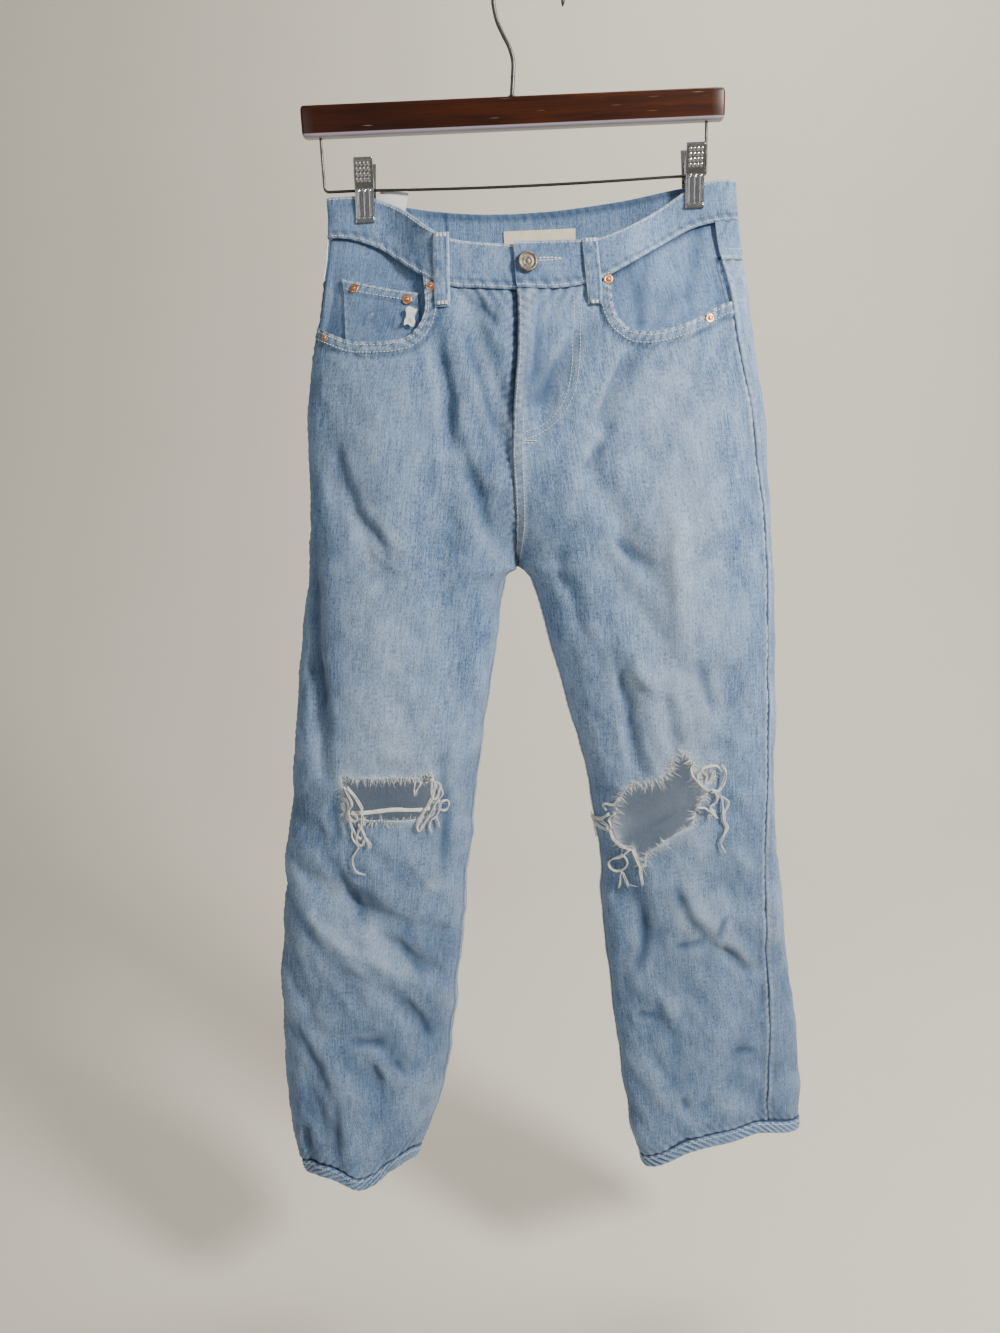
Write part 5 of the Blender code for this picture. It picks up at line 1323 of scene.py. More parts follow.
def denim_like(name, light, deep, pale, blue, streak, mottle, wear_and_highlight, shade, painted_glow=0.0):
    made, tree, shader = new_material(name, light, roughness=0.88)
    cloth = tree.nodes.new("ShaderNodeAttribute")
    cloth.attribute_name = "cloth"
    marked = tree.nodes.new("ShaderNodeAttribute")
    marked.attribute_name = "marks"
    wash_and_painted_light = tree.nodes.new("ShaderNodeGroup")
    wash_and_painted_light.node_tree = denim_wash_and_painted_light()
    put(tree, wash_and_painted_light.inputs["Cloth"], cloth.outputs["Vector"])
    put(tree, wash_and_painted_light.inputs["Marks"], marked.outputs["Color"])
    for label, value in (("Light", (*light, 1)), ("Deep", (*deep, 1)), ("Pale", (*pale, 1)), ("Blue", (*blue, 1)),
                         ("Streak", streak), ("Mottle", mottle), ("Wear", wear_and_highlight), ("Shade", shade)):
        wash_and_painted_light.inputs[label].default_value = value
    put(tree, shader.inputs["Base Color"], wash_and_painted_light.outputs["Color"])
    bumped(tree, shader, wash_and_painted_light.outputs["Height"], 0.0004, 0.8)
    shader.inputs["Sheen Weight"].default_value = 0.12
    shader.inputs["Sheen Roughness"].default_value = 0.6
    shader.inputs["Specular IOR Level"].default_value = 0.25
    # painted light: where a glow is given, the cloth glows faintly in its light colour, lifting the shaded inside of
    # the legs
    shader.inputs["Emission Color"].default_value = (*light, 1)
    shader.inputs["Emission Strength"].default_value = painted_glow
    return made


def make_denim(name):
    look = bpy.context.scene.jeans_look
    return denim_like(name, tuple(look.light_colour), tuple(look.deep_colour), tuple(look.worn_and_highlight_colour),
                      (0.060, 0.125, 0.255), 1.35, 0.60, look.wear_and_highlight, 1.15)


def fibre(name, colour, dark, scale=900.0, roughness=0.85):
    """Spun thread or plain woven cloth, with fine uneven fibres."""
    made, tree, shader = new_material(name, colour, roughness=roughness)
    place = object_place(tree)
    fuzz = noise_of(tree, place, scale, 3.0, 0.6)
    mottled = noise_of(tree, place, scale / 14, 2.0)
    share = sum_of(tree, "ADD", sum_of(tree, "MULTIPLY", fuzz, 0.7), sum_of(tree, "MULTIPLY", mottled, 0.4),
                   clamp=True)
    put(tree, shader.inputs["Base Color"], blend_of(tree, share, (*dark, 1), (*colour, 1)))
    bumped(tree, shader, fuzz, 0.0002, 0.6)
    shader.inputs["Specular IOR Level"].default_value = 0.25
    return made


def make_label(name):
    made, tree, shader = new_material(name, (0.72, 0.66, 0.52), roughness=0.7)
    place = object_place(tree)
    ribs = tree.nodes.new("ShaderNodeTexWave")
    ribs.bands_direction = "Z"
    put(tree, ribs.inputs["Vector"], place)
    ribs.inputs["Scale"].default_value = 420.0
    dirt = noise_of(tree, place, 120.0, 3.0)
    share = sum_of(tree, "ADD", sum_of(tree, "MULTIPLY", ribs.outputs[1], 0.25), dirt, clamp=True)
    put(tree, shader.inputs["Base Color"], blend_of(tree, share, (0.60, 0.50, 0.33, 1), (0.86, 0.78, 0.58, 1)))
    bumped(tree, shader, ribs.outputs[1], 0.0001, 0.7)
    return made


def metal(name, colour, dark, roughness, tarnish_scale, tarnish):
    """Metal with darker tarnish in patches and fine scratches."""
    made, tree, shader = new_material(name, colour, 1.0, roughness)
    place = object_place(tree)
    patches = remap(tree, noise_of(tree, place, tarnish_scale, 4.0, 0.65), 0.62 - 0.3 * tarnish, 0.75)
    scratches = noise_of(tree, scaled(tree, place, 1.0, 1.0, 0.12), 1500.0, 2.0)
    put(tree, shader.inputs["Base Color"], blend_of(tree, patches, (*colour, 1), (*dark, 1)))
    put(tree, shader.inputs["Roughness"], sum_of(
        tree, "ADD", sum_of(tree, "MULTIPLY", patches, 0.25),
        sum_of(tree, "ADD", sum_of(tree, "MULTIPLY", scratches, 0.12), roughness - 0.05)))
    bumped(tree, shader, scratches, 0.00005, 0.5)
    return made


def make_wood(name):
    made, tree, shader = new_material(name, (0.10, 0.028, 0.012), roughness=0.32)
    place = object_place(tree)
    grain = noise_of(tree, scaled(tree, place, 9.0, 160.0, 190.0), 1.0, 4.0, 0.6, 0.5)
    pores = noise_of(tree, scaled(tree, place, 60.0, 1400.0, 1500.0), 1.0, 2.0)
    broad = noise_of(tree, scaled(tree, place, 7.0, 30.0, 30.0), 1.0, 2.0)
    share = sum_of(tree, "ADD", sum_of(tree, "MULTIPLY", grain, 0.8), sum_of(tree, "MULTIPLY", broad, 0.5))
    share = remap(tree, share, 0.45, 0.85)
    colour = blend_of(tree, share, (0.008, 0.002, 0.001, 1), (0.036, 0.007, 0.001, 1))
    split = tree.nodes.new("ShaderNodeSeparateXYZ")
    put(tree, split.inputs[0], place)
    warm = remap(tree, split.outputs[0], -0.12, 0.06, 0.0, 0.5)
    colour = blend_of(tree, warm, colour, blend_of(tree, share, (0.022, 0.004, 0.001, 1), (0.095, 0.022, 0.003, 1)))
    strip = remap(tree, split.outputs[2], -0.1185, -0.1192)
    colour = blend_of(tree, strip, colour, (0.30, 0.27, 0.32, 1))
    scratch = noise_of(tree, scaled(tree, place, 25.0, 300.0, 700.0), 1.0, 1.0)
    scratched = remap(tree, scratch, 0.74, 0.78, 0.0, 0.5)
    colour = blend_of(tree, scratched, colour, (0.42, 0.28, 0.20, 1))
    put(tree, shader.inputs["Base Color"], colour)
    bumped(tree, shader, sum_of(tree, "ADD", pores, grain), 0.00012, 0.5)
    shader.inputs["Coat Weight"].default_value = 0.15
    shader.inputs["Coat Roughness"].default_value = 0.30
    shader.inputs["Specular IOR Level"].default_value = 0.2
    return made


def make_floor(name):
    made, tree, shader = new_material(name, (0.66, 0.64, 0.61), roughness=0.9)
    place = object_place(tree)
    soft = noise_of(tree, place, 3.0, 3.0)
    put(tree, shader.inputs["Base Color"], blend_of(tree, soft, (0.61, 0.575, 0.49, 1), (0.65, 0.615, 0.53, 1)))
    return made


# Each stuff: its material's name, the function that makes it and what the function is given.
STUFFS = {
    "denim": ("washed denim", make_denim),
    # the inside face: paler than the outside, lifted further as painted light and given a faint painted glow for the
    # shaded hollow of the legs
    "denim inside": ("denim inside", denim_like, (0.74, 0.80, 0.87), (0.46, 0.55, 0.66), (0.84, 0.86, 0.88),
                     (0.34, 0.44, 0.58), 1.2, 0.6, 0.6, 0.3, 0.05),
    "sewing thread": ("sewing thread", fibre, (0.78, 0.78, 0.74), (0.42, 0.47, 0.53)),
    "loose thread": ("loose thread", fibre, (0.86, 0.84, 0.78), (0.58, 0.56, 0.50)),
    "blue thread": ("blue thread", fibre, (0.50, 0.60, 0.70), (0.20, 0.30, 0.42)),
    "label cloth": ("label cloth", make_label),
    "care cloth": ("care cloth", fibre, (0.78, 0.78, 0.76), (0.62, 0.62, 0.60), 1400.0, 0.6),
    "pocket cotton": ("pocket cotton", fibre, (0.80, 0.80, 0.78), (0.60, 0.62, 0.62), 1100.0),
    "copper": ("worn copper", metal, (0.72, 0.36, 0.20), (0.20, 0.09, 0.05), 0.34, 420.0, 0.5),
    "aged nickel": ("aged nickel", metal, (0.24, 0.21, 0.17), (0.06, 0.05, 0.04), 0.48, 300.0, 0.8),
    "clip chrome": ("clip chrome", metal, (0.46, 0.46, 0.47), (0.16, 0.15, 0.15), 0.13, 260.0, 0.35),
    "dark steel": ("dark steel", metal, (0.10, 0.095, 0.09), (0.03, 0.028, 0.025), 0.34, 200.0, 0.4),
    "cherry wood": ("cherry wood", make_wood),
    "studio floor": ("studio floor", make_floor),
}


def material_of(stuff):
    """A stuff's material, made once."""
    name, maker, *values = STUFFS[stuff]
    return bpy.data.materials.get(name) or maker(name, *values)


# ---- Makers: denim -----------------------------------------------------------

HALVES = {"left": -1, "right": 1}


def leg_rows(count, front):
    """Shares down a leg panel, closer together at its ends and at a front's rip."""
    t = np.linspace(0, 1, 2000)
    dense = 1 + 0.9 * bump(t, 0.53, 0.09) * front + 1.0 * bump(t, 0, 0.03)
    dense += 1.2 * bump(1, t, 0.02)
    total = np.cumsum(dense)
    total = (total - total[0]) / (total[-1] - total[0])
    return np.interp(np.linspace(0, 1, count), total, t)


def make_panel(name, half, front, look, cols, rows):
    u = spread(cols, 0.5)
    upper = upper_line(half, front, u) - SEAM / 2
    lower = fine_hem(half, front, u) + HEM_HEIGHT + 2 * SEAM
    t = leg_rows(rows, front)[:, None]
    z = upper + (lower - upper) * t
    z = np.concatenate([upper[None] + 3.6, upper[None] + 1.0, z, lower[None] - 1.0, lower[None] - 3.4])
    s = panel_arc(half, front, np.broadcast_to(u, z.shape), z)
    # hidden allowances: a back runs on under its front, the left front under the fly
    below = eased((CROTCH - 8 - z[:, 0]) / 8)
    above = eased((z[:, 0] - CROTCH - 4) / 8)
    beyond = 5.0 if half < 0 else 0.25
    at_in = (0.25 if front else 4.2) * below + beyond * above + 0.05
    at_out = np.full(len(z), 0.25 if front else 4.2)
    toward_in = -1 if front else 1
    s = np.concatenate([(s[:, 0] + toward_in * at_in)[:, None], (s[:, 0] + toward_in * 0.3 * at_in)[:, None], s,
                        (s[:, -1] - toward_in * 0.3 * at_out)[:, None], (s[:, -1] - toward_in * at_out)[:, None]],
                       axis=1)
    z = np.concatenate([z[:, :1], z[:, :1], z, z[:, -1:], z[:, -1:]], axis=1)
    x = at(half, s, z)[0][..., 0]
    field = None
    if front:
        field = np.full(s.shape, 9.0)
        move_x, move_z = np.zeros(s.shape), np.zeros(s.shape)
        for line in RIP_LINES[half] + [SCOOP_LINES[half]]:
            away, _, to_x, to_z = nearest(x, z, np.concatenate([line, line[:1]]))
            signed = np.where(within(x, z, line), -away, away)
            close = away < 0.5
            move_x, move_z = np.where(close, to_x - x, move_x), np.where(close, to_z - z, move_z)
            field = np.minimum(field, np.where(close, 0.0, signed))
        s, z, x = s + half * move_x, z + move_z, x + move_x
    relief, *tones = panel_relief(half, front, s, z, x, look)
    cloth_sheet(name, half, s, z, relief, as_marks(*tones), look, 1 + 2 * (half > 0) + front, field=field)


def make_legs(look):
    for name, half in HALVES.items():
        make_panel("front_" + name, half, True, look, 104, 290)
        make_panel("back_" + name, half, False, look, 92, 250)


def make_yokes(look):
    for name, half in HALVES.items():
        u = spread(90, 0.3)
        level = np.full(u.shape, WAIST_LEVEL)
        arc = panel_arc(half, False, u, level)
        upper = waist_height(half, "seam", arc) + 3.4
        lower = waist_height(half, "yoke", arc) + SEAM / 2
        t = spread(34, 0.3)[:, None]
        z = upper + (lower - upper) * t
        s = panel_arc(half, False, np.broadcast_to(u, z.shape), z)
        from_top = (upper - 3.4) - z
        from_low = z - lower
        rough = puckers(s, from_low, 8.0, 12.0, 41 + half)
        second = puckers(s, np.maximum(from_top, 0), 10.0, 14.0, 43 + half)
        wrinkle = 0.5 * noise(s / 14, z / 20, 44 + half) + 0.3 * noise(s / 6, z / 9, 46 + half)
        pull = look.pucker_depth * 1000
        under = eased(-from_top / 1.2)
        relief = (0.5 + look.wrinkle_depth * 1000 * wrinkle
                  + pull * (0.7 * eased(from_low / 0.8) + 0.6 * rough + 0.6 * second))
        relief = relief * (1 - under) - 2.6 * look.cloth_thickness * 1000 * under
        # a worn lower edge, wear and painted highlight on the puckers' crests; painted shade in their troughs and
        # under the waistband
        wear_and_highlight = 0.45 * bump(from_low, 1.0, 1.4) + 0.3 * bound(rough) + 0.25 * bound(second)
        shade = 0.3 * bound(-rough) + 0.3 * bound(-second) + 0.4 * under
        cloth_sheet("yoke_" + name, half, s, z, relief, as_marks(wear_and_highlight, shade, 0.15), look, 6 + half)


def ring_columns():
    """Halves and distances at the waist all round, from the fly's left edge by the back to its right."""
    halves, arcs = [], []
    for half in (-1, 1):
        _, _, side, whole = (float(m[0]) for m in marks(half, np.array([WAIST_LEVEL])))
        steps = np.concatenate([np.arange(0.15, side - 9, 2.2), side + np.arange(-9, 9.1, 0.9),
                                np.arange(side + 10.5, whole - 1.0, 2.2), [whole - 0.2]])
        if half > 0:
            steps = steps[::-1]
        halves.append(np.full(len(steps), half))
        arcs.append(steps)
    return np.concatenate(halves), np.concatenate(arcs)


def waist_places(half, arc, share):
    """Distance and height on the waistband: arc at the waist, share 0 at its seam and 1 at its top."""
    level = np.array([WAIST_LEVEL])
    _, _, side, whole = (float(m[0]) for m in marks(half, level))
    top, seam = waist_height(half, "top", arc), waist_height(half, "seam", arc) + SEAM / 2
    z = seam + (top - seam) * share
    _, _, side_z, whole_z = (m.reshape(z.shape) for m in marks(half, z.ravel()))
    s = np.where(arc <= side, arc * side_z / side, whole_z - (whole - arc) * (whole_z - side_z) / (whole - side))
    return s, z


# The waistband's section: share of the way up from its seam, and lift off the cloth.
BAND_PROFILE = pairs("""
0.012 -0.6  -0.006 0  -0.01 0.55  0.005 1  0.05 1.15  0.1 1.1  0.16 0.95  0.24 0.9  0.34 0.9  0.45 0.9
0.56 0.9  0.66 0.9  0.76 0.9  0.85 0.95  0.91 1.1  0.96 1.1  0.99 0.85  1.005 0.2  1.008 -0.6  1 -1.3
0.97 -1.75  0.9 -1.85  0.8 -1.8  0.65 -1.75  0.5 -1.75  0.35 -1.75  0.2 -1.75  0.08 -1.75  0.04 -1.5
""")


def band_relief(half, arc, share, lift):
    """Puckers of the waistband's face at each place of its profile."""
    run = arc * half
    outside = lift > -0.7
    lean = 22.0 * share
    ripple = np.sin(2 * math.pi * (run + lean) / 9.5 + 2.6 * noise(run / 27, 1.0, 61))
    low = ripple * bump(share, 0.08, 0.20)
    high = np.sin(2 * math.pi * (run - lean) / 8.0 + 2.2 * noise(run / 21, 2.0, 62))
    high = high * bump(share, 0.93, 0.16)
    soft = 0.6 * noise((run + lean) / 13, share * 2.2, 63) + 0.4 * noise((run - lean) / 6, share * 4, 64)
    total = 0.35 * low + 0.30 * high + 0.40 * soft
    return total * (1.0 if outside else 0.5), outside


def make_waistband(look):
    halves, arcs = ring_columns()
    outer, cloth, marked = [], [], []
    run = np.concatenate([[0], np.cumsum(np.abs(np.diff(arcs)))])
    for share, lift in BAND_PROFILE:
        places, z_all = np.empty((len(arcs), 3)), np.empty(len(arcs))
        relief, outside = band_relief(halves, arcs, share, lift)
        for half in (-1, 1):
            chosen = halves == half
            s, z = waist_places(half, arcs[chosen], share)
            place, out = at(half, s, z)
            total = lift + relief[chosen] * look.pucker_depth * 1000
            places[chosen] = place + out * total[:, None]
            z_all[chosen] = z
        outer.append(places)
        cloth.append(np.stack([run + 2500, z_all, np.full(len(arcs), 9.0)], axis=-1))
        # wear and painted highlight on the puckers' crests and worn edges; painted shade in the troughs, along the
        # seam under the band and in the dip above its lower stitches; inside it is darker near the top and along a
        # seam line
        wear_and_highlight = 0.65 * bound(relief) + 0.45 * (0.93 < share and outside) + 0.30 * (0.03 < share < 0.09 and outside)
        shade = (0.85 * bound(-relief) + 0.6 * (share < 0.02 and lift < 0.6)
                 + 0.35 * (0.12 < share < 0.2 and outside))
        if not outside:
            seam_line = (halves < 0) * bump(places[:, 0], -77, 1.2)
            shade = shade + 0.55 * (share > 0.84) + 0.8 * seam_line
        near_fly = bump(places[:, 0], -5, 22.0) * (places[:, 1] < 0)
        marked.append(as_marks(wear_and_highlight, shade, 0.25 + 0.45 * near_fly))
    grid, cloth, marked = (np.stack(v, axis=1) for v in (outer, cloth, marked))
    made = add_piece("waistband", grid.reshape(-1, 3), capped(ring_index(*grid.shape[:2])), ["denim"], "denim",
                     ("waistband_left", "waistband_right", "waistband_back"), None, cloth.reshape(-1, 3),
                     marked.reshape(-1, 4), 50)
    outward(made)


def outward(made):
    """Turns a closed piece's faces outwards."""
    shape = bmesh.new()
    shape.from_mesh(made.data)
    bmesh.ops.recalc_face_normals(shape, faces=shape.faces)
    shape.to_mesh(made.data)
    shape.free()


# The hem's section: height over its lower edge, and lift off the cloth.
HEM_PROFILE = pairs("""
13.4 -1.5  14 -0.9  14.2 0  13.4 0.8  12 1.15  10 1.25  8 1.25  6 1.25  4 1.2  2.2 1.05  0.8 0.7  0.05 0
-0.15 -0.8  0.1 -1.6  0.9 -2.1  3 -2.35  6 -2.35  9 -2.3  12 -2.2
""")


def make_hems(look):
    for name, half in HALVES.items():
        turn = np.linspace(0, 2, 300, endpoint=False)
        front = turn <= 1
        u = np.where(front, turn, 2 - turn)
        low = np.where(front, fine_hem(half, True, u), fine_hem(half, False, u))
        grid, cloth, marked = [], [], []
        for up, lift in HEM_PROFILE:
            z = low + up
            s = np.where(front, panel_arc(half, True, u, z), panel_arc(half, False, u, z))
            place, out = at(half, s, z)
            rope = np.sin(2 * math.pi * (s + 1.1 * up) / 7.6 + 1.8 * noise(s / 30, 4.0, 71 + half))
            rope = rope * (0.7 + 0.3 * noise(s / 15, 5.0, 73 + half))
            outside = lift > -1.0
            amount = 0.62 * bump(up, 7, 6.5) if outside else 0.25
            grid.append(place + out * (lift + amount * rope * look.pucker_depth * 2000)[:, None])
            cloth.append(np.stack([s + 3500 + 400 * half, z, np.full(len(s), 12.0)], axis=-1))
            # wear and painted highlight on the rope's crests and a worn lower edge; painted shade in its troughs and
            # along its upper fold
            wear_and_highlight = 1.1 * bound(rope) ** 1.5 + 0.35 * bump(up, 0, 1.6)
            shade = 0.65 * bound(-rope) + (0.8 if up > 13.5 else 0.0)
            marked.append(as_marks(wear_and_highlight * outside, shade, 0.55))
        grid, cloth, marked = (np.stack(v, axis=1) for v in (grid, cloth, marked))
        index = ring_index(*grid.shape[:2])
        cells = cells_of(np.concatenate([index, index[:1]]))
        made = add_piece("hem_" + name, grid.reshape(-1, 3), cells, ["denim"], "denim",
                         ("hem_front_" + name, "hem_back_" + name), None, cloth.reshape(-1, 3),
                         marked.reshape(-1, 4), 60)
        outward(made)


# ---- Makers: pockets, fly, loops, labels --------------------------------------

def make_facings(look):
    level = np.array([WAIST_LEVEL])
    for name, half, inner_x, sunk in (("left", -1, -88, -1.3), ("right", 1, 50, -3.2)):
        outer = float(marks(half, level)[1][0]) + 1.0
        inner = float(arc_at(half, True, np.array([float(inner_x)]), level)[0])
        s = np.linspace(inner, outer, 64)
        upper = waist_height(half, "seam", s)
        rows = upper + (FACING_FOOT - upper) * np.linspace(0, 1, 54)[:, None]
        z = np.concatenate([upper[None] + 3.2, upper[None] + 1.0, rows])
        s = inner + (s - inner) * (marks(half, z)[1] + 1.0 - inner) / (outer - inner)
        x = at(half, s, z)[0][..., 0]
        wrinkle = 0.55 * noise((s + 0.6 * z) / 17, (z - 0.4 * s) / 21, 81 + half) + 0.35 * noise(s / 6, z / 9, 83)
        relief = facing_lift(z) + FACING_THICK + 0.8 * wrinkle
        # wear and painted highlight on the wrinkles' crests; painted shade in their troughs, in the folds and just
        # under the waistband
        wear_and_highlight, shade = 0.25 * bound(wrinkle), 0.25 * bound(-wrinkle)
        for depth, wide, line in FACING_FOLDS[half]:
            core = bump(nearest(x, z, line)[0], 0, wide)
            relief += depth * core
            shade += 0.30 * core
        relief += (sunk - relief) * eased((s - marks(half, z)[1] + 12) / 9)
        above = eased((z - upper + 1.2) / 1.6)
        relief += (-3.1 - relief) * above
        shade = shade + 0.5 * bump(upper, z, 3.0)
        cloth_sheet("facing_" + name, half, s, z, relief, as_marks(wear_and_highlight, shade, 0.55), look, 15 + half)


COIN_TOP, COIN_DROP = -233.0, 16.0      # height of the coin pocket's upper edge, and how far it falls inwards
BACK_POCKET_TOP = -312.0
BACK_POCKET_HALF, BACK_POCKET_FOOT_HALF = 70.0, 64.0
BACK_POCKET_SIDE, BACK_POCKET_LONG = 128.0, 152.0       # length at the sides and in the middle


def make_coin_pocket(look):
    u = spread(46, 0.4)
    left_x, right_x = -168.0, -103.0
    top = COIN_TOP - COIN_DROP * u
    z = top + (FACING_FOOT + 1.5 - top) * spread(44, 0.3)[:, None]
    x = np.broadcast_to(left_x + (right_x - left_x) * u, z.shape)
    s = arc_at(-1, True, x, z)
    from_top, from_left = top - z, x - left_x
    rough = puckers(x, from_top, 6.2, 9.0, 91)
    side = puckers(z, from_left, 7.0, 6.0, 92)
    hem = eased((9.5 - from_top) / 1.4)
    wrinkle = 0.5 * noise((s + z) / 16, (z - s) / 16, 93) + 0.3 * noise(s / 6, z / 8, 94)
    relief = facing_lift(z) + FACING_THICK + TOUCH + 1.4 + 0.6 * hem + 0.45 * rough + 0.3 * side + 0.5 * wrinkle
    fold_painted_shade = 0.0
    for depth, wide, line in COIN_FOLDS:
        away, along = nearest(x, z, line)[:2]
        core = bump(away, 0, 1.5 * wide) * tapered(along, line, 0.45)
        relief += 0.8 * depth * core
        fold_painted_shade = fold_painted_shade + 0.22 * core * (depth < 0)
    # worn edges, wear and painted highlight on the puckers' crests and wrinkles; painted shade in the troughs, in the
    # groove under the hem and in the folds
    wear_and_highlight = 0.6 * bump(from_top, 0.8, 1.2) + 0.4 * bound(rough) * hem + 0.35 * bump(from_left, 0.8, 1.2)
    shade = 0.45 * bound(-rough) * hem + 0.4 * bump(from_top, 10.5, 1.4) + fold_painted_shade
    cloth_sheet("coin_pocket", -1, s, z, relief, as_marks(wear_and_highlight + 0.2 * bound(wrinkle), shade, 0.5), look, 18)
    for drop in (1.8, 7.8):
        run = np.linspace(left_x + 1.5, right_x, 60)
        level = np.interp(run, (left_x, right_x), (COIN_TOP, COIN_TOP - COIN_DROP)) - drop
        sew_cloth("pocket_stitching", -1, arc_at(-1, True, run, level), level,
                  facing_lift(level) + FACING_THICK + TOUCH + 2.15, look)


def make_pocket_bag(look):
    u, v = np.linspace(0, 1, 14), np.linspace(0, 1, 18)[:, None]
    x = -112 + 8 * u - 3 * v + 1.2 * np.sin(9 * v + 1) * (u - 0.4)
    z = np.broadcast_to(-262 - 14 * v, x.shape) + 1.2 * np.sin(u * 5)
    s = arc_at(-1, True, x, z)
    relief = -DENIM + 1.2 + 0.9 * noise(x / 4, z / 4, 96)
    cloth_sheet("pocket_bag", -1, s, z, relief, None, look, 19, ("pocket cotton",), "pocketing", 0.6)


def make_back_pockets(look):
    for name, half, centre in (("left", -1, -117.0), ("right", 1, 80.0)):
        u = 2 * spread(64, 0.35) - 1
        v = spread(66, 0.35)[:, None]
        top = BACK_POCKET_TOP + np.interp(u, (-1, 1), (6.0, 0.0))
        foot = BACK_POCKET_TOP - np.interp(np.abs(u), (0, 1), (BACK_POCKET_LONG, BACK_POCKET_SIDE))
        z = top + (foot - top) * v
        wide = np.interp(v, (0, 1), (BACK_POCKET_HALF, BACK_POCKET_FOOT_HALF))
        x = centre - half * u * wide
        s = arc_at(half, False, x, z)
        edge = np.minimum(wide * (1 - np.abs(u)), z - foot)
        from_top = top - z
        rough = puckers(np.where(edge < 12, z + x, x), edge, 8.0, 8.0, 101 + half)
        second = puckers(x, from_top, 8.0, 10.0, 103 + half)
        hem = eased((13 - from_top) / 1.6)
        wrinkle = 0.5 * noise(s / 15, z / 22, 104 + half) + 0.3 * noise(s / 6, z / 9, 106 + half)
        pull = look.pucker_depth * 1000
        relief = (TOUCH + 1.5 + pull * (0.5 * rough + 0.5 * second + 0.5 * hem)
                  + 0.6 * look.wrinkle_depth * 1000 * wrinkle)
        relief -= 1.0 * np.exp(-edge / 0.9)
        # worn edges and hem, wear and painted highlight on the puckers' crests; painted shade in their troughs and in
        # the groove along the inner row of stitches
        wear_and_highlight = 0.5 * bump(edge, 1.0, 1.4) + 0.3 * bound(rough) + 0.25 * bound(second) + 0.15 * hem
        shade = 0.3 * bound(-rough) + 0.3 * bound(-second) + 0.3 * bump(edge, 9, 1.6)
        cloth_sheet("back_pocket_" + name, half, s, z, relief, as_marks(wear_and_highlight, shade, 0.1), look, 21 + half)
        rows = []
        for inset in (2.0, 8.5):
            across, corner = BACK_POCKET_HALF - inset, BACK_POCKET_FOOT_HALF - inset
            low, point = -BACK_POCKET_SIDE + 0.6 * inset, -BACK_POCKET_LONG + inset
            line = [(-across, -1.0), (-corner, low), (0, point), (corner, low), (across, -1.0)]
            line = rounded(line, 2.0, bend=0.08)
            rows.append((centre - half * line[:, 0], BACK_POCKET_TOP + line[:, 1]))
        for drop in (3.0, 11.5):
            row_x = np.linspace(centre - 67, centre + 67, 90)
            tilt = np.interp(-half * (row_x - centre), (-BACK_POCKET_HALF, BACK_POCKET_HALF), (6.0, 0.0))
            rows.append((row_x, BACK_POCKET_TOP + tilt - drop))
        for row_x, row_z in rows:
            sew_cloth("back_stitching", half, arc_at(half, False, row_x, row_z), row_z, TOUCH + 2.1, look)


def make_fly_shield():
    z = np.linspace(-254, -352, 60)[:, None]
    middle = smooth(SEAT, "middle", z.ravel())[:, None]
    grid, inner = (np.concatenate([on(-1, True, middle + np.linspace(-9, -1, 6), z, lift),
                                   on(1, True, middle + np.linspace(10, 20, 8), z, lift - 2.0)], axis=1)
                   for lift in (FLY_SHIELD_LIFT, FLY_SHIELD_LIFT - 1.2))
    cloth = np.stack([grid[..., 0] + 5200, grid[..., 2], np.full(grid.shape[:2], 25.0)], axis=-1)
    # painted shade over the whole shield, which lies back under the fly
    shell("fly_shield", grid, inner, ("denim", "denim inside"), "denim", ("fly_shield",), None, cloth,
                  as_marks(np.zeros(grid.shape[:2]), 0.35, 0.5))


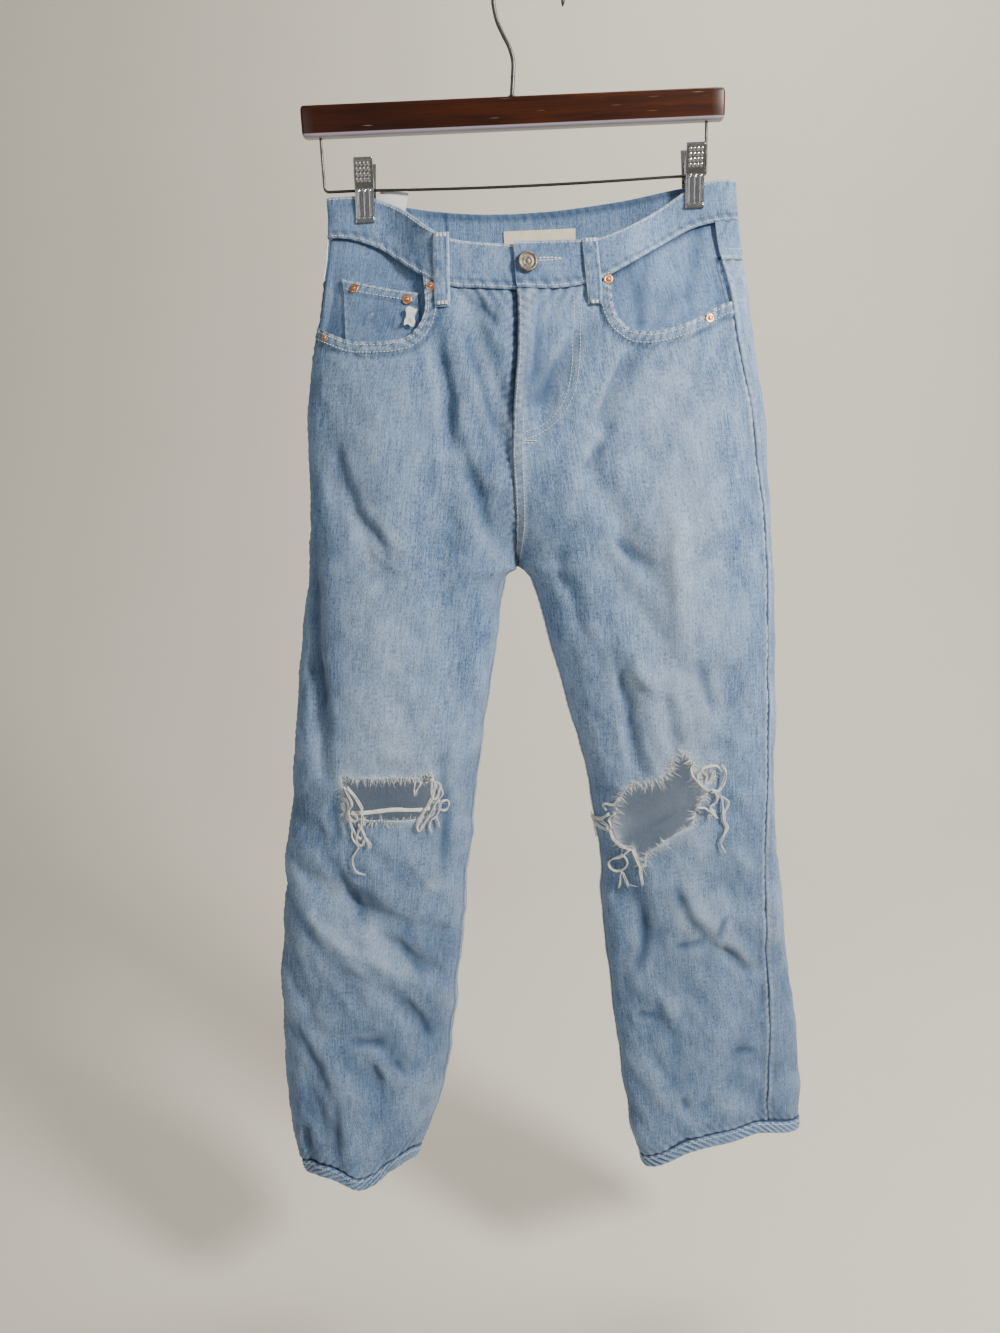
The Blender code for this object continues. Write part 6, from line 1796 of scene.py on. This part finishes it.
def make_loops(look):
    for name, half, front, x, top, foot, lean, width in BELT_LOOPS:
        v = spread(44, 0.4)[:, None]
        u = np.linspace(-0.5, 0.5, 15)
        grid_x = x + width * u + lean * v
        grid_z = np.broadcast_to(top - 1 + (foot - top) * v, grid_x.shape)
        across, down = np.broadcast_arrays(np.abs(u) * 2, v)
        arch = np.sin(math.pi * v) ** 0.7
        lift = LOOP_LIFT + 1.7 + 0.7 * arch - 0.9 * across**4
        lift = lift - 1.0 * bump(v, 0, 0.03) - 1.6 * bump(1, v, 0.03)
        ripple = 0.30 * noise(u * 3.2 + 5, v * 9, 120 + int(x)) + 0.15 * noise(u * 7, v * 22, 121 + int(x))
        lift = lift + ripple + 0.28 * (bump(np.abs(u), 0.33, 0.08) - bump(np.abs(u), 0.2, 0.08))
        low = np.minimum(LOOP_LIFT - 0.1, lift - 0.7)
        if name == "loop_back_middle":
            outer, inner = (across_centre(front, grid_x, grid_z, level + 1.0) for level in (lift, low))
        else:
            outer, inner = (on(half, front, grid_x, grid_z, level) for level in (lift, low))
        cloth = np.stack([grid_x + 6000 + x, grid_z, np.full(grid_z.shape, 30.0)], axis=-1)
        # worn edges, wear and painted highlight on the ripples' crests; painted shade in their troughs and in a line
        # along each side
        wear_and_highlight = 0.65 * across**5 + 0.35 * bound(ripple * 3) + 0.3 * bump(v, 0, 0.05)
        shade = 0.30 * bump(across, 0.55, 0.12) + 0.3 * bound(-ripple * 3)
        shell(name, outer, inner, ("denim", "denim inside"), "denim", (name,), None, cloth,
                      as_marks(wear_and_highlight, shade, 0.12))
        tack = np.linspace(-1.1, 1.1, 5) / abs(foot - top)
        row = np.concatenate([0.045 + tack, 0.955 + tack])[:, None]
        line_x = x + width * np.linspace(-0.42, 0.42, 9) + lean * row
        line_z = np.broadcast_to(top - 1 + (foot - top) * row, line_x.shape)
        tacks = on(half, front, line_x, line_z, LOOP_LIFT + 1.9)
        higher = on(half, front, line_x, line_z, LOOP_LIFT + 2.9)
        for places, out in zip(tacks, higher - tacks):
            sew("loop_tacks", places, out, look, gap=0.05)


WAIST_LABEL = -27.0, 63.0, -197.3, 17.2     # left edge, width, top and the height that shows
CARE_LABEL = -131.0, 24.0, -163.0, 20.0


def make_labels():
    left, wide, top, high = WAIST_LABEL
    inside = BAND_LIFT - BAND_WALL - TOUCH
    u, v = np.linspace(0, 1, 60), np.linspace(0, 1, 22)[:, None]
    x, z = np.broadcast_arrays(left + wide * u, top - high * v)
    wave = 0.25 * noise(u * 5, v * 2, 131) + 0.12 * noise(u * 13, v * 4, 132)
    lift = inside + wave * 0.4
    outer, inner = across_centre(False, x, z, lift - 0.55), across_centre(False, x, z, lift)
    shell("waist_label", outer, inner, ("label cloth",), "label", ("waist_label",))
    left, wide, top, high = CARE_LABEL
    u = u[:40]
    x = left + wide * u / u[-1] - 5 * v
    z = top - high * v + 2 * u / u[-1] + 0.5 * np.sin(u * 9)
    lift = inside - 0.1 - 0.5 * np.abs(np.sin(3.0 * v + u))
    outer, inner = on(-1, False, x, z, lift - 0.45), on(-1, False, x, z, lift)
    shell("care_label", outer, inner, ("care cloth",), "label", ("care_label",))


# ---- Makers: button, rivets, stitching ----------------------------------------

BUTTON_SPOT = np.array([-10.0]), np.array([-231.0])       # x and height
# Sections of the button and the rivets: radius and height.
BUTTON = pairs("""
3.2 0  3.2 1.9  7.3 2.1  8 2.35  8.35 2.8  8.3 3.3  7.9 3.75  7.2 4  6.6 3.95  6.1 3.6  5.7 3.35  5 3.3
4.2 3.45  3.4 3.5  2.6 3.35  2.2 3.1  1.6 3.2  0.9 3.55  0.25 3.65
""")
RIVET = pairs("""
4.3 0  4.3 0.35  4.1 0.75  3.7 1.05  3.2 1.2  2.6 1.15  2.1 0.95  1.8 0.95  1.6 1.3  1.45 1.8  1.1 2.1
0.6 2.2  0.15 2.22
""")


def make_button():
    low, high = (on(1, True, *BUTTON_SPOT, BAND_LIFT + TOUCH + more)[0] for more in (0.0, 5.0))
    points, faces = spun(BUTTON, low, high - low, 64)
    add_piece("waist_button", points, faces, ["aged nickel"], "nickel", ("waist_button",), angle=40)


def make_rivets():
    for name, half, x, z, on_coin in RIVETS:
        z = np.array([float(z)])
        face = facing_lift(z) + FACING_THICK + TOUCH + 1.2 if on_coin else np.zeros(1)
        low, high = (on(half, True, np.array([float(x)]), z, face + more)[0] for more in (2 * TOUCH, 5.0))
        points, faces = spun(RIVET, low, high - low, 40)
        add_piece(name, points, faces, ["copper"], "copper", (name,), angle=40)


# Double rows of stitches: how far each row lies from its seam or edge.
POCKET_ROWS, INSEAM_ROWS, SEAT_ROWS = (2.6, 8.6), (1.9, 7.3), (2.2, 8.4)
BAND_ROWS = 0.055, 0.945        # shares of the way up the waistband
BUTTONHOLE = 9.0, -229.0        # its middle, x and height
BAR_TACKS = [
    # x and height of both ends
    (156, -223, 161, -222), (157, -227, 163, -226), (172, -239, 177, -238), (173, -243, 178, -242),
    (-20, -374, -7, -375), (-20, -376, -7, -377),
]


def make_stitching(look):
    # front pockets, double rows
    for half in (-1, 1):
        line = SCOOP_EDGE[half]
        ahead = np.gradient(line, axis=0)
        out = unit(np.stack([ahead[:, 1], -ahead[:, 0]], axis=1))
        centre = np.mean(line, axis=0)
        if np.mean(np.einsum("ij,ij->i", out, line - centre)) < 0:
            out = -out
        for inset in POCKET_ROWS:
            row = line + out * inset
            row = row[row[:, 1] < -226]
            arc = arc_at(half, True, row[:, 0], row[:, 1])
            sew_panel("pocket_stitching", half, True, arc, row[:, 1], look)
    # inseams, double rows on the front, and the rise
    for half in (-1, 1):
        z = np.linspace(-500, -1092, 300)
        for inset in INSEAM_ROWS:
            sew_panel("inseam_stitching", half, True, marks(half, z)[0] + inset, z, look)
    z = np.linspace(-352, -480, 70)
    for inset in SEAT_ROWS:
        sew_panel("fly_stitching", 1, True, np.full(70, inset), z, look)
    # the fly's curved rows
    for inset in (0.0, 6.0):
        path = np.array([(34 - inset, -256), (33 - inset, -285), (31 - inset, -312), (26 - inset, -336),
                         (14 - inset * 0.7, -356 + inset * 0.5), (-2, -368 + inset), (-20, -374 + inset)])
        path = rounded(path, 2.0, bend=0.5)
        arc = arc_at(1, True, path[:, 0], path[:, 1])
        sew_panel("fly_stitching", 1, True, arc, path[:, 1], look)
    z = np.linspace(-256, -350, 60)
    sew_panel("fly_stitching", 1, True, np.full(60, 2.2), z, look)
    # waistband, rows along both edges
    halves, arcs = ring_columns()
    for share in BAND_ROWS:
        for half in (-1, 1):
            arc = np.sort(arcs[halves == half])
            s, z = waist_places(half, arc, share)
            relief = band_relief(half, arc, share, 1.0)[0] * look.pucker_depth * 1000
            sew_cloth("waist_stitching", half, s, z, 1.22 + relief, look)
    # yokes and back seat
    for half in (-1, 1):
        u = np.linspace(0.01, 0.99, 120)
        level = np.full(120, WAIST_LEVEL)
        lower = waist_height(half, "yoke", panel_arc(half, False, u, level))
        for rise in SEAT_ROWS:
            z = lower + rise
            sew_cloth("back_stitching", half, panel_arc(half, False, u, z), z, 0.85, look)
    z = np.linspace(-296, -480, 100)
    for inset in SEAT_ROWS:
        sew_panel("back_stitching", 1, False, marks(1, z)[3] - inset, z, look)
    # hems
    for name, half in HALVES.items():
        for front in (True, False):
            u = np.linspace(0.0, 1.0, 120)
            z = fine_hem(half, front, u) + 11.6
            sew_cloth("hem_stitching", half, panel_arc(half, front, u, z), z, 1.25, look)
    # bar tacks on the right side panel and at the fly's foot
    for x0, z0, x1, z1 in BAR_TACKS:
        z = np.linspace(z0, z1, 12)
        arc = arc_at(1, True, np.linspace(x0, x1, 12), z)
        sew_panel("fly_stitching", 1, True, arc, z, look, lift=0.3, gap=0.05, thick=0.5)
    # the buttonhole's worn edges
    turn = np.linspace(0.35, 2 * math.pi - 0.35, 60)
    x = BUTTONHOLE[0] - 11 * np.cos(turn)
    z = BUTTONHOLE[1] + (1.0 + 0.6 * np.cos(turn)) * np.sin(turn)
    sew_cloth("buttonhole", 1, arc_at(1, True, x, z), z, BAND_LIFT + TOUCH, look, gap=0.0, thick=0.6)
    finish_sewing()


# ---- Makers: the rips' threads -------------------------------------------------

def thread_line(half, points, lift, seed, step=2.2, wander=0.5):
    """A thread's places over the cloth, from (x, z) with a slight curl."""
    line = rounded(np.asarray(points, float), step)
    run = np.arange(len(line)) * step
    x = line[:, 0] + wander * noise(run / 6.0, 0.5, seed)
    z = line[:, 1] + wander * noise(run / 6.0, 8.5, seed)
    level = lift + 0.7 * noise(run / 9.0, 3.5, seed)
    return on(half, True, x, z, level)


RIP_BAR = -192.0, -119.0, -705.5, 9      # the bundle's ends, its height and how many strands it has


def make_rip_threads():
    for number, (name, half, strands) in enumerate(RIP_THREADS):
        paths, radii = [], []
        for k, (copies, radius, lift, points) in enumerate(strands):
            for c in range(int(2 * copies)):
                seed = 200 + 37 * number + 11 * k + c
                jitter = 1.1 if c else 0.4
                moved = np.array([lattice(c, k, seed), lattice(k, c, seed + 1)]) * 0.9 * (c > 0)
                path = thread_line(half, np.asarray(points, float) + moved, lift + 0.5 * c, seed, wander=jitter)
                paths.append(path)
                radii.append(0.78 * radius * np.interp(np.linspace(0, 1, len(path)), (0, 0.8, 1), (1, 0.9, 0.45)))
        points, faces = round_bars(paths, radii, 5)
        add_piece(name, points, faces, ["loose thread"], "thread", (name,), angle=0)
    # the bundle of threads across the left rip
    left, right, level, strands = RIP_BAR
    x = np.linspace(left, right, 60)
    paths, radii = [], []
    for k in range(strands):
        turn = 2 * math.pi * k / strands + x / 11.0
        spin = 1.5 + 0.5 * noise(x / 9.0, k, 301)
        z = level + np.sin(x / 9.0) + spin * np.sin(turn)
        lift = -0.2 + 0.7 * np.cos(turn)
        paths.append(on(-1, True, x, z, lift))
        radii.append(0.52 + 0.1 * noise(x / 5.0, k, 302))
    points, faces = round_bars(paths, radii, 6)
    add_piece("rip_left_bar", points, faces, ["loose thread"], "thread", ("rip_left_bar",), angle=0)


def make_fray(look):
    """Short cut ends of yarn all round the rips."""
    t = np.array([0, 0.35, 0.7, 1.0])[None, :, None]
    for name, half in HALVES.items():
        starts, ways, bends, levels, blues = [], [], [], [], []
        for number, line in enumerate(RIP_LINES[half]):
            ahead = np.roll(line, -1, axis=0) - np.roll(line, 1, axis=0)
            inward = unit(np.stack([-ahead[:, 1], ahead[:, 0]], axis=1))
            if np.mean(np.einsum("ij,ij->i", inward, line.mean(axis=0) - line)) < 0:
                inward = -inward
            row = np.arange(len(line))
            for copy in range(look.fray_density):
                random = [lattice(row, np.full(len(row), k), 400 + 90 * number + 7 * copy) for k in range(6)]
                reach = (2.4 + 2.5 * (random[0] + 1) ** 1.5)[:, None]
                way = inward * np.where(random[1] > -0.6, 0.9, -0.6)[:, None]
                way = way + np.stack([0.5 * random[2], -0.35 + 0.4 * random[3]], axis=1)
                starts.append(line - inward * 1.4 + ahead * 0.3 * random[4][:, None])
                ways.append(way * reach)
                bends.append(np.stack([random[5], random[1]], axis=1) * 0.9)
                levels.append(np.array([[0.2, 0.9, 0.7, 0.3]]) + 0.4 * random[3][:, None])
                blues.append(random[4] > 0.25)
        start, way, bend, level, blue = (np.concatenate(v) for v in (starts, ways, bends, levels, blues))
        path = start[:, None] + way[:, None] * t + bend[:, None] * t**2
        places = on(half, True, path[..., 0], path[..., 1], level)
        for kind, chosen in (("blue thread", blue), ("loose thread", ~blue)):
            points, faces = round_bars(places[chosen], [np.array([0.28, 0.26, 0.20, 0.08])] * int(chosen.sum()), 3)
            add_piece(f"rip_{name}_fray_{kind.split()[0]}", points, faces, [kind], "thread", angle=0)


# ---- Makers: the hanger ---------------------------------------------------------

BAR = (-192.5, 161.0, -7.0, 7.0, -121.5, -97.0)
HOOK_RADIUS, HOOK_BEND, WIRE_RADIUS = 1.8, 28.5, 1.2
WIRE_LEFT, WIRE_RIGHT, WIRE_FOOT, WIRE_CORNER = -178.0, 146.5, -163.0, 3.5


def make_bar():
    x0, x1, y0, y1, z0, z1 = BAR
    corner = 3.2
    turns = np.radians(np.linspace(0, 90, 7))
    outline = []
    for cy, cz, start in ((y1 - corner, z1 - corner, 0), (y0 + corner, z1 - corner, 90),
                          (y0 + corner, z0 + corner, 180), (y1 - corner, z0 + corner, 270)):
        for turn in turns + math.radians(start):
            outline.append((cy + corner * math.cos(turn), cz + corner * math.sin(turn)))
    outline = np.array(outline)
    middle = np.array([(y0 + y1) / 2, (z0 + z1) / 2])
    ends = [(x0, 2.6), (x0 + 0.4, 1.3), (x0 + 1.2, 0.5), (x0 + 2.6, 0.0)]
    runs = ends + [(x, 0.0) for x in np.linspace(x0 + 12, x1 - 12, 40)]
    runs += [(x0 + x1 - x, cut) for x, cut in ends[::-1]]
    rings = []
    for x, cut in runs:
        reach = outline - middle
        size = np.maximum(np.abs(reach), 1e-6)
        ring = middle + np.sign(reach) * np.maximum(size - cut, 0.2)
        rings.append(np.concatenate([np.full((len(ring), 1), x), ring], axis=1))
    grid = np.stack(rings)
    made = add_piece("hanger_bar", grid.reshape(-1, 3), capped(ring_index(*grid.shape[:2])), ["cherry wood"], "wood",
                     ("hanger_bar",), angle=35)
    outward(made)


def make_wires():
    z0, z1 = BAR[4], BAR[5]
    centre_z = HOOK_RADIUS - HOOK_BEND
    path = [(x, 0, z) for x, z in ((-16, z1 - 2), (-16, z1 + 1), (-14.5, -80), (-14, -70), (-16.5, -60),
                                   (-21.5, -50), (-26, -40))]
    for turn in np.radians(np.arange(180, -20, -10)):
        path.append((HOOK_BEND * math.cos(turn), 0, centre_z + HOOK_BEND * math.sin(turn)))
    path = rounded(np.array(path, float), 1.5)
    radius = np.full(len(path), HOOK_RADIUS)
    radius[-4:] = (1.75, 1.6, 1.2, 0.5)
    points, faces = round_bars([path], [radius], 24)
    add_piece("hanger_hook", points, faces, ["dark steel"], "steel", ("hanger_hook",), angle=60)
    collar = [(3.6, 0.0), (3.6, 0.8), (3.2, 1.4), (2.4, 1.7), (1.95, 1.8)]
    points, faces = spun(collar, np.array([-16.0, 0.0, z1 - 0.1]), (0.001, 0, 1), 40)
    add_piece("hook_collar", points, faces, ["dark steel"], "steel", angle=40)
    path = [(WIRE_LEFT, 0, z0 + 2), (WIRE_LEFT, 0, z0 - 2)]
    for turn in np.radians(np.arange(180, 271, 18)):
        path.append((WIRE_LEFT + WIRE_CORNER * (1 + math.cos(turn)), 0,
                     WIRE_FOOT + WIRE_CORNER * (1 + math.sin(turn))))
    for x in np.linspace(-150, 118, 7):
        path.append((x, 0, WIRE_FOOT - 2.0 * math.cos((x + 16) / 134 * math.pi / 2)))
    for turn in np.radians(np.arange(270, 361, 18)):
        path.append((WIRE_RIGHT + WIRE_CORNER * (math.cos(turn) - 1), 0,
                     WIRE_FOOT + WIRE_CORNER * (1 + math.sin(turn))))
    path += [(WIRE_RIGHT, 0, z0 - 2), (WIRE_RIGHT, 0, z0 + 2)]
    path = rounded(np.array(path, float), 1.5)
    points, faces = round_bars([path], [WIRE_RADIUS], 20)
    add_piece("hanger_wire", points, faces, ["dark steel"], "steel", ("hanger_wire",), angle=60)


CLIP_WIDTH = 16.0
JAW_TOP, JAW_FOOT, CLIP_PIVOT = -140.0, -189.5, -163.0
DOT_RADIUS, DOT_HEIGHT = 1.25, 0.55     # the raised dots on the front jaws
JAW_FACE = PINCH_HALF + BAND_LIFT + TOUCH
JAW_OUTER = np.array(pairs("""
8.2 -140  8.6 -142  6.9 -149  5.2 -156  3.6 -163  2.9 -171  2.2 -180  1.9 -187  1.6 -189.5
"""))
JAW_INNER = np.array(pairs("""
7 -140  7 -142  5.3 -149  3.6 -156  1.8 -163  0.9 -171  0.1 -180  0.1 -187  0.1 -189.5
"""))


def make_jaw(name, x, lean, side):
    z = np.linspace(JAW_TOP, JAW_FOOT, 76)[:, None]
    u = np.linspace(-1, 1, 49)
    outer = np.interp(-z, -JAW_OUTER[:, 1], JAW_OUTER[:, 0])
    inner = np.interp(-z, -JAW_INNER[:, 1], JAW_INNER[:, 0])
    dots = np.zeros((76, 49))
    for row in range(4):
        for col in range(4):
            cx, cz = -0.60 + 0.40 * col, -145.0 - 3.9 * row
            away = ((u - cx) * CLIP_WIDTH / 2 / DOT_RADIUS) ** 2 + ((z - cz) / DOT_RADIUS) ** 2
            dots = np.maximum(dots, DOT_HEIGHT * bound(1 - away) ** 0.5)
    ridges = 0.9 * bound(np.cos((u * 3.5) * math.pi)) ** 0.6 * eased((-163.5 - z) / 1.5) * eased((z + 186.2) / 1.0)
    lip = 0.5 * eased((-186.4 - z) / 0.8) + 0.4 * eased((z + 142.5) / 1.0)
    edge = 0.9 * np.clip((np.abs(u) - 0.9) / 0.1, 0, 1) ** 2
    depth = outer + (dots if side < 0 else 0) + ridges + lip - edge
    place_x = x + CLIP_WIDTH / 2 * u + lean * (z - CLIP_PIVOT)
    grids = []
    for value in (depth, np.broadcast_to(inner, depth.shape)):
        grids.append(np.stack([np.broadcast_to(place_x, depth.shape), side * (JAW_FACE + value),
                               np.broadcast_to(z, depth.shape)], axis=-1))
    shell(name, *grids, ("clip chrome",), "chrome", (name,), angle=40)
    inset = 0.0 if side < 0 else 1.8
    shapes = []
    for way in (-1, 1):
        edge_x = x + way * (CLIP_WIDTH / 2 - inset)
        outline = np.array([(JAW_FACE + 2.4, -148.5), (3.4, -155.5), (3.2, -159), (4.6, -162),
                            (JAW_FACE + 2.0, -164)])
        low, high = sorted((edge_x, edge_x - way * 1.3))
        points = np.array([(v, side * y, z_) for v in (low, high) for y, z_ in outline])
        faces = [tuple(range(5)), tuple(range(9, 4, -1))]
        faces += [(i, (i + 1) % 5, (i + 1) % 5 + 5, i + 5) for i in range(5)]
        shapes.append((points, faces))
    points, faces = joined(shapes)
    outward(add_piece(name + "_ears", points, faces, ["clip chrome"], "chrome", angle=30))


def make_clips():
    for name, x, lean in (("left", CLIP_LEFT_X, 0.05), ("right", CLIP_RIGHT_X, 0.0)):
        for side, word in ((-1, "front"), (1, "back")):
            make_jaw(f"clip_{name}_{word}", x, lean, side)
        turn = np.linspace(0, 2 * math.pi * 5, 120)
        along = x - 4.5 + 9 * np.linspace(0, 1, 120)
        path = np.stack([along, 2.1 * np.cos(turn), CLIP_PIVOT - 1.8 + 2.1 * np.sin(turn)], axis=1)
        points, faces = round_bars([path], [0.55], 8)
        add_piece(f"clip_{name}_spring", points, faces, ["clip chrome"], "chrome", angle=60)


# ---- The stage ------------------------------------------------------------------

CAMERA_PLACE = -0.0472, -0.928, -0.3386     # metres
CAMERA_TILT, CAMERA_ROLL = 75.0, -2.56      # degrees from straight down, and about the line of sight


def add_light(name, place, aim, size, power, colour):
    lamp = bpy.data.lights.new(name, "AREA")
    lamp.shape, lamp.size = "DISK", size
    lamp.energy, lamp.color = power, colour
    made = bpy.data.objects.new(name, lamp)
    made.location = place
    way = [a - b for a, b in zip(place, aim)]
    made.rotation_euler = Vector(way).to_track_quat("Z", "Y").to_euler()
    bpy.context.scene.collection.objects.link(made)


def make_stage(look):
    mesh = bpy.data.meshes.new("floor")
    reach, level, bend = 9.0, -1.34, 1.6
    outline = [(-reach, level), (1.0, level)]
    outline += [(1.0 + bend * math.sin(a), level + bend * (1 - math.cos(a))) for a in np.radians(np.arange(5, 91, 5))]
    outline.append((1.0 + bend, reach))
    mesh.from_pydata([(x, y, z) for y, z in outline for x in (-reach, reach)], [],
                     [(2 * i, 2 * i + 1, 2 * i + 3, 2 * i + 2) for i in range(len(outline) - 1)])
    mesh.shade_smooth()
    mesh.materials.append(material_of("studio floor"))
    floor = bpy.data.objects.new("floor", mesh)
    bpy.context.scene.collection.objects.link(floor)
    world = bpy.data.worlds.new("studio")
    world.use_nodes = True
    back = world.node_tree.nodes["Background"]
    back.inputs["Color"].default_value = (0.74, 0.73, 0.71, 1)
    back.inputs["Strength"].default_value = look.room_light
    bpy.context.scene.world = world
    add_light("key", (1.20, -1.05, 0.40), (0, 0, -0.55), 0.4, look.key_light, (1.0, 0.97, 0.93))
    add_light("fill", (-1.6, -2.0, 0.1), (0, 0, -0.6), 1.6, look.key_light * 0.20, (0.94, 0.97, 1.0))
    add_light("backdrop", (1.2, 0.5, 1.5), (0.4, 2.4, -0.6), 1.6, look.key_light * 1.35, (1.0, 0.98, 0.94))
    lens = bpy.data.cameras.new("camera")
    lens.lens, lens.sensor_width, lens.sensor_fit = 27.0, 36.0, "AUTO"
    lens.clip_start, lens.clip_end = 0.01, 100.0
    camera = bpy.data.objects.new("camera", lens)
    camera.matrix_world = (Matrix.Translation(CAMERA_PLACE) @ Matrix.Rotation(math.radians(CAMERA_TILT), 4, "X")
                           @ Matrix.Rotation(math.radians(CAMERA_ROLL), 4, "Z"))
    bpy.context.scene.collection.objects.link(camera)
    bpy.context.scene.camera = camera


# ---- The add-on -------------------------------------------------------------------

class JeansLook(bpy.types.PropertyGroup):
    """What the jeans look like."""
    wrinkle_depth: bpy.props.FloatProperty(
        name="Wrinkle depth", description="How deep the fine wrinkles of the cloth are", default=0.0012,
        min=0.0, max=0.003, subtype="DISTANCE")
    crease_depth: bpy.props.FloatProperty(
        name="Crease depth", description="How deep the creases are beside their own sizes", default=1.2,
        min=0.0, max=3.0)
    pucker_depth: bpy.props.FloatProperty(
        name="Pucker depth", description="How deep the puckers along the seams are", default=0.001,
        min=0.0, max=0.003, subtype="DISTANCE")
    cloth_thickness: bpy.props.FloatProperty(
        name="Cloth thickness", description="Thickness of one layer of denim", default=0.001,
        min=0.0005, max=0.0018, subtype="DISTANCE")
    stitch_length: bpy.props.FloatProperty(
        name="Stitch length", description="Distance from one stitch to the next", default=0.0032,
        min=0.002, max=0.006, subtype="DISTANCE")
    fray_density: bpy.props.IntProperty(
        name="Fray density", description="Cut yarn ends at each step round the rips", default=4, min=1, max=6)
    # how strongly the worn edges and the painted highlight on crests lighten the denim
    wear_and_highlight: bpy.props.FloatProperty(
        name="Wear", description="How far the raised edges have faded", default=0.75, min=0.0, max=1.0,
        subtype="FACTOR")
    light_colour: bpy.props.FloatVectorProperty(
        name="Light colour", description="Colour of the lightest denim", default=(0.235, 0.345, 0.515),
        min=0.0, max=1.0, subtype="COLOR")
    deep_colour: bpy.props.FloatVectorProperty(
        name="Deep colour", description="Colour of the darkest yarns", default=(0.045, 0.095, 0.195),
        min=0.0, max=1.0, subtype="COLOR")
    # the colour of worn places and of the painted highlight
    worn_and_highlight_colour: bpy.props.FloatVectorProperty(
        name="Worn colour", description="Colour where the denim has worn pale", default=(0.54, 0.62, 0.71), min=0.0,
        max=1.0, subtype="COLOR")
    key_light: bpy.props.FloatProperty(
        name="Key light", description="Power of the main lamp in watts", default=58.0, min=0.0, max=500.0)
    room_light: bpy.props.FloatProperty(
        name="Room light", description="Strength of the light from all round", default=0.42, min=0.0, max=3.0)


class JEANS_OT_legs(bpy.types.Operator):
    """Make the four leg panels with their folds, creases, pocket openings and rips"""
    bl_idname = "jeans.legs"
    bl_label = "Leg Panels"

    def execute(self, context):
        make_legs(context.scene.jeans_look)
        return {"FINISHED"}


class JEANS_OT_waist(bpy.types.Operator):
    """Make the waistband, the yokes, the belt loops and the bare labels"""
    bl_idname = "jeans.waist"
    bl_label = "Waist"

    def execute(self, context):
        look = context.scene.jeans_look
        make_yokes(look)
        make_waistband(look)
        make_loops(look)
        make_labels()
        return {"FINISHED"}


class JEANS_OT_hems(bpy.types.Operator):
    """Make the turned and roped hems"""
    bl_idname = "jeans.hems"
    bl_label = "Hems"

    def execute(self, context):
        make_hems(context.scene.jeans_look)
        return {"FINISHED"}


class JEANS_OT_pockets(bpy.types.Operator):
    """Make the pocket facings, the coin pocket, the pocket bag and the back pockets"""
    bl_idname = "jeans.pockets"
    bl_label = "Pockets"

    def execute(self, context):
        look = context.scene.jeans_look
        make_facings(look)
        make_coin_pocket(look)
        make_pocket_bag(look)
        make_back_pockets(look)
        make_fly_shield()
        return {"FINISHED"}


class JEANS_OT_metal(bpy.types.Operator):
    """Make the waist button and the rivets"""
    bl_idname = "jeans.metal"
    bl_label = "Button and Rivets"

    def execute(self, context):
        make_button()
        make_rivets()
        return {"FINISHED"}


class JEANS_OT_stitching(bpy.types.Operator):
    """Sew the rows of stitches and the bar tacks"""
    bl_idname = "jeans.stitching"
    bl_label = "Stitching"

    def execute(self, context):
        make_stitching(context.scene.jeans_look)
        return {"FINISHED"}


class JEANS_OT_rips(bpy.types.Operator):
    """Make the loose threads and the frayed edges of the rips"""
    bl_idname = "jeans.rips"
    bl_label = "Rips"

    def execute(self, context):
        make_rip_threads()
        make_fray(context.scene.jeans_look)
        return {"FINISHED"}


class JEANS_OT_hanger(bpy.types.Operator):
    """Make the hanger's wooden bar, its hook and wire and the clips"""
    bl_idname = "jeans.hanger"
    bl_label = "Hanger"

    def execute(self, context):
        make_bar()
        make_wires()
        make_clips()
        return {"FINISHED"}


class JEANS_OT_stage(bpy.types.Operator):
    """Make the floor, the studio lights and the camera"""
    bl_idname = "jeans.stage"
    bl_label = "Stage"

    def execute(self, context):
        make_stage(context.scene.jeans_look)
        return {"FINISHED"}


OPERATORS = (JEANS_OT_legs, JEANS_OT_waist, JEANS_OT_hems, JEANS_OT_pockets, JEANS_OT_metal,
             JEANS_OT_stitching, JEANS_OT_rips, JEANS_OT_hanger, JEANS_OT_stage)


class JEANS_PT_panel(bpy.types.Panel):
    """The look of the jeans and the buttons that make them"""
    bl_label = "Jeans"
    bl_idname = "JEANS_PT_panel"
    bl_space_type = "VIEW_3D"
    bl_region_type = "UI"
    bl_category = "Jeans"

    def draw(self, context):
        look = context.scene.jeans_look
        column = self.layout.column()
        for name in JeansLook.__annotations__:
            column.prop(look, name)
        for operator in OPERATORS:
            self.layout.operator(operator.bl_idname)


CLASSES = (JeansLook, *OPERATORS, JEANS_PT_panel)


def register():
    for cls in CLASSES:
        bpy.utils.register_class(cls)
    bpy.types.Scene.jeans_look = bpy.props.PointerProperty(type=JeansLook)


def unregister():
    del bpy.types.Scene.jeans_look
    for cls in reversed(CLASSES):
        bpy.utils.unregister_class(cls)


def main():
    register()
    bpy.ops.jeans.legs()
    bpy.ops.jeans.waist()
    bpy.ops.jeans.hems()
    bpy.ops.jeans.pockets()
    bpy.ops.jeans.metal()
    bpy.ops.jeans.stitching()
    bpy.ops.jeans.rips()
    bpy.ops.jeans.hanger()
    bpy.ops.jeans.stage()


if __name__ == "__main__":
    main()
